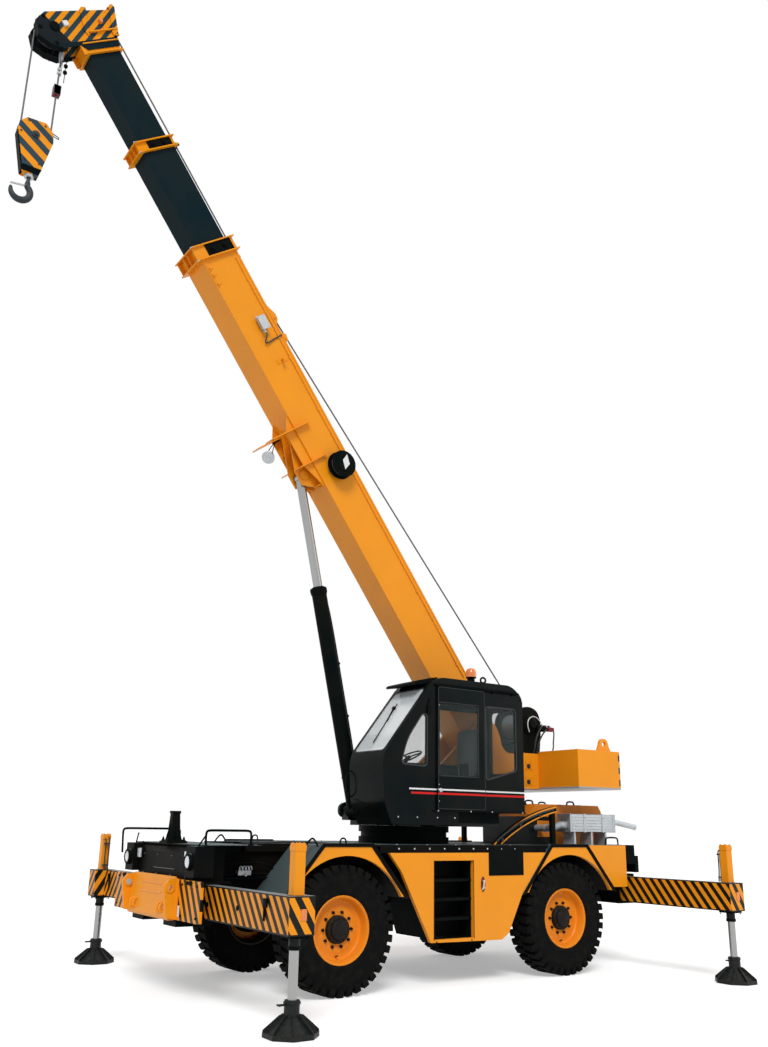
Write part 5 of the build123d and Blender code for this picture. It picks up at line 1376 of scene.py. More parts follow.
for drop, radius in ((-0.68, 0.03), (-0.705, 0.04)):
    end_face = next_section(end_face, BLOCK + Vector((0, 0, drop)), (0, 0, -1), radius)
HOOK_LINE = [(62, 0.119, 0.038), (35, 0.12, 0.041), (8, 0.12, 0.043), (-20, 0.12, 0.044),
             (-48, 0.121, 0.044), (-76, 0.122, 0.044), (-104, 0.122, 0.042), (-132, 0.12, 0.038),
             (-160, 0.118, 0.032), (-184, 0.117, 0.025), (-200, 0.12, 0.016)]
for angle, radius, thick in HOOK_LINE:
    a = math.radians(angle)
    facing = (math.sin(a), 0, -math.cos(a))
    end_face = next_section(end_face, BOWL + Vector((math.cos(a) * radius, 0, math.sin(a) * radius)),
                            facing, thick)
forged_hook = piece(hook_shape, "forged_hook", "hook", cast_steel, bend=50)
smooth = forged_hook.modifiers.new("forging", "SUBSURF")
smooth.levels = smooth.render_levels = 1
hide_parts("hook")
nut = bmesh.new()
turned(nut, [(0.0305, 0.0), (0.058, 0.0), (0.06, 0.006), (0.06, 0.04), (0.054, 0.046), (0.0305, 0.046),
             (0.0305, 0.0)], BLOCK + Vector((0, 0, -0.606)), (0, 0, 1), 6)
latch_root = BLOCK + Vector((-0.018, 0, -0.725))
latch_tip = BOWL + Vector((-0.128, 0, 0.075))
for side in (1, -1):
    bar(nut, latch_root + Vector((0, side * 0.014, 0)), latch_tip + Vector((0, side * 0.01, 0)), 0.006, 10)
bar(nut, latch_root + Vector((0, -0.03, 0)), latch_root + Vector((0, 0.03, 0)), 0.009, 12)
piece(nut, "hook_latch", "hook", galvanised, clean=False)
print("hook sections", len(HOOK_LINE) + 2)

# %% [markdown]
# The rear fall ends under the head in a socket with a pin. A red weight sits on it above the block, and
# lifts the limit switch's chain before the block can strike the head.

# %% Falls, socket and rope weight
fall_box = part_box("hoist_falls")
FALL_REAR = -4.3942
HEAD_SHEAVE_Z = 11.5974
red = bmesh.new()
block(red, (FALL_REAR - 0.045, -0.045, 10.715), (FALL_REAR + 0.045, 0.045, 10.86))
block(red, (FALL_REAR - 0.047, -0.012, 10.74), (FALL_REAR + 0.047, 0.012, 10.835))
piece(red, "rope_weight", "hook_block", red_paint, edge=0.006, clean=False)
socket = bmesh.new()
top_z = HEAD_SHEAVE_Z - 0.165
turned(socket, [(0.012, -0.192), (0.02, -0.19), (0.034, -0.1), (0.034, -0.03), (0.028, -0.018),
                (0.012, -0.018), (0.012, -0.192)], (FALL_REAR, 0, top_z), (0, 0, 1), 28)
bar(socket, (FALL_REAR, -0.06, top_z), (FALL_REAR, 0.06, top_z), 0.024, 20)
for z in (0.3, 0.36):
    block(socket, (FALL_REAR - 0.026, -0.02, top_z - z - 0.016),
          (FALL_REAR + 0.026, 0.02, top_z - z + 0.016))
bar(socket, (FALL_REAR + 0.018, 0, top_z - 0.18), (FALL_REAR + 0.018, 0, top_z - 0.4), 0.0105, 12)
piece(socket, "rope_socket", "hook_block", galvanised, edge=0.002, clean=False)
print("falls from", round(fall_box[0].z, 2), "to", round(fall_box[1].z, 2))

# %% [markdown]
# ## Headlamps
# Each headlamp is a pressed reflector with a fluted glass in front, held in the pod by a ring and three
# screws. A small square lamp for width and turning sits beside it, nearer the middle.

# %% Headlamps
COWL_FRONT = -2.223
chrome_bowl = Finish("reflector_chrome", Metallic=1.0)
bowl_haze = chrome_bowl.cloud(80.0)
reflector_chrome = chrome_bowl.set(
    Base_Color=chrome_bowl.blend(bowl_haze * 0.4, (0.62, 0.66, 0.69), (0.36, 0.4, 0.43)),
    Roughness=0.16 + bowl_haze * 0.1)
for side, name in ((-1, "near"), (1, "far")):
    middle = Vector((COWL_FRONT, side * 0.9, 1.4))
    bowl = bmesh.new()
    turned(bowl, [(0.001, -0.0235), (0.03, -0.0225), (0.05, -0.017), (0.064, -0.008), (0.068, 0.002)],
           middle, (-1, 0, 0), 40)
    turned(bowl, [(0.001, -0.02), (0.01, -0.018), (0.012, -0.006), (0.001, -0.002)], middle, (-1, 0, 0), 20)
    piece(bowl, f"headlamp_bowl_{name}", "carrier", reflector_chrome, closed=False)
    glass = bmesh.new()
    turned(glass, [(0.001, 0.017), (0.03, 0.015), (0.052, 0.009), (0.066, 0.001), (0.066, -0.001),
                   (0.052, 0.006), (0.03, 0.012), (0.001, 0.014)], middle, (-1, 0, 0), 40)
    piece(glass, f"headlamp_glass_{name}", "carrier", lamp_lens)
    ring = bmesh.new()
    turned(ring, [(0.064, -0.004), (0.064, 0.004), (0.068, 0.011), (0.078, 0.012), (0.087, 0.004),
                  (0.089, 0.0), (0.064, -0.004)], middle, (-1, 0, 0), 48)
    for spot in ring_spots(3, 0.078, "X", 0.5):
        hexagon(ring, middle + spot + Vector((-0.01, 0, 0)), (-1, 0, 0), 0.01, 0.006)
    piece(ring, f"headlamp_ring_{name}", "carrier", black_paint, edge=0.001, clean=False)
    small = bmesh.new()
    y = side * 0.7
    block(small, (-2.16, y - 0.045, 1.395), (-2.118, y + 0.045, 1.5))
    piece(small, f"side_lamp_{name}", "carrier", lamp_lens, edge=0.008, clean=False)
    shell = bmesh.new()
    block(shell, (-2.14, y - 0.053, 1.387), (-2.1, y + 0.053, 1.508))
    piece(shell, f"side_lamp_shell_{name}", "carrier", black_paint, edge=0.006, clean=False)
print("headlamps fitted at y 0.9")

# %% [markdown]
# ## The cowl and the boom rest
# The cowl is folded from plate, with an overhanging top, and bolted down at its corners. The post that
# carries the lowered boom is welded to a flange with four bolts, stiffened by webs, and has a rubber
# pad on top. Rods with rounded corners make the handrails.

# %% Cowl seams, boom rest and handrails
REST = Vector((-2.023, 0, 1.57))
cowl = bmesh.new()
block(cowl, (-2.118, -0.3, 1.3), (-2.112, 0.3, 1.304))
for y in (-0.62, -0.21, 0.21, 0.62):
    hexagon(cowl, (-2.112, y, 1.235), (-1, 0, 0), 0.02, 0.01)
    hexagon(cowl, (-2.112, y, 1.44), (-1, 0, 0), 0.014, 0.008)
for y in (-0.95, -0.35, 0.35, 0.95):
    for x in (-2.02, -1.72, -1.45):
        hexagon(cowl, (x, y, 1.569), (0, 0, 1), 0.02, 0.008)
piece(cowl, "cowl_bolts", "carrier", bolt_steel, clean=False)
rest = bmesh.new()
block(rest, REST + Vector((-0.125, -0.112, 0.0)), REST + Vector((0.125, 0.112, 0.026)))
block(rest, REST + Vector((-0.11, -0.098, 0.026)), REST + Vector((0.11, 0.098, 0.04)))
low_half, high_half = (0.062, 0.052), (0.043, 0.04)
foot_of_post = [REST + Vector((x * low_half[0], y * low_half[1], 0.04)) for x,
                y in ((-1, -1), (1, -1), (1, 1), (-1, 1))]
post = plate(rest, foot_of_post, (0, 0, 0.3))
for v in post[4:]:
    v.co.x = REST.x + (v.co.x - REST.x) * high_half[0] / low_half[0]
    v.co.y = REST.y + (v.co.y - REST.y) * high_half[1] / low_half[1]
block(rest, REST + Vector((-0.05, -0.05, 0.325)), REST + Vector((0.05, 0.05, 0.355)))
for x in (-0.092, 0.092):
    for y in (-0.08, 0.08):
        hexagon(rest, REST + Vector((x, y, 0.04)), (0, 0, 1), 0.03, 0.02)
        bar(rest, REST + Vector((x, y, 0.058)), REST + Vector((x, y, 0.074)), 0.008, 10)
for side in (-1, 1):
    plate(rest, [REST + Vector(p) for p in ((side * 0.06, -0.004, 0.04), (side * 0.1, -0.004, 0.04),
                                            (side * 0.05, -0.004, 0.23))], (0, 0.008, 0))
    plate(rest, [REST + Vector(p) for p in ((-0.004, side * 0.05, 0.04), (-0.004, side * 0.088, 0.04),
                                            (-0.004, side * 0.042, 0.23))], (0.008, 0, 0))
rest_piece = piece(rest, "boom_rest_post", "carrier", black_paint, edge=0.003, clean=False)
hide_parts("boom_rest")
rails = bmesh.new()
for side in (-1, 1):
    y = side * 0.985
    x0, x1, top, foot = (-2.068, -1.533, 1.722, 1.56) if side < 0 else (-2.27, -1.533, 1.722, 1.44)
    tube(rails, [(x0 + 0.01, y - side * 0.01, foot), (x0, y, 1.65), (x0 + 0.004, y, top - 0.008),
                 (x0 + 0.05, y, top), (x0 + 0.15, y, top), (x1 - 0.15, y, top), (x1 - 0.05, y, top),
                 (x1 - 0.004, y, top - 0.008), (x1, y, 1.65), (x1, y, 1.56)], 0.013, 12)
    bar(rails, (x1, y, 1.568), (x1, y, 1.576), 0.032, 20)
    tube(rails, [(-2.07, y, 1.668), (-2.1, y - side * 0.04, 1.6), (-2.125, y - side * 0.075, 1.54),
                 (-2.128, y - side * 0.08, 1.5)], 0.009, 10)
rail_piece = piece(rails, "handrails", "carrier", black_paint, clean=False)
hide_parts("grab_rails")
print("rails replaced:", 2)

# %% [markdown]
# ## The bumper
# The sloping yellow face is stiffened by two pressed ribs. Its two tow lugs have welded bosses, and the
# far one still holds its bright pin. Small clamps below keep a towing bar's pins.

# %% Bumper ribs, bosses and clamps
PLATE = -2.203
TOW_X, TOW_Z = -2.288, 1.13


def slope_x(z):
    """Front of the sloping yellow face at a height."""
    return PLATE - 0.015 - 0.065 * (1.24 - z) / 0.41


face = bmesh.new()
for z in (1.155, 1.06):
    block(face, (slope_x(z) - 0.008, -0.3, z - 0.011), (slope_x(z) + 0.03, 0.3, z + 0.011))
for side in (-1, 1):
    plate(face, [(slope_x(1.18) - 0.006, side * 0.595, 1.2), (slope_x(0.86) - 0.006, side * 0.595, 0.84),
                 (slope_x(0.86) - 0.006, side * 0.56, 0.84), (slope_x(1.18) - 0.006, side * 0.56, 1.2)],
          (0.02, 0, 0))
    for y in (side * 0.6, side * 0.65):
        out = -1 if abs(y) < 0.62 else 1
        turned(face, [(0.026, 0.0), (0.052, 0.0), (0.052, 0.01), (0.048, 0.013), (0.026, 0.013),
                      (0.026, 0.0)], (TOW_X, y, TOW_Z), (0, side * out, 0), 28)
    for y in (side * 0.36, side * 0.44):
        tube(face, [(slope_x(0.9) + 0.01, y, 0.872), (slope_x(0.9) - 0.03, y, 0.88),
                    (slope_x(0.92) - 0.04, y, 0.93), (slope_x(0.95) - 0.022, y, 0.965),
                    (slope_x(0.97) + 0.01, y, 0.975)], 0.013, 12)
piece(face, "bumper_ribs", "carrier", yellow_paint, edge=0.003, clean=False)
pin = bmesh.new()
bar(pin, (TOW_X, 0.575, TOW_Z), (TOW_X, 0.7, TOW_Z), 0.024, 24)
turned(pin, [(0.001, 0.0), (0.036, 0.0), (0.038, 0.004), (0.038, 0.012), (0.033, 0.016), (0.001, 0.017)],
       (TOW_X, 0.662, TOW_Z), (0, 1, 0), 28)
turned(pin, [(0.001, 0.0), (0.032, 0.0), (0.034, 0.004), (0.034, 0.01), (0.001, 0.013)],
       (TOW_X, 0.588, TOW_Z), (0, -1, 0), 28)
piece(pin, "tow_pin", "carrier", galvanised, clean=False)
small = bmesh.new()
for y in (-1.16, -0.78, 0.78, 1.16):
    for z in (0.86, 1.17):
        hexagon(small, (PLATE, y, z), (-1, 0, 0), 0.022, 0.01)
for side in (-1, 1):
    for y in (0.905, 0.965, 1.01):
        bar(small, (PLATE - 0.012, side * y, 1.19), (PLATE + 0.004, side * y, 1.19), 0.02, 16)
    block(small, (PLATE + 0.01, side * 0.3, 0.735), (PLATE + 0.42, side * 0.64, 0.812))
piece(small, "bumper_bolts", "carrier", black_paint, clean=False)
tag = bmesh.new()
block(tag, (PLATE - 0.004, -0.735, 0.845), (PLATE + 0.002, -0.69, 0.955))
piece(tag, "bumper_plate", "carrier", white_paint, edge=0.001, clean=False)
print("bumper ribs slope from", round(slope_x(1.24), 3), "to", round(slope_x(0.83), 3))

# %% [markdown]
# ## Pipework behind the front beam
# Two hydraulic pipes run along the frame to a small valve with bright fittings, which shares oil
# between the beams. It shows between the front beam and the mudguard.

# %% Valve and pipes on the frame
pipework = bmesh.new()
tube(pipework, [(-2.05, -0.6, 1.372), (-1.6, -0.6, 1.372), (-1.1, -0.6, 1.374), (-1.02, -0.57, 1.3)], 0.011)
tube(pipework, [(-1.86, -0.56, 1.236), (-1.6, -0.56, 1.236), (-1.45, -0.56, 1.25), (-1.02, -0.56, 1.252)],
     0.013)
block(pipework, (-1.64, -0.6, 1.196), (-0.99, -0.505, 1.222))
for x in (-1.62, -1.02):
    block(pipework, (x - 0.012, -0.57, 1.196), (x + 0.012, -0.5, 1.3))
piece(pipework, "beam_pipes", "carrier", black_paint, clean=False)
valve = bmesh.new()
block(valve, (-1.475, -0.6, 1.24), (-1.315, -0.53, 1.292))
for k in range(4):
    x = -1.455 + 0.04 * k
    bar(valve, (x, -0.585, 1.286), (x, -0.585, 1.325 + 0.012 * (k % 2)), 0.01, 12)
    hexagon(valve, (x, -0.585, 1.29), (0, 0, 1), 0.028, 0.014)
    tube(valve, [(x, -0.585, 1.32), (x, -0.59, 1.338), (x + 0.012, -0.615, 1.34), (x + 0.016, -0.625, 1.3)],
         0.007)
bar(valve, (-1.395, -0.6, 1.245), (-1.395, -0.64, 1.245), 0.014, 14)
piece(valve, "beam_valve", "carrier", galvanised, edge=0.002, clean=False)
print("valve fitted on the near frame rail")

# %% [markdown]
# ## Deck and side panels
# The deck is bolted along its edge, and bent rods beside the mudguards give a hand a hold. A black
# cover plate closes a hatch in the near panel, with a latch beside it. The steps have open treads.

# %% Deck loops and edge bolts
loops = bmesh.new()
for side in (-1, 1):
    y = side * 1.185
    tube(loops, [(-0.985, y, 1.535), (-0.94, y, 1.6), (-0.895, y, 1.648), (-0.86, y, 1.65),
                 (-0.815, y, 1.59), (-0.8, y, 1.56)], 0.011, 12)
    inner = y - side * 0.08
    tube(loops, [(x, inner, z) for x, z in ((-0.462, 1.575), (-0.462, 1.63), (-0.44, 1.652),
                                            (-0.404, 1.652), (-0.382, 1.63), (-0.382, 1.575))], 0.01, 12)
    inner = y - side * 0.2
    tube(loops, [(x, inner, z) for x, z in ((4.0, 1.575), (4.0, 1.66), (4.03, 1.685), (4.22, 1.685),
                                            (4.25, 1.66), (4.25, 1.575))], 0.011, 12)
piece(loops, "deck_loops", "carrier", black_paint, clean=False)
edge = bmesh.new()
for side in (-1, 1):
    for k in range(9):
        x = 0.26 + 0.225 * k
        button(edge, (x, side * 1.25, 1.541), (0, side, 0), 0.007, 0.011, 0.007)
    for k in range(6):
        x = -0.2 + 0.44 * k
        button(edge, (x, side * 1.235, 1.585), (0, 0, 1))
piece(edge, "deck_bolts", "carrier", galvanised, clean=False)
print("deck bolts:", 2 * 15)

# %% [markdown]
# A hatch is read from its edge and its screws, so a thin plate proud of the panel is enough. The treads
# are thin bars side by side, because mud has to fall through a step.

# %% Hatch plate, latch and step treads
hatch = bmesh.new()
block(hatch, (1.627, -1.256, 1.224), (2.201, -1.248, 1.56))
for x, z in ((1.65, 1.255), (2.178, 1.255), (1.65, 1.53), (2.178, 1.53), (1.914, 1.245)):
    button(hatch, (x, -1.256, z), (0, -1, 0))
piece(hatch, "hatch_plate", "carrier", black_paint, edge=0.001, clean=False)
latch = bmesh.new()
plate(latch, [(1.53 + 0.033 * math.cos(a), -1.25, 1.128 + 0.088 * math.sin(a))
              for a in (math.tau * k / 20 for k in range(20))], (0, -0.005, 0))
piece(latch, "latch_plate", "carrier", red_paint, edge=0.001, clean=False)
handle = bmesh.new()
bar(handle, (1.53, -1.25, 1.165), (1.53, -1.276, 1.165), 0.014, 16)
tube(handle, [(1.53, -1.272, 1.165), (1.522, -1.278, 1.12), (1.512, -1.28, 1.085), (1.498, -1.276, 1.065)],
     0.01, 12)
bar(handle, (1.545, -1.25, 1.085), (1.545, -1.266, 1.085), 0.01, 12)
piece(handle, "latch_handle", "carrier", galvanised, clean=False)
treads = bmesh.new()
for side in (-1, 1):
    for k in range(4):
        z = 0.525 + k * 0.218
        if k:
            block(treads, (0.782, side * 1.192, z - 0.016), (1.377, side * 1.208, z + 0.016))
        for j in range(12):
            x = 0.812 + 0.0485 * j
            bar(treads, (x, side * 1.05, z + 0.015), (x, side * 1.19, z + 0.015), 0.004, 6)
    for x in (0.815, 1.344):
        hexagon(treads, (x, side * 1.25, 0.502), (0, side, 0), 0.018, 0.008)
    block(treads, (0.772, side * 1.246, 1.397), (1.387, side * 1.253, 1.405))
    for x in (0.772, 1.379):
        block(treads, (x, side * 1.246, 0.517), (x + 0.008, side * 1.253, 1.405))
piece(treads, "step_treads", "carrier", black_paint, edge=0.001, clean=False)
print("steps on both sides:", 4)

# %% [markdown]
# ## Hood and guards
# The hood is pressed in two halves joined by a seam under a strap, and lifted by loop handles. Its sides
# have louvres for hot air. The curved guards are channels: black plate between two yellow edges.

# %% Hood seams, handles and louvres
trim = bmesh.new()
for x in (3.62, 4.02):
    block(trim, (x, -0.503, 2.045), (x + 0.012, 0.503, 2.128))
for side in (-1, 1):
    block(trim, (3.03, side * 0.498, 1.955), (4.43, side * 0.505, 1.968))
    for k in range(9):
        x = 3.16 + 0.04 * k
        plate(trim, [(x, side * 0.499, 1.68), (x, side * 0.499, 1.9), (x + 0.024, side * 0.512, 1.9),
                     (x + 0.024, side * 0.512, 1.68)], (0.004, side * -0.001, 0))
piece(trim, "hood_seams", "carrier", hood_paint, edge=0.002, clean=False)
grips = bmesh.new()
for x, y in ((3.2, -0.3), (4.02, -0.3), (3.2, 0.3), (4.02, 0.3)):
    tube(grips, [(x - 0.075, y, 2.118), (x - 0.07, y, 2.16), (x - 0.045, y, 2.176), (x + 0.045, y, 2.176),
                 (x + 0.07, y, 2.16), (x + 0.075, y, 2.118)], 0.012, 12)
    for dx in (-0.075, 0.075):
        block(grips, (x + dx - 0.02, y - 0.016, 2.12), (x + dx + 0.02, y + 0.016, 2.132))
piece(grips, "hood_grips", "carrier", black_paint, edge=0.001, clean=False)
print("hood grips:", 4)

# %% [markdown]
# Each edge of a guard is an arc. Three places on it give its circle, and short flat plates along that
# circle make the yellow strip. A dark hose lies in the channel between two strips.

# %% Yellow edges of the guards
def arc(start, through, end, steps):
    """Points on the circle through three places in the x-z plane."""
    (ax, az), (bx, bz), (cx, cz) = start, through, end
    d = 2 * (ax * (bz - cz) + bx * (cz - az) + cx * (az - bz))
    aa, bb, cc = ax * ax + az * az, bx * bx + bz * bz, cx * cx + cz * cz
    ux = (aa * (bz - cz) + bb * (cz - az) + cc * (az - bz)) / d
    uz = (aa * (cx - bx) + bb * (ax - cx) + cc * (bx - ax)) / d
    radius = math.hypot(ax - ux, az - uz)
    first, last = math.atan2(az - uz, ax - ux), math.atan2(cz - uz, cx - ux)
    if last - first > math.pi:
        last -= math.tau
    if first - last > math.pi:
        last += math.tau
    turns = [first + (last - first) * k / steps for k in range(steps + 1)]
    return [(ux + radius * math.cos(t), uz + radius * math.sin(t)) for t in turns]


UPPER = arc((1.937, 1.585), (2.407, 1.88), (3.067, 2.085), 20)
LOWER = arc((2.067, 1.585), (2.467, 1.815), (3.082, 2.01), 20)
edges = bmesh.new()
hose = bmesh.new()
for side in (-1, 1):
    outer = side * 0.982
    for rim_line, depth in ((UPPER, -0.02), (LOWER, 0.016)):
        for (x0, z0), (x1, z1) in zip(rim_line, rim_line[1:]):
            plate(edges, [(x0, outer, z0), (x1, outer, z1), (x1, outer, z1 + depth),
                          (x0, outer, z0 + depth)], (0, side * 0.006, 0))
    tube(hose, [(x, side * 0.99, (z + w) / 2 + 0.006) for (x, z),
                (_, w) in list(zip(UPPER, LOWER))[1:-1:2]], 0.013, 12)
    for k in (3, 9, 15):
        x, z = UPPER[k]
        block(hose, (x - 0.01, side * 0.98, z - 0.075), (x + 0.016, side * 0.994, z - 0.03))
piece(edges, "guard_edges", "carrier", yellow_paint, edge=0.001, clean=False)
piece(hose, "guard_hoses", "carrier", rubber_seal, clean=False)
print("guard edges from x", round(UPPER[0][0], 2), "to", round(UPPER[-1][0], 2))

# %% [markdown]
# ## Silencer
# The silencer is a folded box of zinc-coated sheet: rolled beads at its ends, pressed lines along its
# sides and two straps. A ribbed flexible pipe brings the gas from the engine, so the engine may shake.
# The tail pipe is cut on a slant.

# %% Silencer, flexible pipe and tail pipe
SIL_X0, SIL_X1, SIL_Z0 = 3.357, 4.247, 1.76
shell = bmesh.new()
for x in (SIL_X0, SIL_X0 + 0.035, SIL_X1 - 0.047, SIL_X1 - 0.012):
    block(shell, (x, -0.956, SIL_Z0 - 0.006), (x + 0.012, -0.694, SIL_Z0 + 0.236))
for k in range(5):
    z = SIL_Z0 + 0.035 + 0.04 * k
    for y in (-0.95, -0.7):
        bar(shell, (SIL_X0 + 0.05, y, z), (SIL_X1 - 0.05, y, z), 0.006, 8)
for x in (3.62, 3.98):
    block(shell, (x, -0.96, SIL_Z0 - 0.008), (x + 0.035, -0.69, SIL_Z0 + 0.24))
    hexagon(shell, (x + 0.018, -0.96, SIL_Z0 + 0.19), (0, -1, 0), 0.018, 0.012)
for x in (3.457, 3.787, 4.067):
    block(shell, (x - 0.03, -0.94, 1.575), (x + 0.03, -0.71, 1.592))
    plate(shell, [(x - 0.02, -0.935, 1.59), (x + 0.02, -0.935, 1.59), (x + 0.012, -0.935, 1.765),
                  (x - 0.012, -0.935, 1.765)], (0, 0.006, 0))
piece(shell, "silencer_shell", "carrier", galvanised, edge=0.0015, clean=False)
flex = bmesh.new()
route = [Vector(p) for p in ((3.357, -0.825, 1.84), (3.267, -0.825, 1.84), (3.207, -0.825, 1.82),
                             (3.147, -0.825, 1.8))]
for a, b in zip(route, route[1:]):
    steps = max(2, round((b - a).length / 0.016))
    for k in range(steps):
        spot = a.lerp(b, k / steps)
        turned(flex, [(0.044, -0.005), (0.051, 0.0), (0.044, 0.005)], spot, b - a, 24)
for spot, axis in (((3.352, -0.825, 1.84), (1, 0, 0)), ((3.147, -0.7, 1.8), (0, 1, 0)),
                   ((4.262, -0.825, 1.89), (1, 0, 0))):
    turned(flex, [(0.04, -0.014), (0.057, -0.014), (0.057, 0.014), (0.04, 0.014), (0.04, -0.014)], spot,
           axis, 28)
    clamp_screw = Vector(spot) + Vector((0, -0.052, 0.02) if axis[0] else (-0.055, 0, 0))
    hexagon(flex, clamp_screw, (0, 0, 1), 0.016, 0.03)
turned(flex, [(0.03, 0.0), (0.0395, 0.0), (0.0405, -0.01), (0.0395, -0.012), (0.03, -0.012), (0.03, 0.0)],
       (4.79, -0.825, 1.831), (0.4, 0, -0.06), 28)
piece(flex, "exhaust_rings", "carrier", galvanised, closed=False, clean=False)
print("silencer from", SIL_X0, "to", SIL_X1)

# %% [markdown]
# ## The rear
# The photograph doesn't show the rear, so it is kept plain: a lamp cluster on each side, bolts round the
# radiator's frame, and a row of bolts where the cross plate meets the frame.

# %% Rear lamps and bolts
rear_shape = bmesh.new()
lamps = bmesh.new()
for side in (-1, 1):
    block(rear_shape, (4.566, side * 0.62, 1.455), (4.6, side * 0.96, 1.565))
    for y in (0.68, 0.79, 0.9):
        turned(lamps, [(0.001, 0.018), (0.028, 0.014), (0.04, 0.006), (0.042, 0.0), (0.001, 0.0)],
               (4.6, side * y, 1.51), (1, 0, 0), 28)
    for k in range(6):
        hexagon(rear_shape, (4.637, side * (0.15 + 0.15 * k), 1.395), (1, 0, 0), 0.022, 0.01)
for z in (1.66, 1.974):
    block(rear_shape, (4.4475, -0.355, z), (4.4535, 0.355, z + 0.016))
for side in (-1, 1):
    block(rear_shape, (4.4475, side * 0.34, 1.66), (4.4535, side * 0.356, 1.99))
piece(rear_shape, "rear_fittings", "carrier", black_paint, edge=0.001, clean=False)
piece(lamps, "rear_lamps", "carrier", red_paint, clean=False)
print("rear lamps:", 6)

# %% [markdown]
# ## The cab's shell
# The cab is pressed sheet with a rounded near corner, and its glass is bent with it. One closed shape gives
# all of it: a Boolean takes out a smaller copy, joined to prisms where the windows are. A thin wall of the
# same shape, kept only where the windows are, gives panes and rubber seals that fit their openings.

# %% Round-cornered plates and cut walls
def round_plate(shape, outline, thick, radii):
    """Plate whose corners are rounded before it gets its thickness."""
    before = set(shape.faces)
    corners = [shape.verts.new(p) for p in outline]
    shape.faces.new(corners)
    if isinstance(radii, (int, float)):
        radii = [radii] * len(corners)
    for corner, radius in zip(corners, radii):
        if radius:
            bmesh.ops.bevel(shape, geom=[corner], offset=radius, offset_type="OFFSET", affect="VERTICES",
                            segments=5, profile=0.5, material=-1)
    flat = [f for f in shape.faces if f not in before]
    pushed = bmesh.ops.extrude_face_region(shape, geom=flat)
    moved = [g for g in pushed["geom"] if isinstance(g, bmesh.types.BMVert)]
    bmesh.ops.translate(shape, verts=moved, vec=Vector(thick))


def wall_cut(shape, wall, offset, tools, operation, tool_wall=0.0):
    """Give a closed shape a wall, then cut it with, or keep what lies in, a mesh of tools."""
    held = []
    for name, made in (("wall", shape), ("tools", tools)):
        bmesh.ops.recalc_face_normals(made, faces=made.faces)
        mesh = bpy.data.meshes.new(name)
        made.to_mesh(mesh)
        held.append(bpy.data.objects.new(name, mesh))
        bpy.context.scene.collection.objects.link(held[-1])
    for holder, thick, side in ((held[0], wall, offset), (held[1], tool_wall, 1.0)):
        if thick:
            skin = holder.modifiers.new("skin", "SOLIDIFY")
            skin.thickness, skin.offset, skin.use_even_offset = thick, side, True
    cut = held[0].modifiers.new("cut", "BOOLEAN")
    cut.operation, cut.solver, cut.object = operation, "EXACT", held[1]
    bpy.context.view_layer.update()
    mesh = bpy.data.meshes.new_from_object(held[0].evaluated_get(bpy.context.evaluated_depsgraph_get()))
    made = bmesh.new()
    made.from_mesh(mesh)
    for holder in held:
        bpy.data.meshes.remove(holder.data)
    bpy.data.meshes.remove(mesh)
    return made


print("wall tools ready")

# %% [markdown]
# The side outline is pulled into a closed solid with bevelled near edges, once for the skin and once, a
# little smaller, for the room inside. The windows are prisms that reach through the wall.

# %% Cab outline and window tools
NEAR, FAR = cab_low.y, cab_high.y
CAB_LINE = [(1.277, 1.812), (0.267, 1.812), (0.152, 2.06), (0.1122, 2.6285), (0.9, 3.64), (2.2, 3.64),
            (2.397, 3.5), (2.397, 1.975), (1.277, 1.975)]
CAB_ROUNDS = [0, 0, 0.08, 0.14, 0.16, 0.08, 0.08, 0.02, 0]
ROOM_LINE = [(0.235, 2.01), (0.189, 2.09), (0.148, 2.618), (0.918, 3.605), (2.188, 3.605), (2.362, 3.482),
             (2.362, 2.01)]
ROOM_ROUNDS = [0, 0.05, 0.13, 0.145, 0.07, 0.07, 0]


def cab_form(outline, rounds, near, far, bend_radius):
    """Closed cab shape from a side outline, rounded along its near front and roof edges."""
    shape = bmesh.new()
    round_plate(shape, [(x, near, z) for x, z in outline], (0, far - near, 0), rounds)
    lowest, furthest = min(z for _, z in outline), max(x for x, _ in outline)
    long_edges = [e for e in shape.edges if all(abs(v.co.y - near) < 1e-4 for v in e.verts)
                  and not all(v.co.z < lowest + 0.195 and v.co.x > 0.26 for v in e.verts)
                  and not all(v.co.z < lowest + 0.01 for v in e.verts)
                  and not all(v.co.x > furthest - 0.01 for v in e.verts)]
    bmesh.ops.bevel(shape, geom=long_edges, offset=bend_radius, offset_type="OFFSET", affect="EDGES",
                    segments=6, profile=0.5, material=-1, clamp_overlap=True)
    return shape


cab_solid = cab_form(CAB_LINE, CAB_ROUNDS, NEAR, FAR, 0.115)
room = cab_form(ROOM_LINE, ROOM_ROUNDS, NEAR + 0.035, FAR - 0.035, 0.08)


def screen(z, y, out):
    """Point on the windscreen's plane at a height, moved out along its normal."""
    return Vector((0.129 + 0.7793 * (z - 2.65), y, z)) + Vector((-0.7888, 0, 0.6147)) * out


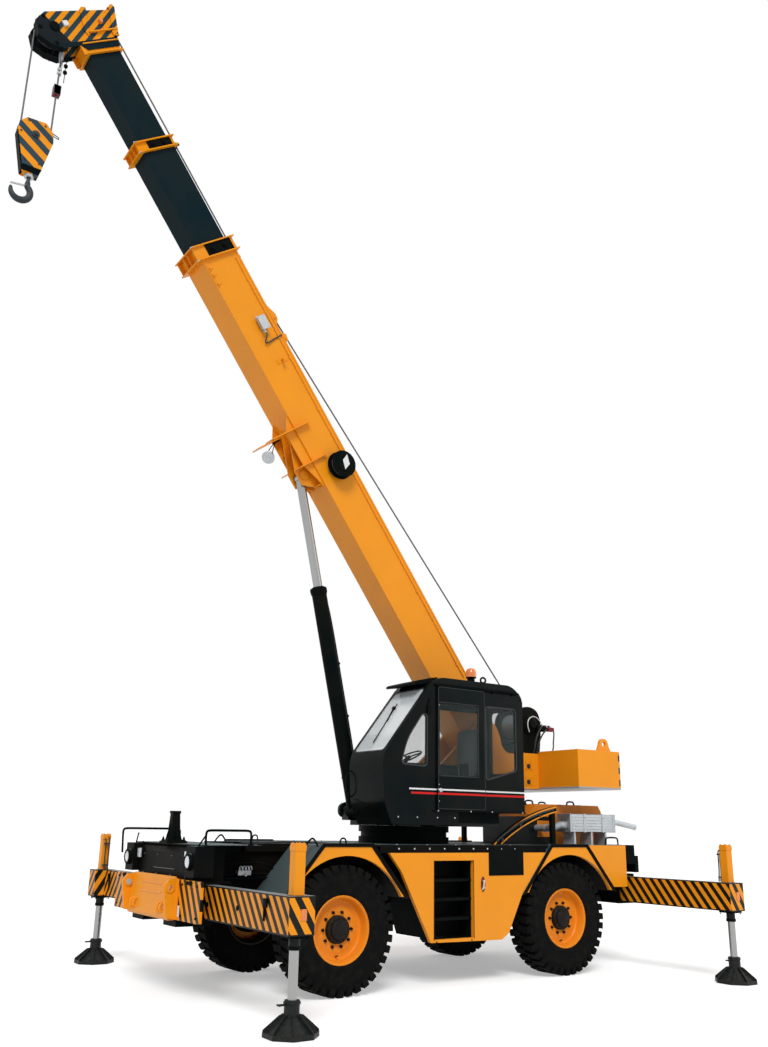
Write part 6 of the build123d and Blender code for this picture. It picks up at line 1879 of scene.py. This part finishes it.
windows = bmesh.new()
round_plate(windows, [screen(2.69, -1.045, 0.15), screen(2.69, -0.385, 0.15), screen(3.48, -0.385, 0.15),
                      screen(3.48, -1.045, 0.15)], Vector((0.7888, 0, -0.6147)) * 0.25, 0.055)
round_plate(windows, [(x, NEAR - 0.1, z) for x, z in ((0.395, 2.535), (0.775, 2.52), (0.775, 3.145),
                                                      (0.712, 3.145), (0.49, 2.84))], (0, 0.2, 0),
            [0.05, 0.045, 0.035, 0.03, 0.1])
round_plate(windows, [(x, NEAR - 0.1, z) for x, z in ((1.747, 3.317), (2.256, 3.317), (2.256, 2.523),
                                                      (1.747, 2.387))], (0, 0.2, 0), 0.04)
round_plate(windows, [(x, FAR - 0.1, z) for x, z in ((0.807, 3.33), (2.256, 3.33), (2.256, 2.6),
                                                     (0.507, 2.6), (0.407, 2.7))], (0, 0.2, 0), 0.05)
round_plate(windows, [(2.3, y, z) for y, z in ((-0.97, 2.5), (-0.455, 2.5), (-0.455, 3.33), (-0.97, 3.33))],
            (0.2, 0, 0), 0.05)
print("window tools:", len(windows.faces))

# %% [markdown]
# The tools are now used in turn: the room and the windows are cut out of the skin, and thin walls of
# the same form, cut by the same windows, give panes and seals that need no fitting by hand.

# %% Shell, panes and seals
openings = windows.copy()
block(openings, (0.97, NEAR - 0.1, 2.035), (1.661, NEAR + 0.1, 3.43))
shell = wall_cut(cab_solid, 0.0, 0.0, wall_cut(room, 0.0, 0.0, openings, "UNION"), "DIFFERENCE")
shell_piece = piece(shell, "cab_shell", "superstructure", cab_lined, bend=32)
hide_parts("cab_body", "cab_roof")
panes = wall_cut(cab_solid, 0.006, -2.333, windows, "INTERSECT")
pane_piece = piece(panes, "cab_panes", "superstructure", window_glass, bend=32)
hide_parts("cab_glass")
seals = wall_cut(cab_solid, 0.017, -0.45, windows, "INTERSECT", 0.015)
piece(seals, "window_seals", "superstructure", rubber_seal, bend=32)
print("shell, panes and seals cut; pane corners", len(pane_piece.data.vertices))

# %% [markdown]
# ## The sliding door
# The door slides back along rails outside the shell, so it is a flat frame with its own round-cornered
# window, a rubber seal and a recessed handle. It rides its own body. The rails stay on the cab.

# %% Door, pane and rails
door_low, door_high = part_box("cab_door")
DOOR_WINDOW = [(0.955, 2.405), (1.59, 2.405), (1.59, 3.32), (0.955, 3.32)]
door_solid, door_hole = bmesh.new(), bmesh.new()
round_plate(door_solid, [(x, door_low.y, z) for x, z in ((door_low.x, door_low.z),
                                                         (door_high.x, door_low.z),
                                                         (door_high.x, door_high.z),
                                                         (door_low.x, door_high.z))], (0, 0.029, 0),
            [0.012, 0.012, 0.03, 0.03])
round_plate(door_hole, [(x, door_low.y - 0.1, z) for x, z in DOOR_WINDOW], (0, 0.2, 0), 0.045)
door_shape = wall_cut(door_solid, 0.0, 0.0, door_hole, "DIFFERENCE")
door_piece = piece(door_shape, "door_frame", "cab_door", cab_lined, edge=0.006, bend=32)
door_glass = bmesh.new()
round_plate(door_glass, [(x, door_low.y + 0.011, z) for x, z in DOOR_WINDOW], (0, 0.006, 0), 0.045)
glass_piece = piece(door_glass, "door_pane", "cab_door", window_glass)
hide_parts("cab_door")
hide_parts("cab_door")
door_seal = bmesh.new()
for (x0, z0), (x1, z1) in ((DOOR_WINDOW[0], DOOR_WINDOW[2]), ((door_low.x + 0.007, door_low.z + 0.008),
                                                              (door_high.x - 0.007, door_high.z - 0.01))):
    line = [(x0, z0 + 0.05), (x0, z0), (x0 + 0.05, z0), ((x0 + x1) / 2, z0), (x1 - 0.05, z0), (x1, z0),
            (x1, z0 + 0.05), (x1, (z0 + z1) / 2), (x1, z1 - 0.05), (x1, z1), (x1 - 0.05, z1),
            ((x0 + x1) / 2, z1), (x0 + 0.05, z1), (x0, z1), (x0, z1 - 0.05), (x0, (z0 + z1) / 2)]
    tube(door_seal, [(x, door_low.y + 0.004, z) for x, z in line], 0.0055, 8, closed=True)
piece(door_seal, "door_seal", "cab_door", rubber_seal, clean=False)
catch = bmesh.new()
turned(catch, [(0.001, 0.004), (0.022, 0.004), (0.026, 0.0), (0.001, 0.0)], (0.976, door_low.y, 2.232),
       (0, -1, 0), 24)
bar(catch, (0.976, door_low.y, 2.232), (0.976, door_low.y - 0.004, 2.215), 0.009, 12)
for z in (2.1, 2.3, 3.28):
    hexagon(catch, (door_low.x + 0.018, door_low.y, z), (0, -1, 0), 0.012, 0.003)
piece(catch, "door_catch", "cab_door", galvanised, clean=False)
rails = bmesh.new()
block(rails, (0.9, NEAR - 0.038, 3.523), (2.31, NEAR + 0.03, 3.54))
tube(rails, [(0.88, NEAR + 0.02, 3.545), (0.9, NEAR - 0.02, 3.548), (0.96, NEAR - 0.026, 3.548),
             (1.6, NEAR - 0.026, 3.548), (2.2, NEAR - 0.026, 3.548), (2.29, NEAR - 0.022, 3.546),
             (2.31, NEAR + 0.02, 3.54)], 0.01, 12)
block(rails, (0.88, NEAR - 0.04, 1.975), (2.38, NEAR + 0.004, 1.993))
for x in (1.05, 1.45, 1.85, 2.2):
    block(rails, (x, NEAR - 0.02, 3.5), (x + 0.02, NEAR + 0.01, 3.525))
block(rails, (1.7, NEAR - 0.006, 2.02), (1.716, NEAR + 0.004, 3.48))
piece(rails, "door_rails", "superstructure", black_paint, edge=0.002, clean=False)
print("door window", DOOR_WINDOW[0], DOOR_WINDOW[2])

# %% [markdown]
# ## Outside the cab
# A dark visor shades the windscreen, a gutter runs over the side, and the roof carries an amber beacon
# and a ring for lifting the cab off. A wiper, a mirror's bracket, a grip on the nose
# and a row of pale bolts along the sill finish it.

# %% Visor, beacon, ring, wiper and bolts
fittings = bmesh.new()
VISOR = ((1.0, 3.65), (0.87, 3.626), (0.65, 3.566), (0.622, 3.545), (0.628, 3.522), (0.8, 3.546),
         (0.9, 3.584), (1.0, 3.622))
plate(fittings, [(x, NEAR + 0.07, z) for x, z in VISOR], (0, FAR - NEAR - 0.13, 0))
tube(fittings, [(0.7, NEAR + 0.045, 3.38), (0.8, NEAR + 0.02, 3.5), (0.95, NEAR + 0.012, 3.572),
                (1.2, NEAR + 0.012, 3.578), (1.8, NEAR + 0.012, 3.578), (2.2, NEAR + 0.012, 3.566),
                (2.32, NEAR + 0.01, 3.5), (2.355, NEAR + 0.004, 3.44)], 0.009, 10)
turned(fittings, [(0.024, 0.0), (0.037, 0.013), (0.05, 0.0), (0.034, -0.012), (0.022, 0.0)],
       (1.951, -0.8, 3.722), (0.35, 1, 0), 24)
block(fittings, (1.921, -0.83, 3.632), (1.981, -0.77, 3.68))
BEACON_X, BEACON_Y = 1.658, -0.9
bar(fittings, (BEACON_X, BEACON_Y, 3.63), (BEACON_X, BEACON_Y, 3.722), 0.05, 28)
turned(fittings, [(0.04, 0.0), (0.072, 0.0), (0.074, 0.006), (0.066, 0.012), (0.04, 0.012), (0.04, 0.0)],
       (BEACON_X, BEACON_Y, 3.712), (0, 0, 1), 32)
block(fittings, (0.775, NEAR - 0.03, 3.165), (0.83, NEAR + 0.01, 3.26))
tube(fittings, [(0.8, NEAR - 0.015, 3.255), (0.806, NEAR - 0.022, 3.3), (0.812, NEAR - 0.012, 3.345),
                (0.812, NEAR + 0.01, 3.36)], 0.008, 10)
NOSE_GRIP = ((0.128, 2.455), (0.085, 2.44), (0.058, 2.36), (0.06, 2.25), (0.085, 2.16), (0.148, 2.14))
tube(fittings, [(x, FAR - 0.03, z) for x, z in NOSE_GRIP], 0.01, 12)
for start, end, radius in (((3.3, -0.66), (2.78, -0.725), 0.007), ((3.24, -0.645), (3.06, -0.7), 0.01)):
    bar(fittings, screen(*start, 0.016), screen(*end, 0.016), radius, 8)
bar(fittings, screen(3.24, -0.648, 0.0), screen(3.24, -0.648, 0.03), 0.026, 16)
block(fittings, (1.29, NEAR + 0.05, 1.845), (1.99, NEAR + 0.12, 1.977))
piece(fittings, "cab_fittings", "superstructure", black_paint, edge=0.0015, clean=False)
beacon = bmesh.new()
turned(beacon, [(0.001, 0.124), (0.028, 0.121), (0.052, 0.109), (0.066, 0.086), (0.071, 0.056),
                (0.072, 0.0), (0.001, 0.0)], (BEACON_X, BEACON_Y, 3.724), (0, 0, 1), 36)
piece(beacon, "roof_beacon", "superstructure", amber_lens)
sill = bmesh.new()
for x in (0.355, 0.64, 0.95, 1.22):
    button(sill, (x, NEAR, 1.902), (0, -1, 0))
for x in (0.93, 1.45, 1.8, 2.32):
    button(sill, (x, NEAR - 0.04, 1.984), (0, -1, 0), 0.006, 0.009)
piece(sill, "sill_bolts", "superstructure", galvanised, clean=False)
print("beacon top", 3.848)

# %% [markdown]
# ## Inside the cab
# Through the glass one sees a driver's seat on a box, a desk with dials, a wheel on a slanting column and
# levers. The two cushions are padded: a grid is crowned in the middle, pulled in along its sides and
# pressed down along sewn channels, and a subdivision surface makes it soft.

# %% Two cushions
def seat_pad(name, low, high, along):
    """Padded cushion that fills a box, crowned along an axis (0 x, 1 y, 2 z)."""
    pad = bmesh.new()
    bmesh.ops.create_cube(pad, size=2)
    bmesh.ops.subdivide_edges(pad, edges=pad.edges, cuts=9, use_grid_fill=True)
    low, high = Vector(low), Vector(high)
    middle, half = (low + high) / 2, (high - low) / 2
    u_axis, v_axis = [k for k in range(3) if k != along]
    for v in pad.verts:
        u, w, t = v.co[u_axis], v.co[v_axis], v.co[along]
        dome = (1 - u * u) * (1 - w * w)
        channel = sum(math.exp(-((u - c) / 0.07) ** 2) for c in (-0.42, 0.0, 0.42)) * (1 - abs(w) ** 8)
        v.co[along] = t * (0.8 + 0.2 * dome ** 0.5 - 0.1 * channel * dome ** 0.25)
        pull = 1 - 0.07 * (1 - t * t) - 0.05 * abs(u * w) ** 3
        v.co[u_axis], v.co[v_axis] = u * pull, w * pull
        v.co = Vector(c * h for c, h in zip(v.co, half)) + middle
    made = piece(pad, name, "superstructure", seat_fabric, bend=180)
    soft = made.modifiers.new("soft", "SUBSURF")
    soft.levels = soft.render_levels = 1
    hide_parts("cab_seat")


seat_pad("seat_cushion", (1.26, -0.93, 2.31), (1.755, -0.49, 2.42), 2)
seat_pad("seat_back", (1.712, -0.92, 2.43), (1.825, -0.5, 3.045), 0)
print("cushions: 2")

# %% [markdown]
# The rest of the inside is seen small and through glass, so plain blocks, bars and one turned ring are
# enough. The wheel's rim and spokes share one slanting axis.

# %% Seat box, desk, wheel and levers
inside = bmesh.new()
block(inside, (1.3, -0.9, 2.01), (1.72, -0.52, 2.3))
block(inside, (1.64, -0.76, 2.29), (1.76, -0.66, 2.6))
block(inside, (0.3, NEAR + 0.04, 1.985), (2.35, FAR - 0.04, 2.003))
round_plate(inside, [(0.407, -0.9, 2.005), (0.6, -0.9, 2.005), (0.56, -0.9, 2.44), (0.48, -0.9, 2.545),
                     (0.407, -0.9, 2.5)], (0, 0.4, 0), 0.025)
piece(inside, "seat_box_and_desk", "superstructure", hub_paint, edge=0.004, clean=False)
wheel_shape = bmesh.new()
column, tilt = Vector((0.77, -0.7, 2.64)), Vector((-0.45, 0, 0.89)).normalized()
turned(wheel_shape, [(0.176, 0.0), (0.186, 0.01), (0.196, 0.0), (0.186, -0.01), (0.176, 0.0)], column, tilt,
       40)
bar(wheel_shape, column - tilt * 0.02, column + tilt * 0.012, 0.036, 20)
for k in range(3):
    arm = Matrix.Rotation(math.tau * k / 3 + 0.5, 3, tilt) @ tilt.orthogonal().normalized()
    bar(wheel_shape, column, column + arm * 0.182, 0.009, 8)
bar(wheel_shape, column, (0.56, -0.7, 2.3), 0.024, 14)
LEVER_X = 1.1
for y in (-0.52, -0.47, -0.88, -0.93):
    bar(wheel_shape, (LEVER_X, y, 2.003), (LEVER_X - 0.05, y, 2.56), 0.008, 8)
    bmesh.ops.create_uvsphere(wheel_shape, u_segments=12, v_segments=8, radius=0.022,
                              matrix=Matrix.Translation((LEVER_X - 0.05, y, 2.572)))
piece(wheel_shape, "wheel_and_levers", "superstructure", black_paint, clean=False)
dials = bmesh.new()
for k in range(4):
    spot = Vector((0.522, -0.84 + 0.09 * k, 2.492))
    turned(dials, [(0.001, 0.003), (0.026, 0.003), (0.03, 0.008), (0.034, 0.006), (0.034, 0.0),
                   (0.001, 0.0)], spot, (0.78, 0, 0.62), 20)
piece(dials, "desk_dials", "superstructure", white_paint, clean=False)
print("inside fitted")

# %% [markdown]
# ## The turntable's frame
# Two tall cheeks carry the boom's pivot, the winch and the counterweight. Flame-cut plate has sharp faces
# and round corners, and a flange is welded along each top edge. They are cut from one outline, and the
# round ends in front hold the lift cylinder's pin.

# %% Cheeks, floor and mounting brackets
CHEEK = [(0.52, 1.861), (0.372, 1.915), (0.352, 1.985), (0.372, 2.058), (0.437, 2.085), (0.6, 2.115),
         (1.407, 2.42), (2.127, 3.08), (2.267, 3.23), (2.547, 3.255), (2.657, 3.1), (2.727, 2.83),
         (3.06, 2.802), (3.06, 2.838), (3.507, 2.838), (3.507, 2.341), (2.887, 2.341), (2.257, 1.861)]
CHEEK_ROUNDS = [0, 0.04, 0.04, 0.04, 0.03, 0.1, 0.16, 0.09, 0.09, 0.1, 0.08, 0.12, 0, 0, 0, 0, 0.15, 0]
FLANGE_GAP, FLANGE_DROP = 0.06, Vector((0, 0, -0.014))
BRACKET_EYES = ((3.205, 2.655), (3.2, 2.435))
table_frame = bmesh.new()
for side in (-1, 1):
    round_plate(table_frame, [(x, side * 0.256, z) for x, z in CHEEK], (0, side * 0.045, 0), CHEEK_ROUNDS)
    line = CHEEK[5:12]
    for (x0, z0), (x1, z1) in zip(line, line[1:]):
        run = Vector((x1 - x0, 0, z1 - z0))
        ends = [Vector((x, side * 0.301, z)) for x, z in ((x0, z0), (x1, z1))]
        ends = [ends[0] + run.normalized() * FLANGE_GAP, ends[1] - run.normalized() * FLANGE_GAP]
        if (ends[1] - ends[0]).dot(run) > 0:
            plate(table_frame, [*ends, ends[1] + FLANGE_DROP, ends[0] + FLANGE_DROP], (0, side * 0.003, 0))
    turned(table_frame, [(0.06, 0.0), (0.11, 0.0), (0.11, 0.002), (0.06, 0.003), (0.06, 0.0)],
           (PIVOT.x, side * 0.301, PIVOT.z), (0, side, 0), 36)
    block(table_frame, (0.4, side * 0.104, 1.861), (0.48, side * 0.257, 2.03))
    for x, z in BRACKET_EYES:
        block(table_frame, (x - 0.058, side * 0.3, z - 0.056), (x + 0.058, side * 0.303, z + 0.056))
        for dx, dz, wide, tall in ((-0.05, 0, 0.01, 0.056), (0.05, 0, 0.01, 0.056),
                                   (0, -0.048, 0.058, 0.01), (0, 0.048, 0.058, 0.01)):
            block(table_frame, (x + dx - wide, side * 0.3, z + dz - tall),
                  (x + dx + wide, side * 0.3038, z + dz + tall))
block(table_frame, (0.56, -0.304, 1.8003), (2.257, 0.304, 1.861))
block(table_frame, (1.277, -1.0, 1.8003), (2.007, -0.3, 1.974))
block(table_frame, (2.887, -0.256, 2.341), (3.406, 0.256, 2.38))
block(table_frame, (3.067, -0.3, 2.802), (3.507, 0.3, 2.839))
frame_piece = piece(table_frame, "turntable_frame", "superstructure", turntable_paint, edge=0.003,
                    clean=False)
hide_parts("turntable")
pins = bmesh.new()
for side in (-1, 1):
    for x, z in BRACKET_EYES:
        turned(pins, [(0.012, 0.0), (0.033, 0.0), (0.033, 0.012), (0.026, 0.016), (0.012, 0.016),
                      (0.012, 0.0)], (x, side * 0.303, z), (0, side, 0), 24)
        bar(pins, (x, side * 0.303, z), (x, side * 0.322, z), 0.012, 14)
    turned(pins, [(0.001, 0.012), (0.048, 0.012), (0.052, 0.008), (0.052, 0.0), (0.001, 0.0)],
           (PIVOT.x, side * 0.304, PIVOT.z), (0, side, 0), 30)
piece(pins, "mounting_pins", "superstructure", cast_steel, clean=False)
print("cheek corners", len(CHEEK))

# %% [markdown]
# ## The winch
# The hoist rope is wound on a steel drum between two flanges. Each layer of rope is a row of rings a
# diameter apart, which looks the same as a winding and needs few faces. The gearbox and the oil motor
# are turned pieces on the near end, with a valve and its hoses.

# %% Drum, rope, gearbox and motor
WINCH_CHEEK = ((3.03, 2.841), (3.03, 3.3), (3.09, 3.44), (3.2, 3.52), (3.4, 3.52), (3.5, 3.43),
               (3.545, 3.26), (3.5, 2.841))
drum = bmesh.new()
bar(drum, WINCH + Vector((0, -0.2, 0)), WINCH + Vector((0, 0.2, 0)), 0.132, 40)
for side in (-1, 1):
    turned(drum, [(0.03, 0.0), (0.236, 0.0), (0.24, 0.004), (0.24, 0.01), (0.225, 0.012), (0.03, 0.014)],
           WINCH + Vector((0, side * 0.2, 0)), (0, side, 0), 48)
    round_plate(drum, [(x, side * 0.216, z) for x, z in WINCH_CHEEK], (0, side * 0.018, 0),
                [0, 0.08, 0.08, 0.09, 0.09, 0.08, 0.08, 0])
    for spot in ring_spots(8, 0.185):
        hexagon(drum, WINCH + spot + Vector((0, side * 0.233, 0)), (0, side, 0), 0.022, 0.01)
for y in (-0.16, 0.16):
    bar(drum, (3.075, -0.216, 3.02 + y * 0.2), (3.075, 0.216, 3.02 + y * 0.2), 0.014, 12)
drum_piece = piece(drum, "winch_frame", "superstructure", black_paint, edge=0.002, clean=False)
rope_rows = bmesh.new()
for layer, count in ((0.144, 16), (0.165, 15)):
    for k in range(count):
        spot = WINCH + Vector((0, (k - (count - 1) / 2) * 0.0242, 0))
        turned(rope_rows, [(layer - 0.011, 0.0), (layer, 0.011), (layer + 0.011, 0.0), (layer, -0.011),
                           (layer - 0.011, 0.0)], spot, (0, 1, 0), 36)
rope_piece = piece(rope_rows, "winch_rope", "superstructure", boom_rope, bend=80)
gearbox = bmesh.new()
turned(gearbox, [(0.001, 0.105), (0.05, 0.105), (0.056, 0.098), (0.06, 0.07), (0.088, 0.066), (0.1, 0.058),
                 (0.106, 0.03), (0.13, 0.028), (0.134, 0.022), (0.134, 0.0), (0.001, 0.0)],
       WINCH + Vector((0, -0.24, 0)), (0, -1, 0), 44)
for spot in ring_spots(12, 0.118):
    hexagon(gearbox, WINCH + spot + Vector((0, -0.266, 0)), (0, -1, 0), 0.017, 0.009)
turned(gearbox, [(0.001, 0.0), (0.05, 0.0), (0.052, 0.02), (0.04, 0.03), (0.04, 0.07), (0.05, 0.08),
                 (0.05, 0.17), (0.034, 0.19), (0.001, 0.2)], (3.38, -0.3, 3.212), (1, 0, 0), 30)
piece(gearbox, "winch_gearbox", "superstructure", black_paint, edge=0.001, clean=False)
arcs = bmesh.new()
tube(arcs, [(3.205, -0.345, 3.14), (3.16, -0.348, 3.22), (3.19, -0.348, 3.33), (3.28, -0.348, 3.375),
            (3.38, -0.346, 3.35), (3.44, -0.34, 3.29)], 0.009, 10)
for x, y, z in ((3.47, -0.33, 3.262), (3.56, -0.33, 3.245), (3.64, -0.33, 3.235)):
    bar(arcs, (x, y, z - 0.02), (x, y, z + 0.014), 0.014, 14)
    hexagon(arcs, (x, y, z - 0.01), (0, 0, 1), 0.032, 0.014)
piece(arcs, "winch_pipes", "superstructure", galvanised, clean=False)
valve_shape = bmesh.new()
block(valve_shape, (3.59, -0.345, 3.175), (3.7, -0.265, 3.232))
bar(valve_shape, (3.69, -0.305, 3.205), (3.72, -0.305, 3.205), 0.026, 16)
bar(valve_shape, (3.625, -0.305, 3.23), (3.625, -0.305, 3.262), 0.018, 14)
piece(valve_shape, "winch_valve", "superstructure", red_paint, edge=0.004, clean=False)
hoses = bmesh.new()
tube(hoses, [(3.716, -0.31, 3.2), (3.719, -0.316, 3.19), (3.716, -0.322, 3.11), (3.695, -0.325, 3.02),
             (3.7, -0.32, 2.93), (3.69, -0.3, 2.872)], 0.01, 10)
tube(hoses, [(3.47, -0.33, 3.245), (3.44, -0.342, 3.22), (3.38, -0.345, 3.15), (3.33, -0.342, 3.04),
             (3.318, -0.335, 2.94), (3.33, -0.29, 2.842)], 0.013, 10)
tube(hoses, [(3.56, -0.33, 3.228), (3.54, -0.344, 3.19), (3.46, -0.345, 3.12), (3.4, -0.34, 3.02),
             (3.38, -0.33, 2.93), (3.39, -0.29, 2.842)], 0.013, 10)
piece(hoses, "winch_hoses", "superstructure", rubber_seal, clean=False)
for winch_piece in (drum_piece, rope_piece):
    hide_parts("winch")
print("rope rows on the drum:", 31)

# %% [markdown]
# ## The counterweight
# The counterweight is one thick casting with slanted rear corners, notched to fit round the frame, with
# two lifting eyes on top. An eye is a round-topped plate with a hole, cut by a Boolean.

# %% Counterweight and eyes
heavy = bmesh.new()
plate(heavy, [(x, y, 2.34) for x, y in ((3.407, -1.1), (4.247, -1.1), (4.307, -1.02), (4.307, 1.02),
                                        (4.247, 1.1), (3.407, 1.1), (3.407, 0.3045), (3.5075, 0.3045),
                                        (3.5075, -0.3045), (3.407, -0.3045))], (0, 0, 0.53))
heavy_piece = piece(heavy, "counterweight_block", "superstructure", counterweight_paint, edge=0.006)
eyes, bores = bmesh.new(), bmesh.new()
for side in (-1, 1):
    round_plate(eyes, [(x, side * 1.01, z) for x, z in ((3.85, 2.868), (3.89, 2.925), (3.92, 3.045),
                                                        (4.06, 3.045), (4.09, 2.925), (4.13, 2.868))],
                (0, side * 0.04, 0), [0, 0.05, 0.055, 0.055, 0.05, 0])
    bar(bores, (3.99, side * 1.0, 2.968), (3.99, side * 1.06, 2.968), 0.036, 28)
eye_shape = wall_cut(eyes, 0.0, 0.0, bores, "DIFFERENCE")
piece(eye_shape, "counterweight_eyes", "superstructure", yellow_paint, edge=0.003)
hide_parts("counterweight")
print("counterweight width", 2.2)
